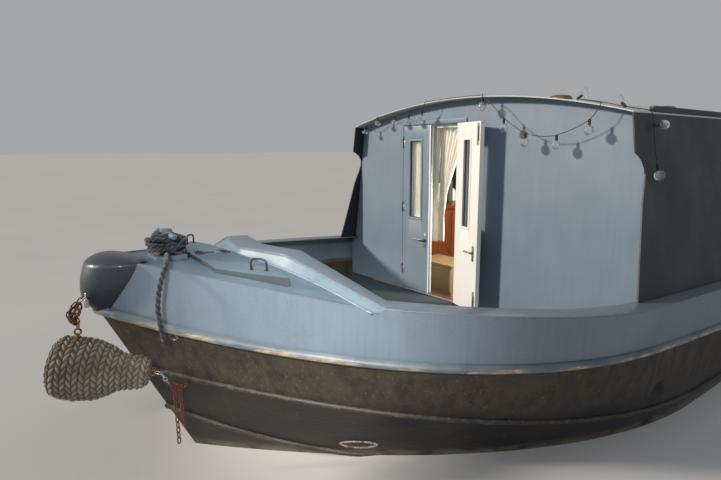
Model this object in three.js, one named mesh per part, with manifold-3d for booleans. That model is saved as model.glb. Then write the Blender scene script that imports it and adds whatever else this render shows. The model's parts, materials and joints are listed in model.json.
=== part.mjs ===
// Wide-beam steel canal houseboat with a Dutch-barge bow.
// Millimetres, +X to the bow, +Y to port, +Z up.
// The origin is on the underside of the flat baseplate, half way along the hull.
import * as THREE from 'three';
import { mergeVertices } from 'three/addons/utils/BufferGeometryUtils.js';
import Module from 'manifold-3d';

const wasm = await Module();
wasm.setup();

// Driving dimensions
const HULL_LENGTH = 15200;
const HALF_BEAM = 1851;
const STEM_X = HULL_LENGTH / 2;
const BULKHEAD_X = STEM_X - 3263;
const SILL_Z = 1150;
const CABIN_LENGTH = 9300;
const REAR_X = BULKHEAD_X - CABIN_LENGTH;
const ROOF_EDGE_Z = SILL_Z + 1731;
const ROOF_HALF_WIDTH = 1538;
const ROOF_RISE = 200;
const TUMBLEHOME = 0.1413;
const HOOD = 128;
const SKIN = 10;
const WALL = 60;
const GAP = 0.3;
const PLATE = 10;
const TOPSIDE_PLATE = 15;
const CAP_WIDTH = 170;
const CAP_PLATE = 10;
const AFT_DECK_Z = 1250;
const FLOOR_Z = SILL_Z - 130;
const COUNTER_Z = 560;
const ENGINE_BED_Z = 260;
const SWIM_END_X = -6250;

// Colours, roughness and metalness
const paint = (color, roughness = 0.45, metalness = 0.1) =>
  new THREE.MeshStandardMaterial({ color, roughness, metalness });
const MATERIAL = {
  blacking: paint(0x2b2622, 0.75),
  blueGrey: paint(0x7f91a3, 0.4),
  deckGrey: paint(0x8fa3a6, 0.5),
  cabinGrey: paint(0x56636f, 0.45),
  cream: paint(0xe6e2d3, 0.5),
  white: paint(0xeeece6, 0.4),
  steel: paint(0x8c8f91, 0.4, 0.9),
  rustySteel: paint(0x7a4c33, 0.8, 0.5),
  blackSteel: paint(0x232527, 0.5, 0.4),
  bronze: paint(0xa9874f, 0.35, 0.9),
  ropeBlue: paint(0x3f4a55, 0.9, 0),
  ropeTan: paint(0xb3a68f, 0.95, 0),
  wood: paint(0x7b4a2d, 0.5, 0),
  plainWood: paint(0xc9ad82, 0.6, 0),
  cloth: paint(0xe9e2cd, 0.9, 0),
  glass: new THREE.MeshStandardMaterial({ color: 0xbfd0d6, roughness: 0.05, metalness: 0, transparent: true, opacity: 0.35 }),
  engineGreen: paint(0x4d6a55, 0.5, 0.3),
};

const group = new THREE.Group();

function addMesh(name, shape, material, parent = group) {
  const mesh = new THREE.Mesh(shape.getMesh ? toGeometry(shape) : weld(shape), material);
  mesh.name = name;
  parent.add(mesh);
  return mesh;
}

// Solids, joins and cuts

function weld(geometry) {
  const bare = geometry.index ? geometry.toNonIndexed() : geometry.clone();
  for (const key of Object.keys(bare.attributes)) {
    if (key !== 'position') bare.deleteAttribute(key);
  }
  const merged = mergeVertices(bare, 1e-3);
  const p = merged.getAttribute('position');
  const index = [];
  for (let i = 0; i < merged.index.count; i += 3) {
    const [a, b, c] = [0, 1, 2].map((k) => merged.index.getX(i + k));
    if (a !== b && b !== c && c !== a) index.push(a, b, c);
  }
  let volume = 0;
  const v = [0, 1, 2].map(() => new THREE.Vector3());
  for (let i = 0; i < index.length; i += 3) {
    v.forEach((point, k) => point.fromBufferAttribute(p, index[i + k]));
    volume += v[0].dot(v[1].clone().cross(v[2]));
  }
  if (volume < 0) {
    for (let i = 0; i < index.length; i += 3) {
      [index[i], index[i + 1]] = [index[i + 1], index[i]];
    }
  }
  merged.setIndex(index);
  return merged;
}

function solid(shape) {
  if (shape.getMesh) return shape;
  const merged = weld(shape);
  return new wasm.Manifold(new wasm.Mesh({
    numProp: 3,
    vertProperties: new Float32Array(merged.getAttribute('position').array),
    triVerts: new Uint32Array(merged.index.array),
  }));
}

function toGeometry(manifold) {
  const mesh = manifold.getMesh();
  const geometry = new THREE.BufferGeometry();
  const points = new Float32Array((mesh.vertProperties.length / mesh.numProp) * 3);
  for (let i = 0; i < points.length / 3; i++) {
    for (let k = 0; k < 3; k++) points[3 * i + k] = mesh.vertProperties[mesh.numProp * i + k];
  }
  geometry.setAttribute('position', new THREE.BufferAttribute(points, 3));
  geometry.setIndex(Array.from(mesh.triVerts));
  geometry.computeVertexNormals();
  return geometry;
}

const join = (...parts) => parts.map(solid).reduce((whole, part) => whole.add(part));
const cut = (body, ...tools) => tools.reduce((rest, tool) => rest.subtract(solid(tool)), solid(body));
const common = (a, b) => solid(a).intersect(solid(b));
const lifted = (shape, dz) => toGeometry(solid(shape)).translate(0, 0, dz);

// Closed skin over rows of points. Rows and columns may each close on themselves;
// open rows are capped by strips between the two mirrored halves of the ring.
function skin(rows, { closeRows = false, capRings = false, capFans = false } = {}) {
  const points = [];
  const triangle = (a, b, c) => points.push(a.x, a.y, a.z, b.x, b.y, b.z, c.x, c.y, c.z);
  const quad = (a, b, c, d) => {
    triangle(a, b, c);
    triangle(a, c, d);
  };
  const rowCount = closeRows ? rows.length : rows.length - 1;
  const n = rows[0].length;
  for (let i = 0; i < rowCount; i++) {
    const near = rows[i];
    const far = rows[(i + 1) % rows.length];
    for (let j = 0; j < n; j++) {
      const k = (j + 1) % n;
      quad(near[j], near[k], far[k], far[j]);
    }
  }
  if (capRings) {
    for (const [ring, flip] of [[rows[0], true], [rows[rows.length - 1], false]]) {
      for (let j = 0; j < n / 2; j++) {
        const a = ring[j];
        const b = ring[j + 1];
        const c = ring[(n - j - 1) % n];
        const d = ring[(n - j) % n];
        if (flip) quad(d, c, b, a);
        else quad(a, b, c, d);
      }
    }
  }
  if (capFans) {
    for (const [ring, flip] of [[rows[0], true], [rows[rows.length - 1], false]]) {
      for (let j = 1; j < n - 1; j++) {
        if (flip) triangle(ring[0], ring[j + 1], ring[j]);
        else triangle(ring[0], ring[j], ring[j + 1]);
      }
    }
  }
  const geometry = new THREE.BufferGeometry();
  geometry.setAttribute('position', new THREE.BufferAttribute(new Float32Array(points), 3));
  return weld(geometry);
}

// Plate over a grid of top points, thickened straight down.
function plateOver(rows, cols, top, thickness) {
  const points = [];
  const triangle = (a, b, c) => points.push(a.x, a.y, a.z, b.x, b.y, b.z, c.x, c.y, c.z);
  const quad = (a, b, c, d) => {
    triangle(a, b, c);
    triangle(a, c, d);
  };
  const grid = [];
  for (let i = 0; i <= rows; i++) {
    grid.push([]);
    for (let j = 0; j <= cols; j++) grid[i].push(top(i / rows, j / cols));
  }
  const low = grid.map((row) => row.map((p) => p.clone().setZ(p.z - thickness)));
  for (let i = 0; i < rows; i++) {
    for (let j = 0; j < cols; j++) {
      quad(grid[i][j], grid[i + 1][j], grid[i + 1][j + 1], grid[i][j + 1]);
      quad(low[i][j], low[i][j + 1], low[i + 1][j + 1], low[i + 1][j]);
    }
  }
  for (let i = 0; i < rows; i++) {
    quad(grid[i][0], low[i][0], low[i + 1][0], grid[i + 1][0]);
    quad(grid[i + 1][cols], low[i + 1][cols], low[i][cols], grid[i][cols]);
  }
  for (let j = 0; j < cols; j++) {
    quad(grid[0][j + 1], low[0][j + 1], low[0][j], grid[0][j]);
    quad(grid[rows][j], low[rows][j], low[rows][j + 1], grid[rows][j + 1]);
  }
  const geometry = new THREE.BufferGeometry();
  geometry.setAttribute('position', new THREE.BufferAttribute(new Float32Array(points), 3));
  return weld(geometry);
}

const V = (x, y, z) => new THREE.Vector3(x, y, z);

function box(x0, x1, y0, y1, z0, z1) {
  const geometry = new THREE.BoxGeometry(x1 - x0, y1 - y0, z1 - z0);
  return geometry.translate((x0 + x1) / 2, (y0 + y1) / 2, (z0 + z1) / 2);
}

function rod(from, to, radius, endRadius = radius, sides = 16) {
  const axis = to.clone().sub(from);
  const geometry = new THREE.CylinderGeometry(endRadius, radius, axis.length(), sides);
  geometry.applyQuaternion(new THREE.Quaternion().setFromUnitVectors(V(0, 1, 0), axis.clone().normalize()));
  const middle = from.clone().add(to).multiplyScalar(0.5);
  return geometry.translate(middle.x, middle.y, middle.z);
}

function ball(centre, radius, sides = 16, rows = 10) {
  return new THREE.SphereGeometry(radius, sides, rows).translate(centre.x, centre.y, centre.z);
}

// Round section swept along a curve, with flat ends.
function tube(curve, radius, steps, sides = 8) {
  const section = new THREE.Shape();
  for (let i = 0; i < sides; i++) {
    const a = (2 * Math.PI * i) / sides;
    if (i === 0) section.moveTo(radius, 0);
    else section.lineTo(radius * Math.cos(a), radius * Math.sin(a));
  }
  section.closePath();
  return new THREE.ExtrudeGeometry(section, { steps, extrudePath: curve, bevelEnabled: false, curveSegments: 1 });
}

// Smooth curve through given points, stepped the same number of times between each two.
class RoutedCurve extends THREE.CatmullRomCurve3 {
  getPointAt(u, target) {
    return this.getPoint(u, target);
  }

  getTangentAt(u, target) {
    return this.getTangent(u, target);
  }
}

const bentTube = (points, radius, perSpan, sides) =>
  tube(new RoutedCurve(points), radius, perSpan * (points.length - 1), sides);

// Prism of a plan or profile outline. 'plan' stands on XY, 'frame' faces X, 'side' faces Y.
function prism(outline, from, to, facing = 'plan', holes = []) {
  const corners = outline.map(([a, b]) => new THREE.Vector2(a, b));
  if (THREE.ShapeUtils.isClockWise(corners)) corners.reverse();
  const shape = new THREE.Shape(corners);
  for (const hole of holes) shape.holes.push(hole);
  const geometry = new THREE.ExtrudeGeometry(shape, { depth: to - from, bevelEnabled: false, curveSegments: 6 });
  geometry.translate(0, 0, from);
  if (facing === 'frame') geometry.applyMatrix4(new THREE.Matrix4().set(0, 0, 1, 0, 1, 0, 0, 0, 0, 1, 0, 0, 0, 0, 0, 1));
  if (facing === 'side') geometry.applyMatrix4(new THREE.Matrix4().set(1, 0, 0, 0, 0, 0, 1, 0, 0, 1, 0, 0, 0, 0, 0, 1));
  return weld(geometry);
}

// Opening with rounded corners.
function roundedHole(x0, x1, y0, y1, r, steps = 4) {
  const corners = [[x1 - r, y0 + r, -90], [x1 - r, y1 - r, 0], [x0 + r, y1 - r, 90], [x0 + r, y0 + r, 180]];
  const points = corners.flatMap(([x, y, from]) => Array.from({ length: steps + 1 }, (_, i) => {
    const a = THREE.MathUtils.degToRad(from + (90 * i) / steps);
    return new THREE.Vector2(x + r * Math.cos(a), y + r * Math.sin(a));
  }));
  return new THREE.Path(points);
}

// The same shape on the other side of the boat, its faces turned back outwards.
function mirrored(shape) {
  const geometry = toGeometry(solid(shape)).scale(1, -1, 1);
  const index = geometry.index.array;
  for (let i = 0; i < index.length; i += 3) [index[i], index[i + 1]] = [index[i + 1], index[i]];
  return geometry;
}

// Points given ahead of the bulkhead, to port, and above the sill, in millimetres.
const spot = ([x, y, z]) => V(BULKHEAD_X + x, y, SILL_Z + z);

// Hull lines
// Metres ahead of the bulkhead, for the sheer curves fitted along the boat.
const ahead = (x) => (x - BULKHEAD_X) / 1000;

function sheer(x, base, slope, aftRise, foreRise, foreCube) {
  const s = ahead(x);
  const fore = Math.max(s, 0);
  const aft = Math.min(s, 0);
  return SILL_Z + 1000 * (base + slope * s + aftRise * aft * aft + foreRise * fore * fore + foreCube * fore ** 3);
}

const capZ = (x) => sheer(x, 0.452, 0.049, 0.0035, 0.0306, -0.0039);
const strakeZ = (x) => sheer(x, 0.169, 0.0765, 0.0065, -0.0208, 0.0117);
// Lower strakes rise from a level run aft: start ahead of the bulkhead, height, rise, curl.
const risingFrom = (start, z, rise, curl) => (x) => {
  const u = Math.max(ahead(x) - start, 0);
  return SILL_Z + 1000 * (z + rise * u + curl * u * u);
};
const secondStrakeZ = risingFrom(-1.4, -0.39, 0.0105, 0.0274);
const THIRD_STRAKE_START = 1.62;
const thirdStrakeZ = risingFrom(THIRD_STRAKE_START, -0.48, 0.05, 0.2);
const deckEdgeZ = (x) => {
  const s = ahead(x) - 2;
  return SILL_Z + 1000 * (0.6008 + 0.2898 * s - 0.0428 * s * s);
};

// One level of the hull, columns: height, half beam, bow start, bow end, bow power,
// stern start, stern end, stern power, stern root.
const level = (z, half, bowStart, bowEnd, bowPower, sternStart, sternEnd, sternPower, sternRoot) =>
  ({ z, half, bowStart, bowEnd, bowPower, sternStart, sternEnd, sternPower, sternRoot });
const at = (z) => () => z;
const BOW_FROM = BULKHEAD_X + 81;
const BOW_TO = BULKHEAD_X + 3160;
const LEVELS = {
  base: level(at(0), 1640, 3200, 6560, 2.0, -3900, SWIM_END_X, 1.7, 1),
  chine: level(at(140), 1720, 3300, 6640, 2.0, -3900, SWIM_END_X, 1.8, 1),
  swimTop: level(at(COUNTER_Z), 1783, 3640, 6900, 2.05, -4100, SWIM_END_X, 2.0, 1),
  counter: level(at(COUNTER_Z + 20), 1786, 3650, 6912, 2.05, -6000, -7230, 2, 0.5),
  water: level(at(SILL_Z - 470), 1800, 3737, 6977, 2.05, -6000, -7350, 2, 0.5),
  strake: level(strakeZ, HALF_BEAM, BOW_FROM, BOW_TO, 2.194, -6000, -7560, 2, 0.5),
};

const BOW_STEPS = 14;
const SIDE_STEPS = 5;
const STERN_STEPS = 8;
const COAMING_APEX_X = BULKHEAD_X + 2280;
const COAMING_FOOT_X = BULKHEAD_X + 1980;
// Even steps along the bow, with one of them moved to the foot of the coaming.
const FOOT_SHARE = (COAMING_FOOT_X - BOW_FROM) / (BOW_TO - BOW_FROM);
const BOW_SHARES = Array.from({ length: BOW_STEPS }, (_, i) => {
  const share = 1 - i / BOW_STEPS;
  return Math.abs(share - FOOT_SHARE) < 0.5 / BOW_STEPS ? FOOT_SHARE : share;
});

function halfBeam(x, line) {
  if (x > line.bowStart) {
    const t = Math.min((x - line.bowStart) / (line.bowEnd - line.bowStart), 1);
    return line.half * (1 - t ** line.bowPower);
  }
  if (x < line.sternStart) {
    const s = Math.min((line.sternStart - x) / (line.sternStart - line.sternEnd), 1);
    return line.half * (1 - s ** line.sternPower) ** line.sternRoot;
  }
  return line.half;
}

// Stations of a level from the stem aft to the stern, on the port side.
function stations(line, bowTo = line.bowEnd, sternTo = line.sternEnd) {
  const xs = [];
  for (const share of BOW_SHARES) xs.push(line.bowStart + (bowTo - line.bowStart) * share);
  for (let i = 0; i < SIDE_STEPS; i++) {
    xs.push(line.bowStart + ((line.sternStart - line.bowStart) * i) / SIDE_STEPS);
  }
  for (let i = 0; i <= STERN_STEPS; i++) {
    const s = Math.sin((Math.PI / 2) * (i / STERN_STEPS));
    xs.push(line.sternStart + (sternTo - line.sternStart) * s);
  }
  return xs;
}

// Top of the cap as laid: straight between the stations.
function capTop(x) {
  const xs = stations(LEVELS.strake);
  const i = xs.findIndex((station, k) => k > 0 && station <= x);
  if (i < 1) return capZ(x);
  const share = (x - xs[i]) / (xs[i - 1] - xs[i]);
  return capZ(xs[i]) + (capZ(xs[i - 1]) - capZ(xs[i])) * share;
}

function ringOf(port) {
  const starboard = port.slice(1, -1).reverse().map((p) => V(p.x, -p.y, p.z));
  return [...port, ...starboard];
}

const portLine = (line, inset = 0) => stations(line).map((x) => V(x, Math.max(halfBeam(x, line) - inset, 0), line.z(x)));

// Inset copy of a level: narrower by the inset, and shorter at each end.
function inner(line, inset, z = line.z) {
  return { ...line, z, half: line.half - inset, bowEnd: line.bowEnd - 1.6 * inset, sternEnd: line.sternEnd + inset };
}

const planPrism = (line, z0, z1) => {
  const low = ringOf(portLine({ ...line, z: at(z0) }));
  const high = ringOf(portLine({ ...line, z: at(z1) }));
  return skin([low, high], { capRings: true });
};

// Points where a line of given height runs over the plating between water and strake.
function lineOnHull(zOf) {
  const low = portLine(LEVELS.water);
  const high = portLine(LEVELS.strake);
  return low.map((w, i) => {
    const rise = high[i].clone().sub(w);
    let share = 0.3;
    for (let k = 0; k < 12; k++) share = (zOf(w.x + share * rise.x) - w.z) / rise.z;
    const point = w.clone().addScaledVector(rise, share);
    return { point, up: rise.normalize() };
  });
}

// Upright block inside the plating, as wide as the hull is at its lowest level.
function blockInHull(z0, z1, inset) {
  const port = lineOnHull(() => z0).map(({ point }) => V(point.x, Math.max(point.y - inset, 0), z0));
  const top = port.map((p) => p.clone().setZ(z1));
  return skin([ringOf(port), ringOf(top)], { capRings: true });
}

// Bar of a half-round section welded along the plating. Rows run round the boat.
function strakeBar(port, height, depth, { closed = true, seat = 1, above = null } = {}) {
  const flip = ({ point, up }) => ({ point: V(point.x, -point.y, point.z), up: V(up.x, -up.y, up.z) });
  const path = closed ? [...port, ...port.slice(1, -1).reverse().map(flip)]
    : [...port.slice(1).reverse().map(flip), ...port];
  const n = path.length;
  const section = [[0, -0.5], [0.85, -0.34], [1, 0], [0.85, 0.34], [0, 0.5]];
  if (above) section.push([0, 0]);
  const rows = path.map(({ point, up }, i) => {
    const next = closed ? path[(i + 1) % n] : path[Math.min(i + 1, n - 1)];
    const last = closed ? path[(i + n - 1) % n] : path[Math.max(i - 1, 0)];
    const along = next.point.clone().sub(last.point).normalize();
    const out = along.clone().cross(up).normalize();
    if (out.x * point.x + out.y * point.y * 4 < 0) out.negate();
    return section.map(([o, h]) => {
      const rise = h > 0 && above ? above : up;
      return point.clone().addScaledVector(out, o ? o * depth : seat).addScaledVector(rise, h * height);
    });
  });
  return skin(rows, closed ? { closeRows: true } : { capFans: true });
}

// Hull below the upper rubbing strake, in the parts it is welded from: the bottom with
// the underwater bow, a plate along each side, the bow round the well, and the stern.
const BOTTOM_TOP_Z = FLOOR_Z - 20;
const BOW_PLATE_X = BULKHEAD_X + 10;
const STERN_PLATE_X = REAR_X - 20;

function wholeHull() {
  const order = ['base', 'chine', 'swimTop', 'counter', 'water', 'strake'];
  const rings = order.map((name) => ringOf(portLine(LEVELS[name])));
  const body = skin(rings, { capRings: true });
  const pocketLine = inner(LEVELS.strake, 45);
  const pocket = (x0, x1, z0) => common(planPrism(pocketLine, z0, 1700), box(x0, x1, -2000, 2000, z0 - 1, 1800));
  const sternTube = rod(V(SWIM_END_X + 160, 0, SHAFT_Z), V(SWIM_END_X - 150, 0, SHAFT_Z), 55);
  const second = strakeBar(lineOnHull(secondStrakeZ), 42, 26, { seat: -14 });
  const third = strakeBar(lineOnHull(thirdStrakeZ).filter(({ point }) => ahead(point.x) > THIRD_STRAKE_START + 0.1),
    42, 26, { closed: false, seat: -14 });
  const withTube = join(body, sternTube, skegBar(), second, third, lug(HULL_LUG, 120));
  return cut(
    withTube,
    pocket(STERN_PLATE_X, BOW_PLATE_X, BOTTOM_TOP_Z),
    common(blockInHull(SILL_Z - 20, 1700, 45), box(BULKHEAD_X + 5, BULKHEAD_X + 2250, -2000, 2000, SILL_Z - 21, 1800)),
    pocket(-7000, REAR_X - 15, AFT_DECK_Z - PLATE - 5),
    box(-5900, REAR_X - 150, -620, 620, ENGINE_BED_Z, 1600),
    rod(V(RUDDER_X, 0, COUNTER_Z - 60), V(RUDDER_X, 0, 1500), RUDDER_TUBE_R),
    rod(V(SWIM_END_X + 400, 0, SHAFT_Z), V(SWIM_END_X - 200, 0, SHAFT_Z), SHAFT_R + BEARING, SHAFT_R + BEARING, 20),
    rod(V(RUDDER_X, 0, 18), V(RUDDER_X, 0, 80), PINTLE_R + BEARING),
  );
}

function hullParts() {
  const hull = wholeHull();
  const part = (x0, x1, y0, y1, z0, z1) => common(hull, box(x0, x1, y0, y1, z0, z1));
  const side = (y0, y1) => part(STERN_PLATE_X + GAP, BOW_PLATE_X, y0, y1, BOTTOM_TOP_Z + GAP, 1800);
  return {
    hull_bottom: part(STERN_PLATE_X + GAP, 8000, -2000, 2000, -10, BOTTOM_TOP_Z),
    hull_side_port: side(0, 2000),
    hull_side_starboard: side(-2000, 0),
    hull_bow: part(BOW_PLATE_X + GAP, 8000, -2000, 2000, BOTTOM_TOP_Z + GAP, 1800),
    hull_stern: part(-8000, STERN_PLATE_X, -2000, 2000, -10, 1800),
  };
}

// Steering and drive sizes
const SHAFT_Z = 295;
const SHAFT_R = 25;
const PROP_RADIUS = 240;
const RUDDER_X = SWIM_END_X - 560;
const RUDDER_TUBE_R = 42;
const RUDDER_STOCK_R = 32;
const PINTLE_R = 22;
const BEARING = 0.7;

function skegBar() {
  return box(SWIM_END_X - 700, SWIM_END_X + 300, -50, 50, 0, 45);
}

function topsides() {
  const line = LEVELS.strake;
  const topZ = (x) => (x > COAMING_FOOT_X ? deckEdgeZ(x) + 6 : capZ(x) - CAP_PLATE + 3);
  const outerLine = { ...line, half: line.half - 1 };
  const innerLine = inner(outerLine, TOPSIDE_PLATE);
  const xs = stations(line);
  const port = xs.flatMap((x) => (Math.abs(x - COAMING_FOOT_X) < 1 ? [x + 1, x - 1] : [x]));
  const section = (x, i) => {
    const share = (x - line.bowStart) / (line.bowEnd - line.bowStart);
    const xi = x > line.bowStart ? innerLine.bowStart + share * (innerLine.bowEnd - innerLine.bowStart)
      : x < line.sternStart ? line.sternStart + ((line.sternStart - x) / (line.sternStart - line.sternEnd)) * (innerLine.sternEnd - line.sternStart)
        : x;
    const out = i === 0 || i === port.length - 1 ? 0 : halfBeam(x, outerLine);
    const inn = i === 0 || i === port.length - 1 ? 0 : halfBeam(xi, innerLine);
    return [
      V(x, out, strakeZ(x) + GAP), V(x, out, topZ(x)),
      V(xi, inn, topZ(x)), V(xi, inn, strakeZ(x) + GAP),
    ];
  };
  const portSections = port.map(section);
  const starboard = portSections.slice(1, -1).reverse().map((row) => row.map((p) => V(p.x, -p.y, p.z)));
  return cut(skin([...portSections, ...starboard], { closeRows: true }), lifted(capping(), -GAP));
}

// Coaming that parts the foredeck from the well: a chevron across the boat
const COAMING_HALF = 1210;
const COAMING_TOP_Z = SILL_Z + 840;
const COAMING_LEVEL_HALF = 450;
const COAMING_RAKE_X = 60;

const coamingX = (y) => COAMING_APEX_X + ((COAMING_FOOT_X - COAMING_APEX_X) * Math.abs(y)) / COAMING_HALF;
function coamingZ(y) {
  const side = Math.max(Math.abs(y) - COAMING_LEVEL_HALF, 0) / (COAMING_HALF - COAMING_LEVEL_HALF);
  return COAMING_TOP_Z + (capZ(COAMING_FOOT_X) - COAMING_TOP_Z) * side;
}

const DECK_CAMBER = 0.000113;
const foredeckZ = (x, y) => {
  const edge = halfBeam(x, LEVELS.strake);
  return deckEdgeZ(x) + DECK_CAMBER * Math.max(edge * edge - y * y, 0);
};

// Cap: a flat rail round the well, the side decks and the stern, and over the coaming
function capping() {
  const outerRow = [];
  const steps = 8;
  const inboard = (x) => {
    const line = LEVELS.strake;
    const y = halfBeam(x, line);
    const slope = (halfBeam(x + 5, line) - halfBeam(x - 5, line)) / 10;
    const length = Math.hypot(slope, 1);
    return V(x + (slope / length) * CAP_WIDTH, y - CAP_WIDTH / length, capZ(x));
  };
  const corner = inboard(COAMING_FOOT_X);
  for (let i = 0; i <= steps; i++) {
    const s = i / steps;
    const y = COAMING_HALF * s;
    const outer = V(coamingX(y), y, coamingZ(y));
    const innerPoint = V(THREE.MathUtils.lerp(COAMING_APEX_X - CAP_WIDTH - 8, corner.x, s), corner.y * s, coamingZ(y));
    outerRow.push([outer, innerPoint]);
  }
  for (const x of stations(LEVELS.strake)) {
    if (x < COAMING_FOOT_X - 1 && x > LEVELS.strake.sternStart - 1) {
      outerRow.push([V(x, halfBeam(x, LEVELS.strake), capZ(x)), inboard(x)]);
    }
  }
  const sternInner = LEVELS.strake.sternEnd + CAP_WIDTH;
  for (let i = 1; i <= STERN_STEPS; i++) {
    const a = (Math.PI / 2) * (i / STERN_STEPS);
    const start = LEVELS.strake.sternStart;
    const x = start + (LEVELS.strake.sternEnd - start) * Math.sin(a);
    const xi = start + (sternInner - start) * Math.sin(a);
    outerRow.push([
      V(x, HALF_BEAM * Math.cos(a), capZ(x)),
      V(xi, (HALF_BEAM - CAP_WIDTH) * Math.cos(a), capZ(x)),
    ]);
  }
  const last = outerRow[outerRow.length - 1];
  last.forEach((p) => p.setY(0));
  const section = ([o, i]) => [
    o, i, i.clone().setZ(i.z - CAP_PLATE), o.clone().setZ(o.z - CAP_PLATE),
  ];
  const port = outerRow.map(section);
  const starboard = port.slice(1, -1).reverse().map((row) => row.map((p) => V(p.x, -p.y, p.z)));
  return skin([...port, ...starboard], { closeRows: true });
}

// Raked plate under the chevron of the cap, down to the foredeck
function coaming() {
  const steps = 8;
  const reach = COAMING_HALF - 20;
  const section = (y) => {
    const rake = 20 + (COAMING_RAKE_X * Math.abs(y)) / reach;
    const topX = coamingX(y) - 9;
    const footX = topX + rake;
    const topZ = coamingZ(y) - CAP_PLATE + 3;
    const footZ = foredeckZ(footX, y) - 3;
    return [V(topX, y, topZ), V(footX, y, footZ), V(footX - 12, y, footZ), V(topX - 12, y, topZ)];
  };
  const rows = [];
  for (let i = -steps; i <= steps; i++) rows.push(section(THREE.MathUtils.clamp((COAMING_HALF * i) / steps, -reach, reach)));
  const within = planPrism(inner(LEVELS.strake, TOPSIDE_PLATE + 3), SILL_Z, SILL_Z + 1200);
  return cut(common(skin(rows, { capFans: true }), within), lifted(capping(), -GAP - 0.1), foredeckPlate(-GAP, 60));
}

// Foredeck: cambered plate from the coaming to the stem head, with the hatch cut out
const HATCH = { aftX: BULKHEAD_X + 2350, aftHalf: 740, foreX: BULKHEAD_X + 2596, foreHalf: 425, parting: 22 };
const HATCH_PIN = { y: 10, r: 7, lift: 2, length: 50 };
const hatchTopZ = (x) => foredeckZ(x, 0) + 26;
// Points on a leaf's hinge pin, 'share' of the way from the aft end to the fore end.
function hatchPin(side, share, lower = 0) {
  const aft = HATCH.aftX - 25;
  const fore = HATCH.foreX + 20;
  const x = aft + (fore - aft) * share;
  return V(x, side * HATCH_PIN.y, THREE.MathUtils.lerp(hatchTopZ(aft), hatchTopZ(fore), share) + HATCH_PIN.lift - lower);
}
const HATCH_HINGES = [0.12, 0.7];

// Bar along the middle of the opening that carries the pins of both leaves.
function hatchBar() {
  const rows = [0, 1].map((share) => {
    const p = hatchPin(0, share, 16);
    return [V(p.x, -17, p.z), V(p.x, 17, p.z), V(p.x, 17, p.z - 40), V(p.x, -17, p.z - 40)];
  });
  const cups = HATCH_HINGES.flatMap((share) => [-1, 1].flatMap((side) => {
    const a = hatchPin(side, share + 0.175);
    const b = hatchPin(side, share + 0.275);
    const low = 20;
    const foot = skin([a, b].map((p) => [
      V(p.x, side * 4, p.z), V(p.x, side * 16, p.z), V(p.x, side * 16, p.z - low), V(p.x, side * 4, p.z - low),
    ]), { capFans: true });
    return [rod(a, b, HATCH_PIN.r, HATCH_PIN.r, 10), foot];
  }));
  return join(skin(rows, { capFans: true }), ...cups);
}
function foredeckPlate(lower, thickness) {
  const line = inner(LEVELS.strake, TOPSIDE_PLATE + 3);
  const tip = BULKHEAD_X + 3060;
  const top = (u, v) => {
    const side = 2 * v - 1;
    const back = coamingX(side * COAMING_HALF * 0.97) - 20;
    const x = THREE.MathUtils.lerp(back, tip, u);
    const y = side * Math.max(halfBeam(x, line) - 3, 0);
    return V(x, y, foredeckZ(x, y) - lower);
  };
  return plateOver(12, 8, top, thickness);
}

function foredeck() {
  const { aftX, aftHalf, foreX, foreHalf } = HATCH;
  const opening = [[foreX - 6, foreHalf - 6], [aftX + 6, aftHalf - 6], [aftX + 6, 6 - aftHalf], [foreX - 6, 6 - foreHalf]];
  return join(cut(foredeckPlate(GAP, PLATE), prism(opening, SILL_Z, SILL_Z + 1200)), hatchBar());
}

function hatchLeaf(side) {
  const lidTop = (u, v) => {
    const x = THREE.MathUtils.lerp(HATCH.aftX - 25, HATCH.foreX + 20, u);
    const half = THREE.MathUtils.lerp(HATCH.aftHalf + 25, HATCH.foreHalf + 20, u);
    const y = side * THREE.MathUtils.lerp(HATCH.parting, half, v);
    const drop = THREE.MathUtils.lerp(0.55, 1, u);
    return V(x, y, foredeckZ(x, 0) + 26 - drop * (foredeckZ(x, 0) - foredeckZ(x, y)));
  };
  const lid = plateOver(2, 3, lidTop, PLATE);
  const grip = lidTop(0.16, 0.82);
  const along = lidTop(0.5, 0.82).sub(grip).setZ(0).normalize().multiplyScalar(90);
  const far = grip.clone().add(along).setZ(lidTop(0.36, 0.82).z);
  const up = (p, h) => V(p.x, p.y, p.z + h);
  const handle = [
    rod(up(grip, -6), up(grip, 66), 6, 6, 8), rod(up(far, -6), up(far, 66), 6, 6, 8),
    rod(up(grip, 62), up(far, 62), 6, 6, 8),
  ];
  const hinges = HATCH_HINGES.flatMap((share) => {
    const a = hatchPin(side, share);
    const b = hatchPin(side, share + 0.17);
    const strap = skin([a, b].map((p) => [
      V(p.x, side * 10, p.z + 5), V(p.x, side * 60, p.z + 3), V(p.x, side * 60, p.z - 6), V(p.x, side * 10, p.z - 1),
    ]), { capFans: true });
    return [rod(a, b, HATCH_PIN.r, HATCH_PIN.r, 10), strap];
  });
  return join(lid, ...handle, ...hinges);
}

// Stem head: rolled plate that rounds off the bow above the strake
function stemHead() {
  const foot = V(BULKHEAD_X + 3058, 0, strakeZ(BOW_TO) + 30);
  const head = V(BULKHEAD_X + 3150, 0, SILL_Z + 785);
  const nose = join(rod(foot, head, 88, 112, 18), ball(head, 113, 18, 10));
  const shell = planPrism({ ...LEVELS.strake, half: HALF_BEAM + 1.3, bowEnd: BOW_TO + 2 }, 1000, 2400);
  const footZ = strakeZ(BOW_TO) + 33;
  return join(cut(nose, shell, box(BOW_TO - 400, BOW_TO + 400, -300, 300, footZ - 300, footZ)), lug(STEM_LUG, 60));
}

// Mooring stud: post on a pad with a cross bar
const STUD_X = BULKHEAD_X + 2750;
const STERN_STUD = { x: -6350, y: 1240 };

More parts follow.
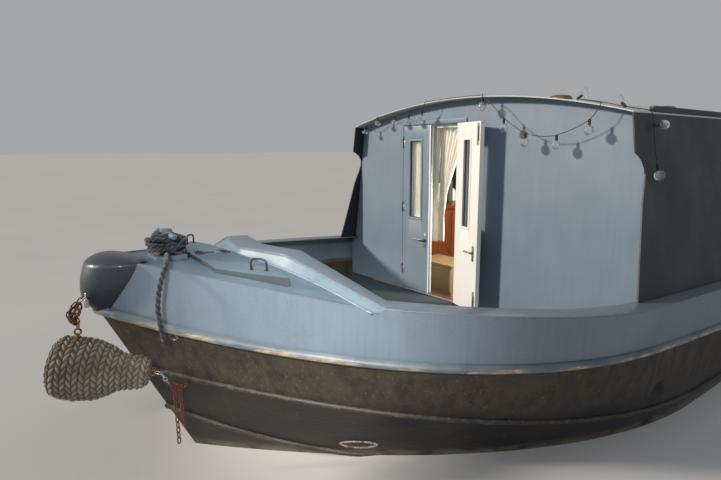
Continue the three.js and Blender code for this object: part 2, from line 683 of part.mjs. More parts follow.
function teeStud(x, y, z, height = 235) {
  return join(
    box(x - 95, x + 95, y - 95, y + 95, z - 40, z + 12),
    rod(V(x, y, z + 6), V(x, y, z + height), 38),
    rod(V(x, y - 165, z + height - 32), V(x, y + 165, z + height - 32), 19),
  );
}

// Cabin

const sideY = (z) => ROOF_HALF_WIDTH + TUMBLEHOME * (ROOF_EDGE_Z - z);
const WINDOWS = [
  { x: 1350, width: 1000 }, { x: -500, width: 1000 }, { x: -2350, width: 1000 }, { x: -4000, width: 700 },
];
const WINDOW_LOW = SILL_Z + 820;
const WINDOW_HIGH = SILL_Z + 1340;
const HOOD_X = BULKHEAD_X + HOOD;
const CABIN_AFT_X = REAR_X - 60;
// Front edge of the cabin side: ahead of the bulkhead, height above the sill
const SIDE_FRONT = [
  [222, 480], [167, 693], [110, 950], [77, 1106], [28, 1241], [8, 1310], [12, 1352], [41, 1401], [91, 1436], [135, 1457], [129, 1700],
];
const ROOF_RADIUS = (ROOF_HALF_WIDTH ** 2 + ROOF_RISE ** 2) / (2 * ROOF_RISE);
const ROOF_CENTRE_Z = ROOF_EDGE_Z + ROOF_RISE - ROOF_RADIUS;
const roofZ = (y, under = 0) => ROOF_CENTRE_Z + Math.sqrt((ROOF_RADIUS - under) ** 2 - y * y);
const ROOF_THICKNESS = 50;

// Leans the upright prism of a side inwards with the tumblehome.
function leanIn(geometry) {
  const p = geometry.getAttribute('position');
  for (let i = 0; i < p.count; i++) p.setY(i, p.getY(i) + sideY(p.getZ(i)));
  return geometry;
}

function cabinSide() {
  const top = roofZ(ROOF_HALF_WIDTH - SKIN, ROOF_THICKNESS) - 1.5;
  const skinTop = roofZ(ROOF_HALF_WIDTH, SKIN) - GAP;
  const front = SIDE_FRONT.map(([x, z]) => [BULKHEAD_X + x, SILL_Z + z]);
  front[0][1] = capTop(front[0][0]) - 3;
  const footX = [CABIN_AFT_X, ...stations(LEVELS.strake).filter((x) => x > CABIN_AFT_X && x < BULKHEAD_X + 150).reverse()];
  const foot = footX.map((x) => [x, capTop(x) - 3]);
  const holes = WINDOWS.map(({ x, width }) => roundedHole(x - width / 2, x + width / 2, WINDOW_LOW, WINDOW_HIGH, 90));
  const outer = prism([...foot, ...front, [BULKHEAD_X + 129, skinTop], [CABIN_AFT_X, skinTop]], -SKIN, 0, 'side', holes);
  const liningAft = CABIN_AFT_X + WALL + 1;
  const liningFore = BULKHEAD_X - WALL;
  const liningFoot = [liningAft, ...footX.filter((x) => x > liningAft && x < liningFore), liningFore].map((x) => [x, capTop(x) + 1.5]);
  const holesToo = WINDOWS.map(({ x, width }) => roundedHole(x - width / 2, x + width / 2, WINDOW_LOW, WINDOW_HIGH, 90));
  const lining = prism([...liningFoot, [liningFore, top], [liningAft, top]], -WALL, -SKIN + 0.5, 'side', holesToo);
  return join(cut(leanIn(outer), lifted(capping(), GAP)), leanIn(lining));
}

function glazing() {
  const first = WINDOWS[0];
  const last = WINDOWS[WINDOWS.length - 1];
  const pane = prism(
    [[last.x - last.width / 2 - 60, WINDOW_LOW - 60], [first.x + first.width / 2 + 60, WINDOW_LOW - 60],
      [first.x + first.width / 2 + 60, WINDOW_HIGH + 60], [last.x - last.width / 2 - 60, WINDOW_HIGH + 60]],
    -WALL - 8, -WALL - GAP, 'side');
  return leanIn(pane);
}

function arc(radiusUnder, halfWidth, steps = 20) {
  const points = [];
  for (let i = 0; i <= steps; i++) {
    const y = THREE.MathUtils.lerp(-halfWidth, halfWidth, i / steps);
    points.push([y, roofZ(y, radiusUnder)]);
  }
  return points;
}

function roof() {
  const over = arc(0, ROOF_HALF_WIDTH);
  const hood = prism([...over, ...arc(SKIN, ROOF_HALF_WIDTH).reverse()], CABIN_AFT_X - 40, HOOD_X, 'frame');
  const deepHalf = ROOF_HALF_WIDTH - SKIN - 2;
  const deep = prism([...arc(2, deepHalf), ...arc(ROOF_THICKNESS, deepHalf).reverse()],
    CABIN_AFT_X + WALL + 1, BULKHEAD_X - WALL, 'frame');
  return join(hood, deep);
}

const RAIL_HEIGHT = 47;
const RAIL_FRONT_X = BULKHEAD_X - 190;
function roofRail() {
  const y0 = ROOF_HALF_WIDTH - 45;
  const y1 = ROOF_HALF_WIDTH - 1;
  return prism([[y0, roofZ(y0) + GAP], [y1, roofZ(y1) + GAP], [y1 - 4, ROOF_EDGE_Z + RAIL_HEIGHT], [y0, ROOF_EDGE_Z + RAIL_HEIGHT]],
    CABIN_AFT_X + 150, RAIL_FRONT_X, 'frame');
}

// Outline across the cabin between the side walls: narrow under the side deck's cap,
// full width above it, and arched under the roof.
const UNDER_CAP_HALF = 1660;
function crossSection(x, inset, low, lowHalf, underRoof) {
  const kneeZ = capTop(x) + 8;
  const under = kneeZ - 26;
  const half = sideY(kneeZ) - inset;
  const right = [[lowHalf, low], [lowHalf, under], [UNDER_CAP_HALF, under], [UNDER_CAP_HALF, kneeZ], [half, kneeZ]];
  const left = right.map(([y, z]) => [-y, z]).reverse();
  return [...right, ...arc(underRoof, ROOF_HALF_WIDTH - inset).reverse(), ...left];
}

// Front doorway, seen from ahead: y to starboard is negative
const DOORWAY = { low: SILL_Z, high: SILL_Z + 1765, starboard: -904, port: -12 };
const LEAF_WIDTH = 398;
const LEAF_LOW = SILL_Z + 24;
const LEAF_TOP = SILL_Z + 1715;
const LEAF_THICKNESS = 40;
const HINGE_PORT_Y = -57;
const HINGE_STARBOARD_Y = -861;
const HINGE_X = BULKHEAD_X + 20;
const LEAF_OPEN = THREE.MathUtils.degToRad(161.5);

const CURTAIN = { x: BULKHEAD_X - WALL - 60, deep: 30, top: SILL_Z + 1735 };

const rectangle = (a0, a1, b0, b1) => [[a0, b0], [a1, b0], [a1, b1], [a0, b1]];
const hole = (points) => new THREE.Path(points.map(([a, b]) => new THREE.Vector2(a, b)));

function frontBulkhead() {
  const outline = crossSection(BULKHEAD_X, SKIN + GAP, SILL_Z + GAP, 1780, SKIN + 1);
  const body = prism(outline, BULKHEAD_X - WALL + GAP, BULKHEAD_X, 'frame');
  const open = cut(body, box(BULKHEAD_X - 200, BULKHEAD_X + 100, DOORWAY.starboard, DOORWAY.port, SILL_Z - 50, DOORWAY.high));
  const poleZ = CURTAIN.top + GAP + 8;
  const brackets = [DOORWAY.starboard - 30, DOORWAY.port + 30].map((y) =>
    rod(V(CURTAIN.x, y, poleZ), V(BULKHEAD_X - WALL + 5, y, poleZ), 8, 8, 8));
  const pole = rod(V(CURTAIN.x, DOORWAY.starboard - 45, poleZ), V(CURTAIN.x, DOORWAY.port + 45, poleZ), 8, 8, 8);
  return join(open, pole, ...brackets);
}

function doorFrame(x0, x1, doorway) {
  const outline = rectangle(doorway.starboard + GAP, doorway.port - GAP, doorway.low + GAP, doorway.high - GAP);
  const opening = hole(rectangle(doorway.starboard + 42, doorway.port - 42, doorway.low + 18, doorway.high - 44));
  return join(
    prism(outline, x0, x1, 'frame', [opening]),
    ...fixedKnuckles(HINGE_X, HINGE_PORT_Y, -1, LEAF_LOW, LEAF_TOP),
    ...fixedKnuckles(HINGE_X, HINGE_STARBOARD_Y, 1, LEAF_LOW, LEAF_TOP),
  );
}

// Door leaf in its own frame: the hinge pin is the origin, the closed leaf runs along
// 'reach' times Y, its outer face 8 mm inside the pin line.
function leafGeometry(reach, low, high, outward = 1) {
  const y0 = 3;
  const y1 = LEAF_WIDTH;
  const window = hole(rectangle(130, 268, high - 1090, high - 180).map(([a, b]) => [reach * a, b]));
  const outline = rectangle(reach * y0, reach * y1, low, high);
  const x0 = outward > 0 ? -8 - LEAF_THICKNESS : 8;
  const leaf = prism(outline, x0, x0 + LEAF_THICKNESS, 'frame', [window]);
  const knuckles = [low + 180, (low + high) / 2, high - 180].map((z) => join(
    rod(V(0, 0, z - 35), V(0, 0, z + 35), 6, 6, 10),
    box(outward > 0 ? -10 : 0, outward > 0 ? 0 : 10, Math.min(0, reach * 30), Math.max(0, reach * 30), z - 35, z + 35),
  ));
  const lever = join(
    rod(V(outward * -9, reach * (y1 - 60), high - 1140), V(outward * 48, reach * (y1 - 60), high - 1140), 11, 11, 10),
    rod(V(outward * 40, reach * (y1 - 60), high - 1140), V(outward * 40, reach * (y1 - 190), high - 1140), 9, 9, 10),
  );
  return join(leaf, ...knuckles, lever);
}

// Knuckles that stay on the frame, just above each of the leaf's own.
function fixedKnuckles(x, y, reach, low, high, outward = 1) {
  const back = 22;
  return [low + 180, (low + high) / 2, high - 180].map((z) => join(
    rod(V(x, y, z + 35 + GAP), V(x, y, z + 75), 6, 6, 10),
    box(outward > 0 ? x - back : x, outward > 0 ? x : x + back, Math.min(y, y - reach * 24), Math.max(y, y - reach * 24), z + 40, z + 70),
  ));
}

function leafGlass(reach, high, outward = 1) {
  const x = outward > 0 ? -31 : 25;
  return prism(rectangle(reach * 130.5, reach * 267.5, high - 1089.5, high - 180.5), x, x + 6, 'frame');
}

function doorLeaf(name, x, y, reach, low, high, angle, outward, material) {
  const pivot = new THREE.Group();
  pivot.position.set(x, y, 0);
  pivot.rotation.z = angle;
  addMesh(name, leafGeometry(reach, low, high, outward), material, pivot);
  addMesh(`${name}_glass`, leafGlass(reach, high, outward), MATERIAL.glass, pivot);
  group.add(pivot);
}

// Bow fender of woven rope: a fat front, a neck and a tail towards the stem
const FENDER = [
  // along from the nose, radius
  [0, 0], [10, 60], [45, 120], [105, 168], [175, 187], [240, 178], [305, 145], [375, 108], [450, 94], [510, 84], [545, 55], [560, 0],
];
const FENDER_NOSE = V(BULKHEAD_X + 3475, 50, SILL_Z + 320);
const FENDER_TAIL = V(BULKHEAD_X + 2985, 305, SILL_Z + 235);

function bowFender() {
  const profile = FENDER.map(([s, r]) => new THREE.Vector2(r, s));
  const geometry = new THREE.LatheGeometry(profile, 20);
  const axis = FENDER_TAIL.clone().sub(FENDER_NOSE).normalize();
  geometry.applyQuaternion(new THREE.Quaternion().setFromUnitVectors(V(0, 1, 0), axis));
  geometry.translate(FENDER_NOSE.x, FENDER_NOSE.y, FENDER_NOSE.z);
  return join(geometry, lug(TOP_LUG, 60), lug(TAIL_LUG, 60));
}

// Ropes: turns wound on the stud, and the free tail that hangs over the port bow
const ROPE_RADIUS = 15;
function ropeTurns() {
  const base = foredeckZ(STUD_X, 0) + 26;
  const ring = (inside, outside, z0, z1) => {
    const round = 12;
    const profile = [[inside, z0 + round], [inside, z1 - round], [inside + round, z1], [outside - round, z1],
      [outside, z1 - round], [outside, z0 + round], [outside - round, z0], [inside + round, z0], [inside, z0 + round]];
    return new THREE.LatheGeometry(profile.map(([r, z]) => new THREE.Vector2(r, z)), 20)
      .rotateX(Math.PI / 2).translate(STUD_X, 0, 0);
  };
  return ring(39, 125, base + 6, base + 148);
}

// Cabin inside: floor, threshold step, cupboard by the door and a cross partition
function cabinFloor() {
  const half = 1770;
  return box(REAR_X + 2, BULKHEAD_X - WALL - 2, -half, half, FLOOR_Z - 20 + GAP, FLOOR_Z);
}

function doorStep() {
  return box(BULKHEAD_X - 560, BULKHEAD_X - 190, DOORWAY.starboard + 20, DOORWAY.port + 20, FLOOR_Z + GAP, SILL_Z + 290);
}

const CUPBOARD = { fore: BULKHEAD_X - 480, aft: BULKHEAD_X - 2150, deep: 560, top: SILL_Z + 790 };
function galleyCupboard() {
  const wallY = -(sideY(SILL_Z + 900) - WALL - 12);
  const carcass = box(CUPBOARD.aft, CUPBOARD.fore, wallY, wallY + CUPBOARD.deep, FLOOR_Z + GAP, CUPBOARD.top);
  const worktop = box(CUPBOARD.aft - 15, CUPBOARD.fore + 15, wallY, wallY + CUPBOARD.deep + 25, CUPBOARD.top - 1, CUPBOARD.top + 35);
  return join(carcass, worktop);
}

const PARTITION_X = BULKHEAD_X - 2900;
function partition() {
  const low = FLOOR_Z + GAP;
  const outline = crossSection(PARTITION_X, WALL + 10, low, UNDER_CAP_HALF - 10, ROOF_THICKNESS + 1);
  const body = prism(outline, PARTITION_X - 40, PARTITION_X, 'frame');
  return cut(body, box(PARTITION_X - 100, PARTITION_X + 100, -150, 550, low - 100, FLOOR_Z + 1850));
}

// Curtain gathered to the starboard side of the open half of the doorway
function doorCurtain() {
  const x = CURTAIN.x + CURTAIN.deep / 2;
  const outline = [[-455, CURTAIN.top], [-60, CURTAIN.top], [-235, SILL_Z + 1350], [-350, SILL_Z + 1050],
    [-385, SILL_Z + 820], [-375, SILL_Z + 560], [-455, SILL_Z + 560], [-455, SILL_Z + 820]];
  return prism(outline, x - CURTAIN.deep, x, 'frame');
}

// Well and aft decks
function wellDeck() {
  return common(
    blockInHull(SILL_Z - 20 + GAP, SILL_Z - 4, 50),
    box(BULKHEAD_X + 15, BULKHEAD_X + 2240, -2000, 2000, SILL_Z - 40, SILL_Z + 40),
  );
}

const ENGINE_HATCH = { fore: REAR_X - 250, aft: REAR_X - 1050, half: 520 };
const HATCH_LAP = 25;
function aftDeck() {
  const line = inner(LEVELS.strake, 50);
  const plate = common(
    planPrism(line, AFT_DECK_Z - PLATE - 5 + GAP, AFT_DECK_Z),
    box(-6990, REAR_X - 20, -2000, 2000, AFT_DECK_Z - 40, AFT_DECK_Z + 40),
  );
  const { fore, aft, half } = ENGINE_HATCH;
  const open = cut(plate, box(aft, fore, -half, half, 1000, 1400), rod(V(RUDDER_X, 0, 1000), V(RUDDER_X, 0, 1500), RUDDER_TUBE_R));
  const z = AFT_DECK_Z + GAP + 14;
  const knuckles = [-1, 1].flatMap((side) => [fore - 130, aft + 130].flatMap((x) => {
    const y = side * (half + HATCH_LAP);
    return [
      rod(V(x + 50 + GAP, y, z), V(x + 90, y, z), 13, 13, 12),
      box(x + 55, x + 85, y - 10, y + 10, AFT_DECK_Z - 2, z),
    ];
  }));
  return join(open, ...knuckles);
}

// One of the two leaves over the engine, hinged along its outer edge.
function engineHatchLeaf(side) {
  const { fore, aft, half } = ENGINE_HATCH;
  const z = AFT_DECK_Z + GAP;
  const hingeY = half + HATCH_LAP;
  const across = (a, b) => [Math.min(side * a, side * b), Math.max(side * a, side * b)];
  const lid = box(aft - HATCH_LAP, fore + HATCH_LAP, ...across(3, hingeY - 16), z, z + 12);
  const gripX = aft + 120;
  const gripY = side * 70;
  const grip = join(
    rod(V(gripX - 60, gripY, z + 6), V(gripX - 60, gripY, z + 52), 7, 7, 8),
    rod(V(gripX + 60, gripY, z + 6), V(gripX + 60, gripY, z + 52), 7, 7, 8),
    rod(V(gripX - 67, gripY, z + 50), V(gripX + 67, gripY, z + 50), 7, 7, 8),
  );
  const hinges = [fore - 130, aft + 130].flatMap((x) => [
    rod(V(x - 50, side * hingeY, z + 14), V(x + 50, side * hingeY, z + 14), 13, 13, 12),
    box(x - 30, x + 30, ...across(hingeY, hingeY - 90), z + 8, z + 18),
  ]);
  return join(lid, grip, ...hinges);
}

function engine() {
  return box(-5850, -5150, -290, 290, ENGINE_BED_Z + GAP, 960);
}

function rearBulkhead() {
  const outline = crossSection(CABIN_AFT_X, SKIN + GAP, AFT_DECK_Z + GAP, 1780, SKIN + 1);
  const body = prism(outline, CABIN_AFT_X, CABIN_AFT_X + WALL - GAP, 'frame');
  const { half, low, high, hingeX, hingeY } = REAR_DOORWAY;
  return join(
    cut(body, box(CABIN_AFT_X - 100, REAR_X + 100, -half, half, low, high)),
    ...[-1, 1].flatMap((side) => fixedKnuckles(hingeX, side * hingeY, -side, low + 8, high - 8, -1)),
  );
}

const REAR_DOORWAY = { half: 446, low: AFT_DECK_Z + 40, high: AFT_DECK_Z + 1690, hingeX: CABIN_AFT_X - 20, hingeY: 440 };

function tiller() {
  const top = AFT_DECK_Z + 430;
  const neck = bentTube([
    V(RUDDER_X, 0, top - 60), V(RUDDER_X + 10, 0, top + 40), V(RUDDER_X + 90, 0, top + 170),
    V(RUDDER_X + 300, 0, top + 300), V(RUDDER_X + 620, 0, top + 370), V(RUDDER_X + 980, 0, top + 380),
  ], 21, 2, 8);
  const gripTube = rod(V(RUDDER_X + 960, 0, top + 380), V(RUDDER_X + 1180, 0, top + 384), 26, 22, 14);
  return join(neck, gripTube);
}

function rudder() {
  const blade = [[RUDDER_X + 150, 90], [RUDDER_X + 150, COUNTER_Z - 60], [RUDDER_X - 480, COUNTER_Z - 60], [RUDDER_X - 510, 330], [RUDDER_X - 440, 110]];
  const plate = prism(blade, -9, 9, 'side');
  const stock = rod(V(RUDDER_X, 0, 70), V(RUDDER_X, 0, AFT_DECK_Z + 400), RUDDER_STOCK_R, RUDDER_STOCK_R, 20);
  const pintle = rod(V(RUDDER_X, 0, 18 + GAP), V(RUDDER_X, 0, 100), PINTLE_R, PINTLE_R, 16);
  return join(plate, stock, pintle, tiller());
}

function propeller() {
  const hubX = SWIM_END_X - 240;
  const shaft = rod(V(SWIM_END_X + 380, 0, SHAFT_Z), V(hubX, 0, SHAFT_Z), SHAFT_R, SHAFT_R, 20);
  const hub = rod(V(hubX - 70, 0, SHAFT_Z), V(hubX + 60, 0, SHAFT_Z), 45, 55, 20);
  const blades = [0, 1, 2, 3].map((i) => {
    const root = 40;
    const outline = [];
    for (let k = 0; k <= 14; k++) {
      const a = (Math.PI * 2 * k) / 14;
      outline.push([95 * Math.sin(a), root + (PROP_RADIUS - root) * (0.5 - 0.5 * Math.cos(a))]);
    }
    outline.pop();
    const blade = prism(outline, -6, 6, 'plan');
    blade.rotateX(Math.PI / 2);
    blade.rotateZ(THREE.MathUtils.degToRad(52));
    blade.rotateX((Math.PI / 2) * i);
    return blade.translate(hubX, 0, SHAFT_Z);
  });
  return join(shaft, hub, ...blades);
}

function sternRail() {
  const railZ = 2180;
  const insetLine = inner(LEVELS.strake, 85);
  const reach = insetLine.sternStart - insetLine.sternEnd;
  const place = (share) => {
    const a = (Math.PI / 2) * share;
    return V(insetLine.sternStart - reach * Math.cos(a), insetLine.half * Math.sin(a), railZ);
  };
  const path = [];
  for (let i = -8; i <= 8; i++) path.push(place(i / 8));
  const post = (share) => {
    const p = place(share);
    const foot = capZ(p.x) - 5;
    return join(rod(V(p.x, p.y, foot), V(p.x, p.y, railZ), 15, 15, 8), rod(V(p.x, p.y, foot), V(p.x, p.y, foot + 14), 40, 40, 10));
  };
  const whole = join(bentTube(path, 19, 1, 8), ...[-0.97, -0.62, -0.3, 0, 0.3, 0.62, 0.97].map(post));
  return cut(whole, lifted(capping(), GAP));
}

function roofVent(x, y) {
  const z = roofZ(y);
  const profile = [[0, 0], [95, 0], [95, 12], [60, 14], [60, 62], [122, 66], [112, 92], [60, 108], [0, 114]];
  return new THREE.LatheGeometry(profile.map(([r, h]) => new THREE.Vector2(r, h)), 16)
    .rotateX(Math.PI / 2).rotateX(-Math.atan2(y, ROOF_RADIUS)).translate(x, y, z + GAP);
}

// Chains of the fender: from a lug on the stem down to its top, and from its tail to a
// lug on the plating, with two loose ends beside it.
const LUG_RADIUS = 10;
const CHAIN = { bar: 8, pitch: 34, width: 12, seat: 0.6 };
const LINK_TURNS = [-90, -30, 30, 90];
const STEM_LUG = { tip: spot([3246, 34, 660]), inward: V(-0.75, -0.1, 0.66) };
const TOP_LUG = { tip: spot([3300, 136, 512]), inward: V(0.1, 0, -1) };
const TAIL_LUG = { tip: spot([2962, 317, 231]), inward: V(0.87, -0.47, 0.15) };
const HULL_LUG = { tip: spot([2752, 226, 70]), inward: V(-0.35, -1, -0.1) };
const lug = ({ tip, inward }, length) =>
  rod(tip.clone().addScaledVector(inward.clone().normalize(), length), tip, LUG_RADIUS, LUG_RADIUS, 8);
// A chain leaves its lug square to the lug's face.
const offLug = ({ tip, inward }, distance) => tip.clone().addScaledVector(inward.clone().normalize(), -distance);

// One link: a bar bent into a long ring, 'half' from its middle to the middle of its end.
function link(centre, along, across, half) {
  const bend = (CHAIN.width + CHAIN.bar) / 2;
  const flat = bend * Math.cos(THREE.MathUtils.degToRad(LINK_TURNS[2]));
  const normal = along.clone().cross(across).normalize();
  const rows = [];
  for (const end of [1, -1]) {
    for (const turn of LINK_TURNS) {
      const a = THREE.MathUtils.degToRad(turn);
      const out = along.clone().multiplyScalar(end * Math.cos(a)).addScaledVector(across, end * Math.sin(a));
      const middle = centre.clone().addScaledVector(along, end * (half - flat)).addScaledVector(out, bend);
      rows.push([[1, 0], [0, 1], [-1, 0], [0, -1]].map(([o, n]) =>
        middle.clone().addScaledVector(out, (o * CHAIN.bar) / 2).addScaledVector(normal, (n * CHAIN.bar) / 2)));
    }
  }
  return skin(rows, { closeRows: true });
}

// Links along a route, each turned a quarter against the last and resting in it.
function chain(route) {
  const curve = new THREE.CatmullRomCurve3(route);
  const length = curve.getLength();
  const reach = length - 2 * (CHAIN.bar - CHAIN.seat);
  const count = Math.max(Math.round(reach / CHAIN.pitch), 1);
  const step = reach / count;
  const links = Array.from({ length: count }, (_, i) => {
    const share = (CHAIN.bar - CHAIN.seat + (i + 0.5) * step) / length;
    const along = curve.getTangentAt(share);
    const side = along.clone().cross(Math.abs(along.x) < 0.9 ? V(1, 0.4, 0) : V(0, 1, 0)).normalize();
    const across = i % 2 ? side : side.clone().cross(along).normalize();
    return link(curve.getPointAt(share), along, across, (step + CHAIN.bar) / 2 - CHAIN.seat);
  });
  return join(...links);
}

function stemChain() {
  const taut = [offLug(STEM_LUG, GAP), offLug(STEM_LUG, 25), spot([3290, 70, 590]), offLug(TOP_LUG, 25), offLug(TOP_LUG, 2 * GAP)];
  const slack = [spot([3266, 42, 641]), spot([3304, 32, 590]), spot([3322, 78, 556]), spot([3304, 128, 542])];
  return join(chain(taut), chain(slack));
}

function tailChain() {
  const run = [offLug(TAIL_LUG, GAP), offLug(TAIL_LUG, 30), spot([2860, 285, 112]), offLug(HULL_LUG, 25), offLug(HULL_LUG, GAP)];
  const loose = [[2852, 282, 116], [2847, 284, 20], [2842, 286, -120], [2840, 286, -270]].map(spot);
  const short = [[2812, 262, 100], [2808, 272, 20], [2806, 276, -80], [2806, 277, -170]].map(spot);
  return join(chain(run), chain(loose), chain(short));
}

// Free tail of the mooring rope, over the port edge of the foredeck
const TAIL_ROUTE = [
  [2789.2, 119.2, 868], [2820, 213, 870], [2850, 300, 868], [2874, 372, 862], [2904, 420, 826], [2938, 438, 740],
  [2952, 440, 640], [2946, 440, 560], [2936, 438, 480], [2930, 436, 425],
];
function ropeTail() {
  return bentTube(TAIL_ROUTE.map(spot), ROPE_RADIUS, 2, 8);
}

// Light string along the front of the hood, over the roof and down the port side
const CABLE_RADIUS = 3;
const onRoof = (x, y, lift = 11) => [x, y, roofZ(y) - SILL_Z + lift];
const STRING_ROUTE = [
  onRoof(146, -1440, -8), [146, -1335, 1728], [146, -1120, 1813], [146, -985, 1814], [146, -846, 1816],
  [146, -640, 1822], [146, -454, 1846], onRoof(146, -420, -12), onRoof(138, -416, 12), onRoof(105, -395), onRoof(85, -80),
  onRoof(100, 235), onRoof(138, 268, 12), onRoof(147, 276, -12), [146, 371, 1850], [146, 505, 1729], [146, 715, 1607],
  [146, 850, 1578], [146, 992, 1584], [146, 1244, 1686], onRoof(147, 1312, -12), onRoof(138, 1318, 12), onRoof(105, 1300),
  onRoof(10, 1060), onRoof(-50, 1220), onRoof(50, 1440), onRoof(-60, 1500), onRoof(-85, 1540, 10), [-92, 1560, 1722],
  [-104, 1572, 1640], [-104, 1592, 1500], [-94, 1622, 1372],
];
// Lamps: index in the route, direction in which the globe points
const DOWN = [0, 0, -1];
const LAMPS = [
  [1, DOWN], [2, DOWN], [4, DOWN], [5, DOWN], [6, DOWN], [13, DOWN], [15, DOWN], [16, DOWN], [18, DOWN], [19, DOWN],
  [23, [-0.5, 0.3, 0.45]], [25, [-0.2, -0.6, 0.55]], [29, [-0.9, 0.5, 0]], [31, [0, 0.3, -1]],
];
// Lamp profile: radius, distance from the cable
const LAMP = [[0, -4], [11, -4], [11, 40], [22, 49], [25, 62], [17, 80], [0, 86]];

function lightString() {
  const cable = bentTube(STRING_ROUTE.map(spot), CABLE_RADIUS, 2, 8);
  const lamps = LAMPS.map(([i, direction]) => {
    const lamp = new THREE.LatheGeometry(LAMP.map(([r, h]) => new THREE.Vector2(r, h)), 6);
    lamp.applyQuaternion(new THREE.Quaternion().setFromUnitVectors(V(0, 1, 0), V(...direction).normalize()));
    const top = spot(STRING_ROUTE[i]);
    return lamp.translate(top.x, top.y, top.z);
  });
  return join(cable, ...lamps);
}

for (const [name, shape] of Object.entries(hullParts())) addMesh(name, shape, MATERIAL.blacking);
addMesh('topsides', topsides(), MATERIAL.blueGrey);
addMesh('rubbing_strake', strakeBar(lineOnHull(strakeZ), 60, 38, { seat: 1.5, above: V(0, 0, 1) }), MATERIAL.blueGrey);
addMesh('capping', capping(), MATERIAL.blueGrey);
addMesh('coaming', coaming(), MATERIAL.deckGrey);
addMesh('foredeck', foredeck(), MATERIAL.deckGrey);
addMesh('foredeck_hatch_port', hatchLeaf(1), MATERIAL.deckGrey);
addMesh('foredeck_hatch_starboard', hatchLeaf(-1), MATERIAL.deckGrey);
addMesh('stem_head', stemHead(), MATERIAL.blueGrey);
addMesh('tee_stud', cut(teeStud(STUD_X, 0, foredeckZ(STUD_X, 0) + 14), foredeckPlate(-GAP, 90)), MATERIAL.blackSteel);
addMesh('cabin_side_port', cabinSide(), MATERIAL.cabinGrey);
addMesh('cabin_side_starboard', mirrored(cabinSide()), MATERIAL.cabinGrey);
addMesh('glazing_port', glazing(), MATERIAL.glass);
addMesh('glazing_starboard', mirrored(glazing()), MATERIAL.glass);
addMesh('roof', roof(), MATERIAL.cream);
addMesh('roof_rail_port', roofRail(), MATERIAL.cabinGrey);
addMesh('roof_rail_starboard', mirrored(roofRail()), MATERIAL.cabinGrey);
addMesh('front_bulkhead', frontBulkhead(), MATERIAL.blueGrey);
addMesh('front_door_frame', doorFrame(BULKHEAD_X - WALL, BULKHEAD_X + 12, DOORWAY), MATERIAL.white);
doorLeaf('front_door_port', HINGE_X, HINGE_PORT_Y, -1, LEAF_LOW, LEAF_TOP, LEAF_OPEN, 1, MATERIAL.white);
doorLeaf('front_door_starboard', HINGE_X, HINGE_STARBOARD_Y, 1, LEAF_LOW, LEAF_TOP, 0, 1, MATERIAL.blueGrey);
addMesh('bow_fender', bowFender(), MATERIAL.ropeTan);
addMesh('fender_chain_stem', stemChain(), MATERIAL.rustySteel);
addMesh('fender_chain_tail', tailChain(), MATERIAL.rustySteel);
addMesh('rope_tail', ropeTail(), MATERIAL.ropeBlue);
addMesh('light_string', lightString(), MATERIAL.blackSteel);
addMesh('rope_turns', ropeTurns(), MATERIAL.ropeBlue);
addMesh('cabin_floor', cabinFloor(), MATERIAL.plainWood);
addMesh('door_step', doorStep(), MATERIAL.plainWood);
addMesh('galley_cupboard', galleyCupboard(), MATERIAL.wood);
addMesh('partition', partition(), MATERIAL.plainWood);
addMesh('door_curtain', doorCurtain(), MATERIAL.cloth);
addMesh('well_deck', wellDeck(), MATERIAL.deckGrey);
addMesh('aft_deck', aftDeck(), MATERIAL.deckGrey);
addMesh('engine_hatch_port', engineHatchLeaf(1), MATERIAL.deckGrey);
addMesh('engine_hatch_starboard', engineHatchLeaf(-1), MATERIAL.deckGrey);
addMesh('engine', engine(), MATERIAL.engineGreen);
addMesh('rear_bulkhead', rearBulkhead(), MATERIAL.cabinGrey);
doorLeaf('rear_door_port', REAR_DOORWAY.hingeX, REAR_DOORWAY.hingeY, -1, REAR_DOORWAY.low + 8, REAR_DOORWAY.high - 8, 0, -1, MATERIAL.white);
doorLeaf('rear_door_starboard', REAR_DOORWAY.hingeX, -REAR_DOORWAY.hingeY, 1, REAR_DOORWAY.low + 8, REAR_DOORWAY.high - 8, 0, -1, MATERIAL.white);
addMesh('rudder', rudder(), MATERIAL.blackSteel);
addMesh('propeller', propeller(), MATERIAL.bronze);
addMesh('stern_rail', sternRail(), MATERIAL.steel);
addMesh('stern_stud_port', cut(teeStud(STERN_STUD.x, STERN_STUD.y, AFT_DECK_Z), box(-7000, -6000, -1800, 1800, AFT_DECK_Z - 100, AFT_DECK_Z + GAP)), MATERIAL.blackSteel);
addMesh('stern_stud_starboard', cut(teeStud(STERN_STUD.x, -STERN_STUD.y, AFT_DECK_Z), box(-7000, -6000, -1800, 1800, AFT_DECK_Z - 100, AFT_DECK_Z + GAP)), MATERIAL.blackSteel);
[[2900, 0], [400, 0], [-2600, 0]].forEach(([x, y], i) => addMesh(`roof_vent_${i + 1}`, roofVent(x, y), MATERIAL.bronze));

export default group;
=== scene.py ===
"""Looks of a wide-beam steel canal houseboat with a Dutch-barge bow.

Metres, +X to the bow, +Y to port, +Z up, the flat baseplate at Z = 0.
The CAD model is the frame; finer surfaces follow the same hull lines.
"""

import json
import math

import bmesh
import bpy
import numpy as np
from bpy.props import FloatProperty, FloatVectorProperty, IntProperty, PointerProperty
from mathutils import Matrix, Vector

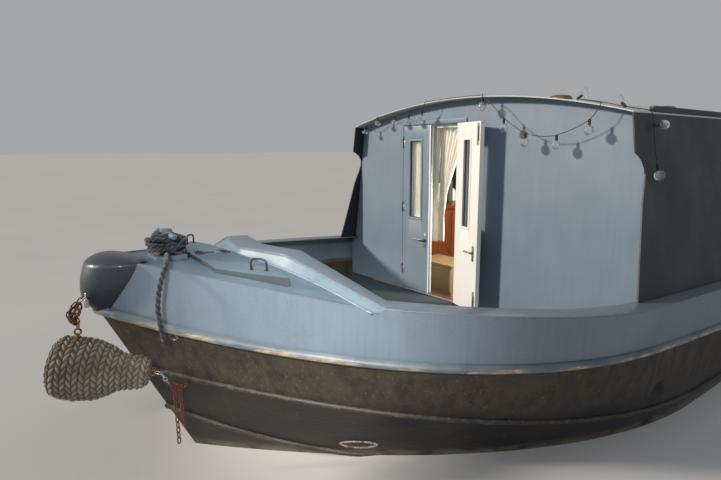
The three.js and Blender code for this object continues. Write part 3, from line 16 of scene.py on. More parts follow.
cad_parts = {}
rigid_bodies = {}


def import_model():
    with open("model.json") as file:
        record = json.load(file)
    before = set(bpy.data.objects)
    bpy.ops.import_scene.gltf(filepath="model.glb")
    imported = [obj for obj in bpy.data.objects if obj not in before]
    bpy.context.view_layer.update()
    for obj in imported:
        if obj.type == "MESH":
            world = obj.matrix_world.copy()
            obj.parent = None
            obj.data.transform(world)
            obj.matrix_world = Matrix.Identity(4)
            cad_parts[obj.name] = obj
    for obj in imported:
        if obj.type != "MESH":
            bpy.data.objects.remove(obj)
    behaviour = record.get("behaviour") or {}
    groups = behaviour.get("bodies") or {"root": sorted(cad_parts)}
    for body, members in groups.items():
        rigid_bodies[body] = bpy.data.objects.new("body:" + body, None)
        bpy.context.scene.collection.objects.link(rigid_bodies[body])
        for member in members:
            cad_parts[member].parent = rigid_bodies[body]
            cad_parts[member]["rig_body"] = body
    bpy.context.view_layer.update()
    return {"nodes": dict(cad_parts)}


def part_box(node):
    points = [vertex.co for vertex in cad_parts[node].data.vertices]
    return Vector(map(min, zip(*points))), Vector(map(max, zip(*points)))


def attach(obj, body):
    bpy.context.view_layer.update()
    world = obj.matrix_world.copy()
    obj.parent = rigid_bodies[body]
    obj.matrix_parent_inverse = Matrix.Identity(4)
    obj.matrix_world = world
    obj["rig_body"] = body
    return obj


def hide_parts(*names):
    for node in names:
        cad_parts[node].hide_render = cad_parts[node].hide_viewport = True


bl_info = {
    "name": "Steel Houseboat Dressing",
    "version": (1, 0, 0),
    "blender": (4, 5, 0),
    "location": "3D View > Sidebar > Houseboat",
    "description": "Fine surfaces and finishes over the frame of a wide-beam steel houseboat",
    "category": "Object",
}

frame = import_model()
NODES = frame["nodes"]
MIRROR = np.array([1, -1, 1])


# ---------------------------------------------------------------- colours and nodes

def linear(colour):
    """An sRGB hex colour as linear RGBA."""
    c = np.array([int(colour[i:i + 2], 16) for i in (1, 3, 5)]) / 255
    c = np.where(c <= 0.04045, c / 12.92, ((c + 0.055) / 1.055) ** 2.4)
    return (*(float(v) for v in c), 1.0)


def add(tree, kind, links=None, stops=None, **settings):
    """Adds a node with its settings; links gives inputs a value or another node's output."""
    node = tree.nodes.new(kind)
    for key, value in settings.items():
        setattr(node, key, value)
    for key, value in (links or {}).items():
        if isinstance(value, bpy.types.NodeSocket):
            tree.links.new(value, node.inputs[key])
        else:
            node.inputs[key].default_value = value
    for i, (place, colour) in enumerate(stops or ()):
        ramp = node.color_ramp.elements
        stop = ramp[i] if i < 2 else ramp.new(place)
        stop.position, stop.color = place, colour
    return node


def finish(name, build):
    """A material whose node tree is filled in by build(tree, shader)."""
    material = bpy.data.materials.new(name)
    material.use_nodes = True
    tree = material.node_tree
    shader = tree.nodes["Principled BSDF"]
    build(tree, shader)
    return material


FINISH = {}


# ---------------------------------------------------------------- surfaces

def surface(points, wrap_u=False, wrap_v=False, caps=False, material=0, **marks):
    """Quads over a grid of points[u, v]. A wrapped direction closes on itself; caps close the
    first and last rows with a fan to their middle; faces of a closed surface are turned outwards by
    the sign of its volume, the sum of a . (b x c) over its triangles. marks are per-point attributes."""
    p = np.asarray(points, float)
    n, m = p.shape[:2]
    ids = np.arange(n * m).reshape(n, m)
    across = np.hstack([ids, ids[:, :1]]) if wrap_v else ids
    net = np.vstack([across, across[:1]]) if wrap_u else across
    quads = np.stack([net[:-1, :-1], net[1:, :-1], net[1:, 1:], net[:-1, 1:]], -1).reshape(-1, 4)
    verts = p.reshape(-1, 3)
    marks = {key: np.broadcast_to(value, (n, m)).reshape(-1) for key, value in marks.items()}
    tris = np.zeros((0, 3), int)
    if caps:
        low, high = across[0], across[-1]
        middle = np.array([p[0].mean(0), p[-1].mean(0)])
        a, b = len(verts), len(verts) + 1
        verts = np.vstack([verts, middle])
        tris = np.vstack([xyz(low[:-1], low[1:], a), xyz(high[1:], high[:-1], b)])
        marks = {key: np.append(value, [value[0], value[-1]]) for key, value in marks.items()}
    if caps or wrap_u or wrap_v:
        fans = (verts[quads[:, :3]], verts[quads[:, [0, 2, 3]]], verts[tris])
        volume = sum(np.einsum("ij,ij->i", f[:, 0], np.cross(f[:, 1], f[:, 2])).sum() for f in fans)
        if volume < 0:
            quads, tris = quads[:, ::-1], tris[:, ::-1]
    return {"verts": verts, "quads": quads, "tris": tris, "material": material, "marks": marks}


def skin(rings, material=0):
    """Closed surface over rings stacked along a form, with a cap at both ends."""
    return surface(np.stack(list(rings)), wrap_v=True, caps=True, material=material)


def make(name, parts, finishes, body="boat", stands_for=(), crease=35.0, merge=2e-6):
    """One object from several surfaces, merged where they meet, riding on a body. finishes are the short
    names of its materials, in the order of the surfaces' material numbers."""
    offset, verts, faces, slots = 0, [], [], []
    for part in parts:
        verts.append(part["verts"])
        for key in ("quads", "tris"):
            faces.extend((part[key] + offset).tolist())
            slots.append(np.full(len(part[key]), part["material"]))
        offset += len(part["verts"])
    mesh = bpy.data.meshes.new(name)
    mesh.from_pydata(np.vstack(verts), [], faces)
    mesh.polygons.foreach_set("material_index", np.concatenate(slots).astype(np.int32))
    mesh.polygons.foreach_set("use_smooth", np.ones(len(mesh.polygons), bool))
    for key in {key for part in parts for key in part["marks"]}:
        values = np.concatenate([
            part["marks"].get(key, np.zeros(len(part["verts"]))) for part in parts]).astype(np.float32)
        mesh.attributes.new(key, "FLOAT", "POINT").data.foreach_set("value", values)
    work = bmesh.new()
    work.from_mesh(mesh)
    bmesh.ops.remove_doubles(work, verts=work.verts, dist=merge)
    work.to_mesh(mesh)
    work.free()
    mesh.update()
    mesh.set_sharp_from_angle(angle=math.radians(crease))
    piece = bpy.data.objects.new(name, mesh)
    bpy.context.scene.collection.objects.link(piece)
    for finish_name in finishes:
        mesh.materials.append(FINISH[finish_name])
    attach(piece, body)
    if stands_for:
        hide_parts(*stands_for)
    return piece


def dress(node, finish_name):
    """Gives a CAD node its finish."""
    mesh = NODES[node].data
    mesh.materials.clear()
    mesh.materials.append(FINISH[finish_name])


def unit(v):
    """Vectors scaled to length one."""
    return v / np.maximum(np.linalg.norm(v, axis=-1, keepdims=True), 1e-12)


def angles(count):
    """Angles of points spaced evenly round a ring."""
    return np.linspace(0, 2 * np.pi, count, endpoint=False)


def distances(path):
    """Distance of each point of a path from its start, along it."""
    return np.append(0, np.cumsum(np.linalg.norm(np.diff(path, axis=0), axis=1)))


def xyz(x, y, z):
    """Points from their three coordinates."""
    return np.stack(np.broadcast_arrays(x, y, z), -1)


def spline(points, per_span=16):
    """Smooth curve through points: cubic spans whose knots are the square roots of the chords."""
    p = np.asarray(points, float)
    p = np.vstack([2 * p[0] - p[1], p, 2 * p[-1] - p[-2]])
    knots = np.maximum(np.linalg.norm(np.diff(p, axis=0), axis=1), 1e-6) ** 0.5
    d0, d1, d2 = (knots[i:len(p) - 3 + i, None] for i in range(3))
    p0, p1, p2, p3 = (p[i:len(p) - 3 + i] for i in range(4))
    t1 = ((p1 - p0) / d0 - (p2 - p0) / (d0 + d1) + (p2 - p1) / d1) * d1
    t2 = ((p2 - p1) / d1 - (p3 - p1) / (d1 + d2) + (p3 - p2) / d2) * d1
    s = (np.arange(per_span) / per_span)[None, :, None]
    p1, p2, t1, t2 = (a[:, None, :] for a in (p1, p2, t1, t2))
    curve = (p1 + s * t1 + (3 * (p2 - p1) - 2 * t1 - t2) * s ** 2 + (2 * (p1 - p2) + t1 + t2) * s ** 3)
    return np.vstack([curve.reshape(-1, 3), p[-2]])


def even(path, step):
    """The same path with points at an even step along it."""
    s = distances(path)
    want = np.linspace(0, s[-1], max(int(round(s[-1] / step)), 2) + 1)
    return np.stack([np.interp(want, s, path[:, k]) for k in range(3)], -1)


def frames(path, closed=False):
    """Two directions square to a path at each point, each turned from the last by the least angle."""
    ahead = np.roll(path, -1, 0) - np.roll(path, 1, 0) if closed else np.gradient(path, axis=0)
    t = unit(ahead)
    side = np.zeros_like(t)
    start = np.array([0, 0, 1.0]) if abs(t[0, 2]) < 0.9 else np.array([1.0, 0, 0])
    side[0] = unit(np.cross(t[0], start))
    for i in range(1, len(t)):
        side[i] = side[i - 1] - t[i] * np.dot(side[i - 1], t[i])
    side = unit(side)
    return t, side, np.cross(t, side)


def tube(path, radius, sides=12, caps=True, closed=False, material=0, turn=0.0, **marks):
    """Ring of points carried along a path: middle + r (cos a side + sin a up). radius is one number,
    one for each point of the path, or one for each point of the ring at each point of the path."""
    path = np.asarray(path, float)
    _, side, up = frames(path, closed)
    a = angles(sides)[None, :] + turn
    r = np.asarray(radius, float)
    r = r[..., None] if r.ndim == 1 else r
    r = np.broadcast_to(r, (len(path), sides))
    ring = (path[:, None] + (r * np.cos(a))[..., None] * side[:, None]
            + (r * np.sin(a))[..., None] * up[:, None])
    return surface(ring, wrap_u=closed, wrap_v=True, caps=caps and not closed, material=material, **marks)


def laid_rope(path, radius, lay, sides=20, material=0):
    """Three strands laid up: the edge of three touching circles, turned once for each lay of length."""
    path = even(np.asarray(path), 0.005)
    s = distances(path)
    a = angles(sides)
    turn = (a[None, :] + 2 * np.pi * s[:, None] / lay) % (2 * np.pi / 3) - np.pi / 3
    strand, centre = 0.4641 * radius, 0.5359 * radius
    inside = np.maximum(strand ** 2 - (centre * np.sin(turn)) ** 2, 0)
    r = np.maximum(centre * np.cos(turn) + np.sqrt(inside), 0.5 * radius)
    groove = np.clip((r / radius - 0.5) / 0.5, 0, 1)
    ends = np.clip(np.minimum(s, s[-1] - s) / (0.6 * radius), 0.25, 1)[:, None] ** 0.5
    return tube(path, r * ends, sides, material=material, proud=groove)


def lathe(profile, centre, axis=(0, 0, 1), sides=48, material=0, closed=False, **marks):
    """Profile of radius and height turned round an axis."""
    profile = np.asarray(profile, float)
    z = unit(np.asarray(axis, float))
    x = unit(np.cross(z, [0, 1, 0] if abs(z[1]) < 0.9 else [1, 0, 0]))
    y = np.cross(z, x)
    a = angles(sides)
    out = np.cos(a)[:, None] * x + np.sin(a)[:, None] * y
    points = np.asarray(centre) + profile[:, None, :1] * out[None] + profile[:, None, 1:] * z
    return surface(points, wrap_u=closed, wrap_v=True, material=material, **marks)


def rounded(corners, radius, steps=4):
    """Outline with its corners rounded: each corner becomes an arc of that radius."""
    c = np.asarray(corners, float)
    before, after = unit(np.roll(c, 1, 0) - c), unit(np.roll(c, -1, 0) - c)
    half = np.arccos(np.clip((before * after).sum(-1), -1, 1)) / 2
    reach = radius / np.tan(half)
    centre = c + unit(before + after) * (radius / np.sin(half))[:, None]
    a, b = c + before * reach[:, None] - centre, c + after * reach[:, None] - centre
    s = np.linspace(0, 1, steps + 1)[None, :, None]
    arc = unit(a[:, None] * (1 - s) + b[:, None] * s) * radius + centre[:, None]
    return arc.reshape(-1, c.shape[1])


def block(low, high, bevel=0.003, material=0, steps=3):
    """Box with rounded edges: rounded plan outline, drawn in by an arc at its top and bottom."""
    low, high = np.asarray(low, float), np.asarray(high, float)
    low, high = np.minimum(low, high), np.maximum(low, high)
    r = min(bevel, 0.49 * float((high - low).min()))
    a = np.linspace(0, np.pi / 2, steps + 1)
    inset = np.concatenate([[0.5 * float((high - low)[:2].min()) * 0.98], r * (1 - np.sin(a)),
                            r * (1 - np.cos(a))])
    z = np.concatenate([[low[2]], low[2] + r * (1 - np.cos(a)), high[2] - r + r * np.sin(a)])
    inset = np.append(inset, inset[0])
    z = np.append(z, high[2])
    corners = np.array([[low[0], low[1]], [high[0], low[1]], [high[0], high[1]], [low[0], high[1]]])
    middle = corners.mean(0)
    rows = []
    for d, h in zip(inset, z):
        size = np.maximum((high - low)[:2] - 2 * d, 1e-5)
        box = middle + (corners - middle) / np.maximum((high - low)[:2], 1e-9) * size
        ring = rounded(box, min(max(r - 0.3 * d, 1e-4), 0.45 * float(size.min())), 3)
        rows.append(np.column_stack([ring, np.full(len(ring), h)]))
    return skin(rows, material)


def moved(part, matrix):
    """The same surface carried by a 4 x 4 matrix."""
    m = np.asarray(matrix, float)
    return {**part, "verts": part["verts"] @ m[:3, :3].T + m[:3, 3]}


def flipped(part):
    """The same surface on the other side of the boat, its faces turned back outwards."""
    return {**part, "verts": part["verts"] * MIRROR, "quads": part["quads"][:, ::-1],
            "tris": part["tris"][:, ::-1]}


def handed(parts, side):
    """Port surfaces as they are (side = 1), or as their mirror images to starboard (side = -1)."""
    return parts if side > 0 else [flipped(part) for part in parts]


def both_hands(parts):
    """Port surfaces with their mirror images to starboard."""
    return parts + handed(parts, -1)


def face_up(part, way):
    """Turns the quads so that their normals rise (way = 1) or fall (way = -1) on the whole."""
    a, b, c = (part["verts"][part["quads"][:, k]] for k in range(3))
    if np.cross(b - a, c - a)[:, 2].sum() * way < 0:
        part["quads"] = part["quads"][:, ::-1]


# ---------------------------------------------------------------- hull lines

BULKHEAD_X = 4.337
SILL_Z = 1.150
WATER_Z = 0.680
REAR_X = -4.963
FOOT_X = BULKHEAD_X + 1.980
CAP_WIDTH = 0.170
CAP_PLATE = 0.010
CAP_JOINTS = (5.02, 1.9, -1.3, -4.4)
STRAKE = {"base": 0.169, "slope": 0.0765, "aft": 0.0065, "fore": -0.0208, "cube": 0.0117}
THIRD_END_X = BULKHEAD_X + 1.72


def sheer(x, base, slope, aft, fore, cube):
    """Height of a line over the bulkhead: base + slope s + a square term aft, a square and a cube ahead."""
    s = np.asarray(x, float) - BULKHEAD_X
    f, a = np.maximum(s, 0), np.minimum(s, 0)
    return SILL_Z + base + slope * s + aft * a * a + fore * f * f + cube * f ** 3


def rising(x, start, base, slope, curl):
    """Level line that rises from a start: base + slope u + curl u squared."""
    u = np.maximum(np.asarray(x, float) - BULKHEAD_X - start, 0)
    return SILL_Z + base + slope * u + curl * u * u


def cap_z(x):
    return sheer(x, 0.452, 0.049, 0.0035, 0.0306, -0.0039)


def strake_z(x):
    return sheer(x, **STRAKE)


def second_z(x):
    return rising(x, -1.4, -0.39, 0.0105, 0.0274)


def third_z(x):
    return rising(x, 1.62, -0.48, 0.05, 0.2)


def deck_edge_z(x):
    s = np.asarray(x, float) - BULKHEAD_X - 2
    return SILL_Z + 0.6008 + 0.2898 * s - 0.0428 * s * s


# Levels of the hull: height, half beam, bow start, end and power, stern start, end, power and root.
LEVELS = {
    "base": (0.0, 1.640, 3.200, 6.560, 2.0, -3.900, -6.250, 1.7, 1.0),
    "chine": (0.140, 1.720, 3.300, 6.640, 2.0, -3.900, -6.250, 1.8, 1.0),
    "swim": (0.560, 1.783, 3.640, 6.900, 2.05, -4.100, -6.250, 2.0, 1.0),
    "counter": (0.580, 1.786, 3.650, 6.912, 2.05, -6.000, -7.230, 2.0, 0.5),
    "water": (0.680, 1.800, 3.737, 6.977, 2.05, -6.000, -7.350, 2.0, 0.5),
    "strake": (None, 1.851, 4.418, 7.497, 2.194, -6.000, -7.560, 2.0, 0.5),
}
BOW_STEPS, SIDE_STEPS, STERN_STEPS = 110, 30, 44


def half_beam(x, level, inset=0.0):
    """Half beam of a level: half (1 - t^power) in the bow, half (1 - s^power)^root in the stern."""
    _, half, b0, b1, bp, s0, s1, sp, root = LEVELS[level]
    half, b1, s1 = half - inset, b1 - 1.6 * inset, s1 + inset
    x = np.asarray(x, float)
    t = np.clip((x - b0) / (b1 - b0), 0, 1)
    s = np.clip((s0 - x) / (s0 - s1), 0, 1)
    return half * (1 - t ** bp) * np.maximum(1 - s ** sp, 0) ** root


def stations(level, inset=0.0):
    """Places along a level from the stem to the stern, closer where it bends."""
    _, _, b0, b1, _, s0, s1, _, _ = LEVELS[level]
    b1, s1 = b1 - 1.6 * inset, s1 + inset
    bow = b0 + (b1 - b0) * (1 - np.arange(BOW_STEPS) / BOW_STEPS)
    side = b0 + (s0 - b0) * np.arange(SIDE_STEPS) / SIDE_STEPS
    stern = s0 + (s1 - s0) * np.sin(np.linspace(0, np.pi / 2, STERN_STEPS + 1))
    return np.concatenate([bow, side, stern])


def level_line(level, inset=0.0, z=None):
    """Port side of a level as points from the stem to the stern."""
    x = stations(level, inset)
    y = half_beam(x, level, inset)
    y[[0, -1]] = 0
    if z is None:
        z = strake_z(x) if LEVELS[level][0] is None else LEVELS[level][0]
    return xyz(x, y, z)


def on_plating(height):
    """Where a line of given height runs over the plating between the water and the strake."""
    low, high = level_line("water"), level_line("strake")
    rise = high - low
    share = np.full(len(low), 0.3)
    for _ in range(14):
        share = (height(low[:, 0] + share * rise[:, 0]) - low[:, 2]) / rise[:, 2]
    return low + share[:, None] * rise, unit(rise)


def outward(path, up):
    """Direction out of the plating: square to the path and to the way up it."""
    along = unit(np.gradient(path, axis=0))
    out = unit(np.cross(along, up))
    wrong = (out[:, 0] * path[:, 0] + out[:, 1] * path[:, 1] * 4) < 0
    return np.where(wrong[:, None], -out, out)


def level_outward(path, up):
    """Direction out of the plating, fore and aft at the stem and the stern."""
    out = outward(path, up)
    out[[0, -1], 1] = 0
    return unit(out)


ROOF_HALF, ROOF_RISE = 1.538, 0.200
ROOF_EDGE_Z = SILL_Z + 1.731
ROOF_RADIUS = (ROOF_HALF ** 2 + ROOF_RISE ** 2) / (2 * ROOF_RISE)
ROOF_CENTRE_Z = ROOF_EDGE_Z + ROOF_RISE - ROOF_RADIUS
TUMBLEHOME = 0.1413
HOOD_X = BULKHEAD_X + 0.128
CABIN_AFT_X = REAR_X - 0.060


def roof_z(y, under=0.0):
    return ROOF_CENTRE_Z + np.sqrt((ROOF_RADIUS - under) ** 2 - np.asarray(y, float) ** 2)


def side_y(z):
    return ROOF_HALF + TUMBLEHOME * (ROOF_EDGE_Z - np.asarray(z, float))


# Coaming: its middle, half width, half of the level part, top, extra rake at the sides, half of its plate.
COAMING = {"apex": BULKHEAD_X + 2.280, "half": 1.210, "level": 0.450, "top": SILL_Z + 0.840, "rake": 0.060,
           "top_half": 1.203, "foot_half": 1.172}
DECK_CAMBER = 0.113


def coaming_x(y):
    return COAMING["apex"] + (FOOT_X - COAMING["apex"]) * np.abs(y) / COAMING["half"]


def coaming_z(y):
    side = np.maximum(np.abs(y) - COAMING["level"], 0) / (COAMING["half"] - COAMING["level"])
    return COAMING["top"] + (cap_z(FOOT_X) - COAMING["top"]) * side


def foredeck_z(x, y):
    edge = half_beam(x, "strake")
    return deck_edge_z(x) + DECK_CAMBER * np.maximum(edge ** 2 - np.asarray(y, float) ** 2, 0)


def spot(points):
    """Points given ahead of the bulkhead, to port and above the sill, in millimetres."""
    return np.asarray(points, float) / 1000 + [BULKHEAD_X, 0, SILL_Z]


# ---------------------------------------------------------------- settings

def colour(code, label, about):
    """A colour setting from an sRGB hex code."""
    return FloatVectorProperty(name=label, description=about, subtype="COLOR", size=4, min=0, max=1,
                               default=linear(code))


def size(value, label, about):
    """A length setting in metres."""
    return FloatProperty(name=label, description=about, unit="LENGTH", default=value, precision=4)


class HouseboatColours(bpy.types.PropertyGroup):
    """Paints and other finishes."""
    blacking: colour("#17171a", "Blacking", "Bitumen below the rubbing strake")
    scuffed: colour("#40382f", "Scuffed plating", "Plating rubbed brown between the strakes")
    # The bulkhead takes this enamel 1.36 times lighter. That is painted light for the sun on its face; the
    # topsides take the enamel as it is.
    topside: colour("#5f7080", "Topsides", "Enamel on topsides, cap and, paler, the bulkhead")
    # Dark enamel, made darker still as painted shade on the cabin sides. The roof rails, rear bulkhead and
    # rear doors' outer faces take it too.
    side: colour("#141d2c", "Cabin side", "Dark enamel on the cabin sides")
    deck: colour("#627886", "Deck paint", "Non-slip paint on the decks")
    roof: colour("#b9bfbd", "Roof", "Pale paint of the roof")
    white: colour("#eceeea", "White enamel", "Door frame and the doors' inner faces")
    steel: colour("#a2a6a6", "Galvanised steel", "Stern rail, door furniture")
    rust: colour("#633723", "Rust", "Forged chain and worn spots")
    black_steel: colour("#25282b", "Black steel", "Studs and rudder")
    bronze: colour("#a9855a", "Brass", "Vents, propeller, knobs")
    rope_blue: colour("#262b38", "Dark blue rope", "Mooring rope")
    hemp: colour("#877c69", "Old hemp", "Fender of woven rope")
    wood: colour("#7a421f", "Stained wood", "Cupboard, threshold, tiller grip")
    plain_wood: colour("#a98e68", "Plain wood", "Floor, step, partition")
    cloth: colour("#fbf7ea", "Cream cotton", "Curtains")
    engine: colour("#3d5a4a", "Engine green", "Engine block")


class HouseboatSizes(bpy.types.PropertyGroup):
    """Sizes of the fine work."""
    proud: size(0.0060, "Skin over frame", "How far a fine surface stands off the frame's plating")
    weld: size(0.0045, "Weld bead", "Radius of a weld bead")
    cord_radius: size(0.015, "Mooring rope radius", "Half the thickness of the mooring rope")
    rope_lay: size(0.105, "Rope lay", "Length of one turn of the rope's strands")
    fender_row: size(0.030, "Fender rows", "Distance between the rows of woven rope")
    cable_radius: size(0.003, "Lamp cable radius", "Half the thickness of the lamp cable")
    lamp_radius: size(0.0245, "Lamp radius", "Half the width of a lamp globe")


# ---------------------------------------------------------------- finishes

def place(tree, stretch=(1, 1, 1)):
    """The piece's own coordinates in metres, stretched."""
    here = add(tree, "ShaderNodeTexCoord").outputs["Object"]
    return add(tree, "ShaderNodeMapping", {"Vector": here, "Scale": stretch}).outputs[0]


def noise(tree, grain, low=0.4, high=0.6, stretch=(1, 1, 1), detail=5.0, rough=0.55, warp=0.0):
    """Cloudy pattern with patches about grain metres wide, hardened between two values."""
    cloud = add(tree, "ShaderNodeTexNoise", {
        "Vector": place(tree, stretch), "Scale": 1 / grain, "Detail": detail, "Roughness": rough,
        "Distortion": warp})
    return step(tree, cloud.outputs["Fac"], low, high)


def step(tree, value, low, high, to_low=0.0, to_high=1.0):
    """Smooth step of a value between two limits."""
    return add(tree, "ShaderNodeMapRange", {
        "Value": value, "From Min": low, "From Max": high, "To Min": to_low, "To Max": to_high},
        interpolation_type="SMOOTHSTEP").outputs[0]


def blend(tree, factor, a, b, mode="MIX"):
    """Colour a turning to b with the factor."""
    return add(tree, "ShaderNodeMix", {0: factor, 6: a, 7: b}, data_type="RGBA", blend_type=mode).outputs[2]


def coats(tree, base, *layers):
    """Colours laid over a base, each through a factor that is scaled by its share."""
    for factor, share, colour in layers:
        base = blend(tree, times(tree, factor, share), base, colour)
    return base


def sums(tree, operation, a, b):
    """One arithmetic step."""
    return add(tree, "ShaderNodeMath", {0: a, 1: b}, operation=operation).outputs[0]


def times(tree, a, b):
    """Product of two values."""
    return sums(tree, "MULTIPLY", a, b)


def plus(tree, a, b):
    """Sum of two values."""
    return sums(tree, "ADD", a, b)


def relief(tree, shader, *layers):
    """Bump layers, each a height, its strength and its depth in metres."""
    normal = None
    for height, strength, depth in layers:
        links = {"Height": height, "Strength": strength, "Distance": depth}
        if normal is not None:
            links["Normal"] = normal
        normal = add(tree, "ShaderNodeBump", links).outputs[0]
    tree.links.new(normal, shader.inputs["Normal"])


def give(tree, shader, **inputs):
    """Sets or links the shader's inputs, with spaces written as underscores."""
    for key, value in inputs.items():
        socket = shader.inputs[key.replace("_", " ")]
        if isinstance(value, bpy.types.NodeSocket):
            tree.links.new(value, socket)
        else:
            socket.default_value = value


def mark(tree, name):
    """A per-point value kept on the mesh."""
    return add(tree, "ShaderNodeAttribute", attribute_name=name, attribute_type="GEOMETRY").outputs["Fac"]


def axes_of(tree):
    """The three coordinates of the place on the boat, in metres."""
    here = add(tree, "ShaderNodeTexCoord").outputs["Object"]
    return add(tree, "ShaderNodeSeparateXYZ", {0: here}).outputs


def darker(c, factor):
    """A colour with its light scaled."""
    return (*(v * factor for v in tuple(c)[:3]), 1.0)


def enamel(name, paint, wear=0.5, rough=0.3, dull=0.5, waves=0.0006, coat=0.25, rust=None):
    """Brushed enamel on steel: cloudy fading, rain streaks, fine orange peel, plates that wave a
    little in the light, chips that show rust."""
    def build(tree, shader):
        fade = noise(tree, 0.45, 0.3, 0.75)
        rain = noise(tree, 0.03, 0.42, 0.75, stretch=(1, 1, 0.09), detail=6)
        dust = noise(tree, 0.006, 0.35, 0.7, detail=3)
        base = coats(tree, tuple(paint), (fade, 0.55 * wear, darker(paint, 1.35)),
                     (rain, 0.5 * wear, darker(paint, 0.62)), (dust, 0.16 * wear, linear("#8c8577")))
        if rust is not None:
            base = coats(tree, base, (noise(tree, 0.045, 0.69, 0.73, detail=9, rough=0.7), wear,
                                      tuple(rust)))
        patchy = plus(tree, times(tree, fade, dull * 0.25), rough)
        give(tree, shader, Base_Color=base, Roughness=plus(tree, patchy, times(tree, dust, 0.12)),
             Coat_Weight=coat, Coat_Roughness=0.12, Specular_IOR_Level=0.5)
        relief(tree, shader, (noise(tree, 0.42, 0.0, 1.0, detail=1), 1.0, waves * 14),
               (noise(tree, 0.0035, 0.2, 0.8, detail=2), 0.12, 0.0006),
               (noise(tree, 0.05, 0.3, 0.7, detail=4), 0.2, waves))
    return finish(name, build)


def below_strake(tree):
    """Depth under the upper strake, from the place alone: the curve of strake_z."""
    axes = axes_of(tree)
    s = sums(tree, "SUBTRACT", axes[0], BULKHEAD_X)
    fore, aft = sums(tree, "MAXIMUM", s, 0.0), sums(tree, "MINIMUM", s, 0.0)
    bow = times(tree, times(tree, fore, fore),
                plus(tree, times(tree, fore, STRAKE["cube"]), STRAKE["fore"]))
    stern = times(tree, times(tree, aft, aft), STRAKE["aft"])
    line = plus(tree, plus(tree, times(tree, s, STRAKE["slope"]), SILL_Z + STRAKE["base"]),
                plus(tree, bow, stern))
    return sums(tree, "SUBTRACT", line, axes[2])


def blotch(tree, x, z, wide, high):
    """Ragged spot on the port side round a place: one inside, nought outside."""
    axes = axes_of(tree)
    across, up = (
        sums(tree, "POWER", sums(tree, "DIVIDE", sums(tree, "SUBTRACT", axes[k], middle), reach), 2.0)
        for k, middle, reach in ((0, x, wide), (2, z, high)))
    ragged = times(tree, noise(tree, 0.06, 0.2, 0.8, detail=8, rough=0.7), 1.6)
    inside = step(tree, plus(tree, plus(tree, across, up), ragged), 1.55, 1.75, 1.0, 0.0)
    return times(tree, inside, step(tree, axes[1], 0.0, 0.1))


# Torn dark patch on the port plating: its middle along the boat and up, half its width and half its height.
STAIN = (4.36, 0.86, 0.10, 0.20)


def hull_paint(colours):
    """Bitumen blacking brushed on the plating: rubbed brown with upright scrapes between the strakes, tarry
    below, a pale scum line at the water, rust bleeding through and one dark stain to port."""
    def build(tree, shader):
        below = below_strake(tree)
        z = axes_of(tree)[2]
        edge = plus(tree, below, times(tree, noise(tree, 0.12, 0.2, 0.8), 0.09))
        band = step(tree, edge, 0.34, 0.47, 1.0, 0.0)
        patches = noise(tree, 0.07, 0.30, 0.62, stretch=(1.0, 1.0, 0.3), detail=8, rough=0.68)
        brown = blend(tree, patches, darker(colours.scuffed, 0.42), tuple(colours.scuffed))
        scraped = noise(tree, 0.016, 0.56, 0.70, stretch=(1.0, 1.0, 0.12), detail=9, rough=0.7)
        rusty = noise(tree, 0.06, 0.60, 0.72, stretch=(0.5, 0.5, 0.8), detail=10, rough=0.75)
        brown = coats(tree, brown, (scraped, 0.38, linear("#857d6c")), (rusty, 0.8, linear("#5b321d")))
        tar = blend(tree, noise(tree, 0.2, 0.35, 0.7, stretch=(0.5, 0.5, 1), detail=6),
                    tuple(colours.blacking), linear("#2b2621"))
        lines = noise(tree, 0.02, 0.62, 0.72, stretch=(0.6, 0.6, 0.2), detail=7, rough=0.6)
        tar = coats(tree, tar, (lines, 0.35, linear("#5f5a50")))
        upper = step(tree, below, 0.0, 0.03, 1.0, 0.0)
        scum = times(tree, step(tree, z, 0.69, 0.76, 1.0, 0.0),
                     noise(tree, 0.05, 0.3, 0.6, stretch=(0.4, 0.4, 1)))
        base = coats(tree, blend(tree, band, tar, brown), (upper, 0.6, linear("#6e6a63")),
                     (scum, 0.75, linear("#6f6752")))
        base = blend(tree, step(tree, z, 0.64, 0.68, 1.0, 0.0), base, linear("#2b2c22"))
        base = blend(tree, blotch(tree, *STAIN), base, linear("#080706"))
        give(tree, shader, Base_Color=base, Specular_IOR_Level=0.45,
             Roughness=blend(tree, band, (0.36, 0.36, 0.36, 1), (0.6, 0.6, 0.6, 1)))
        relief(tree, shader, (noise(tree, 0.5, 0.0, 1.0, detail=1), 1.0, 0.008),
               (noise(tree, 0.02, 0.3, 0.7, stretch=(0.3, 0.3, 1), detail=8), 0.5, 0.0016),
               (scraped, 0.35, 0.0012))
    return finish("bitumen blacking brushed on steel plate", build)


def strake_paint():
    """Welded half-round bar: its crown scraped to bright metal and pinkish rust by lock walls, paint left
    in its edges."""
    def build(tree, shader):
        proud = mark(tree, "proud")
        worn = plus(tree, proud, times(tree, noise(tree, 0.05, 0.2, 0.8, stretch=(0.25, 0.25, 1)), 0.7))
        rubbed = step(tree, worn, 1.14, 1.42)
        base = blend(tree, noise(tree, 0.3, 0.3, 0.7), linear("#4f5963"), linear("#6b7780"))
        metal = blend(tree, noise(tree, 0.016, 0.4, 0.6, stretch=(0.3, 0.3, 1)), linear("#8f8672"),
                      linear("#b3a894"))
        metal = blend(tree, noise(tree, 0.05, 0.6, 0.66, detail=8), metal, linear("#8a5a48"))
        base = blend(tree, rubbed, base, metal)
        base = blend(tree, noise(tree, 0.09, 0.66, 0.72, detail=9, rough=0.7), base, linear("#59382a"))
        give(tree, shader, Base_Color=base, Metallic=times(tree, rubbed, 0.35), Roughness=0.45)
        relief(tree, shader, (noise(tree, 0.012, 0.3, 0.7, stretch=(0.3, 0.3, 1), detail=7), 0.5, 0.001))
    return finish("scraped half-round steel bar", build)


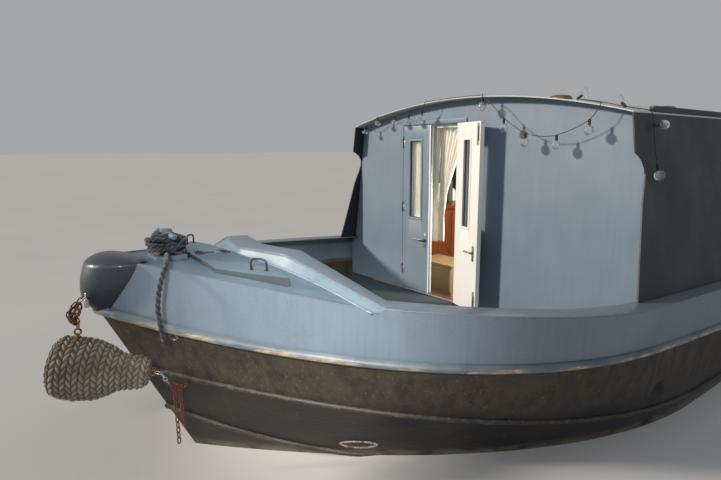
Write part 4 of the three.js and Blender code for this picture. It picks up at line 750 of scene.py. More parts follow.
def deck_paint(name, paint, wear=0.5):
    """Thick deck paint with grit in it: rough grain, foot-worn and dirty in soft patches."""
    def build(tree, shader):
        grit = noise(tree, 0.0022, 0.35, 0.65, detail=2)
        walked = noise(tree, 0.28, 0.35, 0.7, detail=5)
        dirt = noise(tree, 0.07, 0.52, 0.74, detail=7, rough=0.65)
        base = coats(tree, tuple(paint), (walked, wear, darker(paint, 1.45)),
                     (dirt, 0.7 * wear, linear("#4b4a42")), (grit, 0.22, darker(paint, 0.6)))
        give(tree, shader, Base_Color=base, Roughness=0.62, Specular_IOR_Level=0.4)
        relief(tree, shader, (grit, 0.5, 0.0012), (noise(tree, 0.3, 0, 1, detail=1), 1.0, 0.004))
    return finish(name, build)


def metal(name, base, spots, metallic=0.8, rough=0.4, share=0.6, grain=0.012, pits=0.0008):
    """Metal or rust with spots of another colour: share is how much of it they cover."""
    def build(tree, shader):
        cover = noise(tree, grain, 0.62 - 0.3 * share, 0.78 - 0.3 * share, detail=8, rough=0.7)
        tone = blend(tree, noise(tree, grain * 6, 0.3, 0.7), tuple(base), darker(base, 0.6))
        give(tree, shader, Base_Color=blend(tree, cover, tone, tuple(spots)),
             Roughness=plus(tree, times(tree, cover, 0.3), rough),
             Metallic=times(tree, sums(tree, "SUBTRACT", 1.0, cover), metallic))
        relief(tree, shader, (noise(tree, grain * 0.4, 0.25, 0.75, detail=5), 0.6, pits))
    return finish(name, build)


def rope(name, paint, pale, fray=0.35):
    """Laid fibre: painted shade in the grooves between strands (mark 'proud'), fine twisted yarns, dusty
    and bleached on its crowns."""
    def build(tree, shader):
        groove = mark(tree, "proud")
        yarn = noise(tree, 0.0032, 0.3, 0.7, stretch=(1.0, 1.0, 0.45), detail=4, rough=0.7)
        faded = noise(tree, 0.09, 0.35, 0.65, detail=5)
        base = coats(tree, blend(tree, faded, tuple(paint), tuple(pale)), (yarn, fray, darker(paint, 0.4)))
        # Darker where the mark is low, in the grooves between strands and between the fender's lumps:
        # painted shade.
        base = blend(tree, step(tree, groove, 0.12, 0.75, 0.85, 0.0), base, darker(paint, 0.25))
        give(tree, shader, Base_Color=base, Roughness=0.85, Sheen_Weight=0.25, Sheen_Roughness=0.5,
             Specular_IOR_Level=0.25)
        relief(tree, shader, (yarn, 0.7, 0.0016))
    return finish(name, build)


def timber(name, light, dark, along=0, rough=0.45, coat=0.2):
    """Sawn wood under varnish: long grain along one axis, darker pores, slow change of tone."""
    stretch = [9.0, 9.0, 9.0]
    stretch[along] = 0.5

    def build(tree, shader):
        grain = noise(tree, 0.16, 0.3, 0.7, stretch=stretch, detail=7, rough=0.62, warp=0.6)
        pores = noise(tree, 0.02, 0.5, 0.75, stretch=stretch, detail=3)
        base = coats(tree, blend(tree, grain, tuple(light), tuple(dark)), (pores, 0.5, darker(dark, 0.5)))
        give(tree, shader, Base_Color=base, Roughness=rough, Coat_Weight=coat, Coat_Roughness=0.2)
        relief(tree, shader, (grain, 0.15, 0.0006), (pores, 0.3, 0.0004))
    return finish(name, build)


def cotton(colours):
    """Woven cotton: fine crossed threads, slight slubs, a little light through it."""
    def build(tree, shader):
        threads = {"Vector": place(tree), "Scale": 260.0, "Distortion": 1.2, "Detail": 2.0}
        warp, weft = (add(tree, "ShaderNodeTexWave", threads, bands_direction=way).outputs["Fac"]
                      for way in "ZY")
        slubs = noise(tree, 0.02, 0.4, 0.8, stretch=(1, 1, 0.15))
        base = coats(tree, tuple(colours.cloth), (slubs, 0.3, darker(colours.cloth, 0.8)))
        give(tree, shader, Base_Color=base, Roughness=0.9, Sheen_Weight=0.3, Subsurface_Weight=0.15,
             Subsurface_Scale=0.01, Specular_IOR_Level=0.2)
        relief(tree, shader, (warp, 0.15, 0.0004), (weft, 0.15, 0.0004))
    return finish("woven cream cotton", build)


def pane(name, tint, rough=0.015, alpha=1.0):
    """Clear glass: thin smears and dust on a smooth surface, the room behind it dim."""
    def build(tree, shader):
        smear = noise(tree, 0.08, 0.45, 0.8, stretch=(1, 1, 0.4), detail=5)
        give(tree, shader, Base_Color=tuple(tint), Transmission_Weight=0.9, IOR=1.5, Alpha=alpha,
             Roughness=plus(tree, times(tree, smear, 0.09), rough))
        relief(tree, shader, (noise(tree, 0.3, 0, 1, detail=1), 0.3, 0.0006))
    return finish(name, build)


def rubber(name, paint, rough=0.5):
    """Moulded rubber or plastic: even colour dulled by dust, faint pebbling."""
    def build(tree, shader):
        dust = noise(tree, 0.012, 0.4, 0.75, detail=5)
        give(tree, shader, Base_Color=coats(tree, tuple(paint), (dust, 0.35, linear("#6b6a66"))),
             Roughness=rough)
        relief(tree, shader, (noise(tree, 0.002, 0.3, 0.7, detail=2), 0.2, 0.0003))
    return finish(name, build)


def glowing(name, paint, strength):
    """Thin wire in a lamp, barely warm."""
    def build(tree, shader):
        give(tree, shader, Base_Color=blend(tree, noise(tree, 0.004), tuple(paint), darker(paint, 0.7)),
             Roughness=0.4, Metallic=0.6, Emission_Color=tuple(paint), Emission_Strength=strength)
    return finish(name, build)


def make_finishes():
    """Every material of the boat, by a short name."""
    c = bpy.context.scene.houseboat_colours
    FINISH.update({
        "blacking": hull_paint(c),
        "strake": strake_paint(),
        "topside": enamel("blue-grey enamel on steel", c.topside, 0.55, 0.22, rust=c.rust, waves=0.0009,
                          coat=0.5),
        "worn": metal("worn white paint with rust", linear("#b5b0a6"), linear("#6b3f28"), 0.1, 0.6, 0.7,
                      0.02),
        "low_strake": metal("blacked half-round bar, rubbed", linear("#332d27"), linear("#544c40"), 0.0,
                            0.5, 0.45, 0.03, 0.0003),
        "cap": enamel("blue-grey enamel on a walked cap rail", darker(c.topside, 0.95), 0.8, 0.36,
                      rust=c.rust),
        # Dark enamel on the cabin sides, darkened further as painted shade.
        "side": enamel("dark slate enamel on steel, darkened as painted shade", c.side, 0.3, 0.42, waves=0.0008, coat=0.0),
        # Same enamel as the topsides, 1.36 times lighter: painted sunlight on the bulkhead. The door casing
        # and the coaming's weld runs take it too.
        "bulkhead": enamel("pale grey-blue enamel on the bulkhead", darker(c.topside, 1.36), 0.35, 0.4,
                           coat=0.1),
        "leaf": enamel("pale grey-blue enamel on a door leaf", linear("#748595"), 0.3, 0.35, coat=0.15),
        "coaming": enamel("grey-green enamel on the coaming", linear("#657b8a"), 0.6, 0.35, rust=c.rust),
        # Dark enamel on the rolled stem head, darkened further as painted shade.
        "nose": enamel("dark slate enamel on the stem head", linear("#28323e"), 0.4, 0.32),
        "white": enamel("white enamel on wood", c.white, 0.16, 0.3, coat=0.2),
        "roof": enamel("off-white roof paint", c.roof, 0.5, 0.45, coat=0.0),
        "deck": deck_paint("non-slip deck paint with grit", c.deck),
        # Also on the hatch leaves' turned-down edges, where its dark is painted shade.
        "well": deck_paint("dark deck paint in the well", linear("#39434a"), 0.4),
        "steel": metal("galvanised steel", c.steel, linear("#8b8e8c"), 0.85, 0.34, 0.5),
        "chain": metal("forged chain, rusted", linear("#8d847b"), c.rust, 0.6, 0.5, 1.5, 0.006, 0.0012),
        "zinc": metal("bright zinc on a shackle", linear("#c9c9c4"), linear("#8f8a80"), 0.9, 0.28, 0.5,
                      0.006),
        "rusty": metal("rusted steel", linear("#5f3d2c"), linear("#8a5230"), 0.2, 0.7, 0.9, 0.02, 0.0014),
        "black_steel": metal("black painted steel, chipped", c.black_steel, linear("#4e3a2e"), 0.15, 0.42,
                             0.25),
        "brass": metal("brass, tarnished", c.bronze, linear("#5b4a32"), 0.9, 0.3, 0.5),
        "rope_blue": rope("laid rope, dark blue", c.rope_blue, linear("#414959")),
        "hemp": rope("old hemp rope, woven", c.hemp, linear("#a69b88"), 0.35),
        "wood": timber("stained plywood", c.wood, darker(c.wood, 0.5), 2),
        "plain_wood": timber("oiled pine", c.plain_wood, darker(c.plain_wood, 0.7), 0, 0.55),
        "upright_wood": timber("pine panel", c.plain_wood, darker(c.plain_wood, 0.75), 2, 0.5),
        "cloth": cotton(c),
        "glass": pane("clear toughened glass", linear("#e9efee"), alpha=0.22),
        "dark_glass": pane("tinted window glass", linear("#5c666b")),
        "lamp_glass": pane("clear lamp glass", linear("#f2f6fa"), 0.02, 0.6),
        "filament": glowing("filament wire", linear("#d8b486"), 0.15),
        "cable": rubber("black rubber cable", linear("#1c1d1f")),
        "gasket": rubber("black rubber seal", linear("#191a1c"), 0.6),
        "frame_metal": metal("anodised window frame", linear("#8f9598"), linear("#6c7276"), 0.85, 0.3, 0.4),
        "engine": enamel("engine paint", c.engine, 0.6, 0.5, rust=c.rust),
        # Flat dark colour: painted shade inside the drain outlet and the hawse hole.
        "dark": rubber("flat dark painted shade in holes", linear("#2a2622"), 0.8),
    })


# ---------------------------------------------------------------- plates and bars

ACROSS = [[0, 1, 0], [0, 0, 1], [1, 0, 0]]
ALONG = [[1, 0, 0], [0, 0, 1], [0, 1, 0]]


def grown(rect, by):
    """A rectangle (a0, a1, b0, b1) with each edge moved out."""
    a0, a1, b0, b1 = rect
    return a0 - by, a1 + by, b0 - by, b1 + by


def plate(outer, hole, low, high, origin, axes, corner=0.004, inner_corner=0.02, bevel=0.002, material=0,
          arc=5):
    """Flat plate with rounded corners and edges, with or without a hole. outer and hole are
    (a0, a1, b0, b1) along the first two axes, low and high its faces along the third."""
    def outline(rect, grow, radius):
        a0, a1, b0, b1 = grown(rect, grow)
        return rounded([[a0, b0], [a1, b0], [a1, b1], [a0, b1]], max(radius + grow, 0.0004), arc)
    b = min(bevel, 0.45 * (high - low))
    edge = ((b, low), (0.3 * b, low + 0.3 * b), (0, low + b), (0, high - b), (0.3 * b, high - 0.3 * b),
            (b, high))
    rows = [(outer, -inset, corner, depth) for inset, depth in edge]
    if hole is not None:
        rows += [(hole, inset, inner_corner, depth) for inset, depth in reversed(edge)]
    axes = np.asarray(axes, float)
    flat = np.stack([np.column_stack([outline(rect, grow, radius), np.full(4 * (arc + 1), depth)])
                     for rect, grow, radius, depth in rows])
    return surface(np.asarray(origin) + flat @ axes, wrap_u=hole is not None, wrap_v=True,
                   caps=hole is None, material=material)


def rod(a, b, radius, sides=20, material=0, edge=0.0015):
    """Round bar with softened ends."""
    a, b = np.asarray(a, float), np.asarray(b, float)
    length = np.linalg.norm(b - a)
    e = min(edge, 0.3 * radius, 0.3 * length)
    profile = [[0.0005, 0], [radius - e, 0], [radius, e], [radius, length - e], [radius - e, length],
               [0.0005, length]]
    return lathe(profile, a, b - a, sides, material)


def bent(points, radius, sides=16, per_span=10, material=0):
    """Bent tube through points."""
    return tube(spline(points, per_span), radius, sides, material=material)


def along_path(path, section_out, section_up, out, up, wrap=False, material=0, **marks):
    """Section of offsets (outwards, upwards) carried along a path with its own two directions."""
    path, out, up = (np.asarray(v, float) for v in (path, out, up))
    o, h = (np.broadcast_to(np.asarray(v, float), (len(path), np.asarray(v).shape[-1]))
            for v in (section_out, section_up))
    points = path[:, None] + o[..., None] * out[:, None] + h[..., None] * up[:, None]
    return surface(points, wrap_u=wrap, wrap_v=True, caps=not wrap, material=material, **marks)


def closed_sides(path, *fields):
    """Port rows from the stem, carried on round the starboard side, with their directions."""
    return [np.concatenate([f, f[1:-1][::-1] * MIRROR]) for f in (path, *fields)]


def half_round(depth, height, seat, steps=9):
    """Section of a half-round bar: out = depth times cos a to the power 0.8, up = half the height times
    sin a, with a flat back; and a mark that is nought at the back and one on the crown."""
    a = np.linspace(-np.pi / 2, np.pi / 2, steps)
    out = np.concatenate([[-seat], depth * np.cos(a) ** 0.8, [-seat]])
    up = np.concatenate([[-0.5 * height], 0.5 * height * np.sin(a), [0.5 * height]])
    return out, up, np.concatenate([[0], np.cos(a), [0]])


def weld_bead(path, radius, material=0):
    """Weld run along a path: radius r (1 + 0.18 cos of the ripple), a ripple about every 12 mm."""
    path = even(np.asarray(path), 0.004)
    s = np.arange(len(path)) * 0.004
    return tube(path, radius * (1 + 0.18 * np.cos(2 * np.pi * s / 0.012 + 0.6 * np.sin(s * 21))), 7,
                material=material)


def turned(x, y, z, angle):
    """Matrix that turns about an upright axis and then moves."""
    c, s = math.cos(angle), math.sin(angle)
    return [[c, -s, 0, x], [s, c, 0, y], [0, 0, 1, z], [0, 0, 0, 1]]


class Piece:
    """Builds one piece or a group of like pieces."""
    bl_options = {"REGISTER", "UNDO"}

    def execute(self, context):
        before = len(bpy.data.objects)
        self.build(context.scene.houseboat_sizes)
        if len(bpy.data.objects) == before:
            raise RuntimeError(f"{self.bl_label}: nothing was made")
        return {"FINISHED"}


# ---------------------------------------------------------------- stage

# Camera as fitted to the photo: its place, its turns in radians, and the focal length and the picture's
# width in pixels.
CAMERA_PLACE = (8.0817, 3.2853, 2.6353)
YAW, PITCH, ROLL = 0.91860, 0.17103, -0.003854
FOCAL, PICTURE_WIDTH, SENSOR_WIDTH = 526.458, 721, 36
FLOOR_HALF = 300.0
LAMP_AIM = Vector((6.4, 0.6, 1.6))
BOW_CONE = math.radians(17)
# Lamps: kind, name, azimuth and elevation in degrees seen from the aim, distance, width (the sun's as an
# angle), power, tint.
OUTER_LAMPS = (
    ("SUN", "sun", -32, 20, 30, math.radians(5), 3.3, "#fff2e2"),
    ("AREA", "sky", 40, 28, 16.0, 6.0, 200, "#eef3fa"),
    ("SPOT", "bow", 54, 30, 8.0, 0.5, 5600, "#fff6ea"),
)


def polar(azimuth, elevation):
    """Direction at an azimuth from ahead and an elevation: (cos a cos e, sin a cos e, sin e)."""
    return Vector((math.cos(azimuth) * math.cos(elevation), math.sin(azimuth) * math.cos(elevation),
                   math.sin(elevation)))


def put_lamp(name, lamp, at, aim):
    """Hangs a lamp at a place, turned to its aim."""
    light = bpy.data.objects.new(name, lamp)
    light.matrix_world = Matrix.Translation(at) @ (aim - at).to_track_quat("-Z", "Y").to_matrix().to_4x4()
    bpy.context.scene.collection.objects.link(light)


class HOUSEBOAT_OT_stage(Piece, bpy.types.Operator):
    """Camera at the quay's height off the port bow, pale floor at the waterline, low soft sun from ahead to
    starboard, a broad sky lamp, a spot on the bow plates and a small lamp in the cabin"""
    bl_idname = "houseboat.stage"
    bl_label = "Stage"

    def build(self, sizes):
        ahead = -polar(YAW, PITCH)
        right = ahead.cross(Vector((0, 0, 1))).normalized()
        up = right.cross(ahead)
        c, s = math.cos(ROLL), math.sin(ROLL)
        right, up = c * right + s * up, c * up - s * right
        lens = bpy.data.cameras.new("camera")
        lens.sensor_width, lens.lens = SENSOR_WIDTH, SENSOR_WIDTH * FOCAL / PICTURE_WIDTH
        lens.clip_end = 3 * FLOOR_HALF
        camera = bpy.data.objects.new("camera", lens)
        camera.matrix_world = Matrix((*zip(right, up, -ahead, CAMERA_PLACE), (0, 0, 0, 1)))
        scene = bpy.context.scene
        scene.collection.objects.link(camera)
        scene.camera = camera

        def ground(tree, shader):
            cloud = noise(tree, 1.5, 0.2, 0.8, detail=3)
            give(tree, shader, Base_Color=blend(tree, cloud, linear("#c6c6c5"), linear("#cbcbca")),
                 Roughness=1.0, Specular_IOR_Level=0.0)
        x, y = np.meshgrid([-FLOOR_HALF, FLOOR_HALF], [-FLOOR_HALF, FLOOR_HALF], indexing="ij")
        FINISH["floor"] = finish("pale studio floor", ground)
        floor = make("studio_floor", [surface(xyz(x, y, WATER_Z))], ["floor"])
        floor.parent = None
        del floor["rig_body"]

        world = bpy.data.worlds.new("studio")
        world.use_nodes = True
        tint, strength = world.node_tree.nodes["Background"].inputs[:2]
        tint.default_value, strength.default_value = linear("#e0e3e8"), 0.50
        scene.world = world
        scene.view_settings.view_transform = "Standard"
        for kind, name, azimuth, elevation, distance, width, power, tint in OUTER_LAMPS:
            lamp = bpy.data.lights.new(name, kind)
            lamp.energy, lamp.color = power, linear(tint)[:3]
            if kind == "SUN":
                lamp.angle = width
            elif kind == "SPOT":
                lamp.spot_size, lamp.spot_blend, lamp.shadow_soft_size = BOW_CONE, 1.0, width
            else:
                lamp.shape, lamp.size = "DISK", width
            at = LAMP_AIM + distance * polar(math.radians(azimuth), math.radians(elevation))
            put_lamp(name, lamp, at, LAMP_AIM)
        cabin = bpy.data.lights.new("cabin", "AREA")
        cabin.shape, cabin.size, cabin.energy, cabin.color = "DISK", 0.5, 52, linear("#fff4e4")[:3]
        put_lamp("cabin", cabin, Vector((3.75, 0.45, 2.70)), Vector((3.5, -0.95, 1.7)))
        make_finishes()


# ---------------------------------------------------------------- cords

TAIL_ROUTE = [
    [2789.2, 119.2, 868], [2820, 213, 870], [2850, 300, 868], [2874, 372, 862], [2904, 420, 826],
    [2938, 438, 740], [2952, 440, 640], [2946, 440, 560], [2936, 438, 480], [2930, 436, 425],
]


class HOUSEBOAT_OT_rope_tail(Piece, bpy.types.Operator):
    """Free tail of the mooring rope, three strands laid up, from the stud over the foredeck's port edge"""
    bl_idname = "houseboat.rope_tail"
    bl_label = "Rope tail"

    def build(self, sizes):
        path = spline(spot(TAIL_ROUTE), 12)
        end = path[-1]
        down = unit(path[-1] - path[-3])
        whipping = lathe([[0.0004, -0.030], [0.0146, -0.030], [0.0152, -0.028], [0.0152, -0.004],
                          [0.0146, -0.001], [0.0004, -0.0005]], end, down, 20, 1, proud=1.0)
        piece = make("mooring_rope_tail", [laid_rope(path, sizes.cord_radius, sizes.rope_lay), whipping],
                     ["rope_blue", "cable"], stands_for=["rope_tail"], crease=80)


def on_roof(x, y, lift=11.0):
    """Point of the lamp cable over the roof, in millimetres: ahead of the bulkhead, to port, and lifted
    above the plate."""
    return [x, y, (float(roof_z(y / 1000)) - SILL_Z) * 1000 + lift]


# Points of the lamp cable and, in LAMPS, which of them carry a lamp and where it points.
STRING_ROUTE = [
    on_roof(146, -1440, -8), [146, -1335, 1728], [146, -1120, 1813], [146, -985, 1814], [146, -846, 1816],
    [146, -640, 1822], [146, -454, 1846], on_roof(146, -420, -12), on_roof(138, -416, 12),
    on_roof(105, -395), on_roof(85, -80), on_roof(100, 235), on_roof(138, 268, 12), on_roof(147, 276, -12),
    [146, 371, 1850], [146, 505, 1729], [146, 715, 1607], [146, 850, 1578], [146, 992, 1584],
    [146, 1244, 1686], on_roof(147, 1312, -12), on_roof(138, 1318, 12), on_roof(105, 1300),
    on_roof(10, 1060), on_roof(-50, 1220), on_roof(50, 1440), on_roof(-60, 1500), on_roof(-85, 1540, 10),
    [-92, 1560, 1722], [-104, 1572, 1640], [-104, 1592, 1500], [-94, 1622, 1372],
]
DOWN = (0, 0, -1)
LAMPS = [
    (1, DOWN), (2, DOWN), (4, DOWN), (5, DOWN), (6, DOWN), (13, DOWN), (15, DOWN), (16, DOWN), (18, DOWN),
    (19, DOWN), (23, (-0.5, 0.3, 0.45)), (25, (-0.2, -0.6, 0.55)), (29, (-0.9, 0.5, 0)), (31, (0, 0.3, -1)),
]
# Growth of a globe in width and length: smaller on the first drape, which hangs over the starboard leaf.
SMALL_GLOBE, FULL_GLOBE, FIRST_FULL_GLOBE = (1.36, 1.0), (1.45, 1.60), 13
GLOBE_SEAT = 0.0405


class HOUSEBOAT_OT_light_string(Piece, bpy.types.Operator):
    """String of lamps: rubber cable, ribbed holders, clear pear-shaped globes with a looped wire in each"""
    bl_idname = "houseboat.light_string"
    bl_label = "Light string"

    def build(self, sizes):
        route = spot(STRING_ROUTE)
        path = spline(route, 10)
        rib = np.linspace(0.004, 0.034, 13)
        holder = np.vstack([[[0.0004, -0.0035], [0.009, -0.0035], [0.0105, -0.001]],
                            np.column_stack([0.0102 + 0.0006 * np.cos(np.arange(13) * np.pi), rib]),
                            [[0.0108, 0.038], [0.0104, 0.041], [0.0004, 0.041]]])
        a = 0.28 * np.pi + 0.72 * np.linspace(0, np.pi, 12)
        r = sizes.lamp_radius
        globe = np.vstack([[[0.0095, GLOBE_SEAT], [0.0105, 0.0435], [0.0150, 0.0475]],
                           np.column_stack([r * np.sin(a), 0.0615 - r * np.cos(a)])])
        globe[-1, 0] = 0.0003
        globe[:, 1] = np.minimum(globe[:, 1], 0.0858)
        holders, globes, wires = [], [], []
        for i, axis in LAMPS:
            holders.append(lathe(holder, route[i], axis, 18))
            wide, tall = SMALL_GLOBE if i < FIRST_FULL_GLOBE else FULL_GLOBE
            pear = np.column_stack([np.where(np.arange(len(globe)) > 1, globe[:, 0] * wide, globe[:, 0]),
                                    GLOBE_SEAT + (globe[:, 1] - GLOBE_SEAT) * tall])
            globes.append(lathe(pear, route[i], axis, 26))
            z = unit(np.asarray(axis, float))
            x = unit(np.cross(z, [0.3, 1, 0.1]))
            loop = np.linspace(0, 1, 15)
            wire = route[i] + np.outer(0.042 + 0.028 * np.sin(np.pi * loop), z)
            wire = wire + np.outer(0.009 * np.cos(np.pi * loop), x)
            wire = wire + np.outer(0.003 * np.sin(6 * np.pi * loop), np.cross(z, x))
            wires.append(tube(wire, 0.0006, 5))
        pieces = [make("lamp_holders", holders, ["cable"]),
                  make("lamp_globes", globes, ["lamp_glass"], crease=80),
                  make("lamp_wires", wires, ["filament"])]
        cable = make("lamp_cable", [tube(path, sizes.cable_radius, 8)], ["cable"],
                     stands_for=["light_string"], crease=60)


# ---------------------------------------------------------------- hull

def hull_grid():
    """Port rows of the plating from the baseplate to the upper strake: straight between the levels."""
    rows = [level_line("base")]
    last = rows[0]
    for name, count in (("chine", 3), ("swim", 5), ("counter", 2), ("water", 3), ("strake", 16)):
        line = level_line(name)
        rows += [last + (line - last) * k / count for k in range(1, count + 1)]
        last = line
    return np.stack(rows)


# Ovals on the port bow plating, drain outlet and hawse hole: place, half length, half height.
OVALS = (((6.219, 0.822, 0.782), 0.125, 0.036), ((7.199, 0.348, 1.610), 0.030, 0.026))
# Their sections from the plating outwards, as shares of the oval and heights: worn rim, and a flat disc
# whose dark colour is painted shade in place of the hole.
OVAL_RIM = ((1.0, -0.006), (1.0, 0.004), (0.92, 0.009), (0.78, 0.007), (0.72, 0.001))
OVAL_SHADE_DISC = ((0.74, 0.0018), (0.70, 0.0020), (0.4, 0.0019))


class HOUSEBOAT_OT_hull(Piece, bpy.types.Operator):
    """Smooth plating over the frame's five hull parts, with the two lower strakes, the drain outlet and the
    hawse hole; each hole is a flat disc whose dark colour is painted shade"""
    bl_idname = "houseboat.hull"
    bl_label = "Hull plating"

    def build(self, sizes):
        port = hull_grid()
        grid = np.concatenate([port, port[:, 1:-1][:, ::-1] * MIRROR], axis=1)
        along = np.roll(grid, -1, 1) - np.roll(grid, 1, 1)
        rise = np.gradient(grid, axis=0)
        normal = unit(np.cross(along, rise))
        level = unit(grid * [0.25, 1, 0])
        away = np.where(((normal * level).sum(-1) < 0)[..., None], -normal, normal)
        away[0, :, 2] = 0
        away[:, 0, 1] = away[:, len(port[0]) - 1, 1] = 0
        parts = [surface(grid + sizes.proud * away, wrap_v=True)]
        out, up, crown = half_round(0.0265, 0.044, 0.012)
        for height, ends in ((second_z, None), (third_z, THIRD_END_X)):
            path, rise_dir = on_plating(height)
            off_plating = level_outward(path, rise_dir)
            if ends is None:
                fields = closed_sides(path, off_plating, rise_dir)
                taper = 1
            else:
                keep = path[:, 0] > ends
                fields = [np.concatenate([f[keep][::-1][:-1], f[keep] * MIRROR])
                          for f in (path, off_plating, rise_dir)]
                steps = np.arange(len(fields[0]))
                taper = np.clip(np.minimum(steps, steps[::-1]) / 4, 0.1, 1)[:, None]
            parts.append(along_path(fields[0], out * taper, up, *fields[1:], wrap=ends is None, material=1,
                                    proud=crown[None]))
        a = angles(40)
        for place, half_long, half_high in OVALS:
            nearest = np.unravel_index(np.argmin(np.linalg.norm(grid - place, axis=-1)), grid.shape[:2])
            normal = away[nearest]
            fore = unit(np.cross([0, 0, 1], normal))
            oval = (np.outer(half_long * np.cos(a), fore)
                    + np.outer(half_high * np.sin(a), np.cross(normal, fore)))
            middle = grid[nearest] + sizes.proud * normal
            # Worn rim, then a flat disc in the dark finish: painted shade where the hole is.
            for material, rows in ((2, OVAL_RIM), (3, OVAL_SHADE_DISC)):
                parts.append(skin([middle + oval * k + h * normal for k, h in rows], material))
        make("hull_plating", parts, ["blacking", "low_strake", "worn", "dark"],
             crease=45)
        for node in ("hull_bottom", "hull_side_port", "hull_side_starboard", "hull_bow", "hull_stern"):
            dress(node, "blacking")


class HOUSEBOAT_OT_strake(Piece, bpy.types.Operator):
    """Upper rubbing strake: half-round bar round the whole boat on the joint of hull and topsides"""
    bl_idname = "houseboat.strake"
    bl_label = "Rubbing strake"

    def build(self, sizes):
        path, rise = on_plating(strake_z)
        path, away, rise = closed_sides(path, level_outward(path, rise), rise)
        out, up, crown = half_round(0.0362, 0.0600, -0.0015, 11)
        make("rubbing_strake_bar", [along_path(path, out, up, away, rise, wrap=True, proud=crown[None])],
             ["strake"], stands_for=["rubbing_strake"], crease=50)


# Rolled stem head: its front in the middle plane and the crease where it meets the port plating, in metres.
STEM_FRONT = np.array([[7.516, 0, 1.700], [7.534, 0, 1.730], [7.577, 0, 1.788], [7.585, 0, 1.878],
                       [7.564, 0, 1.969], [7.548, 0, 2.004], [7.494, 0, 2.035], [7.413, 0, 2.046],
                       [7.276, 0, 2.014], [7.215, 0, 1.985]])
STEM_SIDE = np.array([[7.462, 0.046, 1.700], [7.453, 0.060, 1.722], [7.428, 0.100, 1.780],
                      [7.387, 0.160, 1.870], [7.345, 0.206, 1.955], [7.332, 0.219, 1.990],
                      [7.312, 0.212, 2.004], [7.282, 0.185, 2.002], [7.240, 0.125, 1.990],
                      [7.208, 0.060, 1.978]])


def topside_rows():
    """Port sections of the topside plate, both faces, between the strake and the cap or the deck's edge."""
    x = stations("strake")
    foot = np.argmin(np.abs(x - FOOT_X))
    x = np.insert(np.delete(x, foot), foot, [FOOT_X + 0.001, FOOT_X - 0.001])
    high = np.where(x > FOOT_X, deck_edge_z(x) + 0.006, cap_z(x) - CAP_PLATE + 0.002)
    low = strake_z(x) + 0.0003
    _, _, b0, b1, _, s0, s1, _, _ = LEVELS["strake"]
    inside = 0.016
    b1i, s1i = b1 - 1.6 * inside, s1 + inside
    in_stern = np.where(x < s0, s0 + (s0 - x) / (s0 - s1) * (s1i - s0), x)
    xi = np.where(x > b0, b0 + (x - b0) / (b1 - b0) * (b1i - b0), in_stern)
    y, yi = half_beam(x, "strake", 0) - 0.0005, half_beam(xi, "strake", inside)
    y[[0, -1]] = yi[[0, -1]] = 0
    r = 0.002
    return np.stack([
        xyz(x, y, low), xyz(x, y, 0.5 * (low + high)), xyz(x, y, high - r),
        xyz(x - (x - xi) * 0.12, y - (y - yi) * 0.12, high),
        xyz(xi + (x - xi) * 0.12, yi + (y - yi) * 0.12, high), xyz(xi, yi, high - r),
        xyz(xi, yi, low)], axis=1)


class HOUSEBOAT_OT_topsides(Piece, bpy.types.Operator):
    """Topside plates from the strake to the cap, in the bow to the foredeck's edge, and the stem head"""
    bl_idname = "houseboat.topsides"
    bl_label = "Topsides"

    def build(self, sizes):
        rows = topside_rows()
        ring = np.concatenate([rows, rows[1:-1][::-1] * MIRROR])
        make("topside_plates", [surface(ring, wrap_u=True, wrap_v=True)], ["topside"],
             stands_for=["topsides"], crease=40)
        front, side = spline(STEM_FRONT, 8), spline(STEM_SIDE, 8)
        a = np.linspace(-np.pi / 2, np.pi / 2, 33)[None, :, None]
        middle = side * [1, 0, 1]
        roll = (middle[:, None] + (front - middle)[:, None] * np.cos(a)
                + (side * [0, 1, 0])[:, None] * np.sin(a))
        # The stem head takes the dark nose enamel: dark paint, deepened as painted shade.
        make("stem_head_casting", [skin(roll)], ["nose"],
             stands_for=["stem_head"], crease=50)


def cap_line():
    """Outer and inner edge of the cap's port half: across the coaming, along the side, round the stern."""
    def inboard(x):
        y = half_beam(x, "strake")
        slope = (half_beam(x + 0.005, "strake") - half_beam(x - 0.005, "strake")) / 0.01
        length = np.hypot(slope, 1)
        return xyz(x + slope / length * CAP_WIDTH, y - CAP_WIDTH / length, cap_z(x))
    corner = inboard(np.array([FOOT_X]))[0]
    s = np.unique(np.concatenate([np.linspace(0, 1, 25), [COAMING["level"] / COAMING["half"]]]))
    y = COAMING["half"] * s
    outer = [xyz(coaming_x(y), y, coaming_z(y))]
    start = COAMING["apex"] - CAP_WIDTH - 0.008
    inner = [xyz(start + (corner[0] - start) * s, corner[1] * s, coaming_z(y))]
    _, half, _, _, _, s0, s1, _, _ = LEVELS["strake"]
    x = stations("strake")
    x = x[(x < FOOT_X - 0.001) & (x > s0 - 0.001)]
    outer.append(xyz(x, half_beam(x, "strake"), cap_z(x)))
    inner.append(inboard(x))
    a = np.linspace(0, np.pi / 2, STERN_STEPS + 1)[1:]
    xo, xi = s0 + (s1 - s0) * np.sin(a), s0 + (s1 + CAP_WIDTH - s0) * np.sin(a)
    outer.append(xyz(xo, half * np.cos(a), cap_z(xo)))
    inner.append(xyz(xi, (half - CAP_WIDTH) * np.cos(a), cap_z(xo)))
    outer, inner = np.vstack(outer), np.vstack(inner)
    outer[-1, 1] = inner[-1, 1] = 0
    return outer, inner


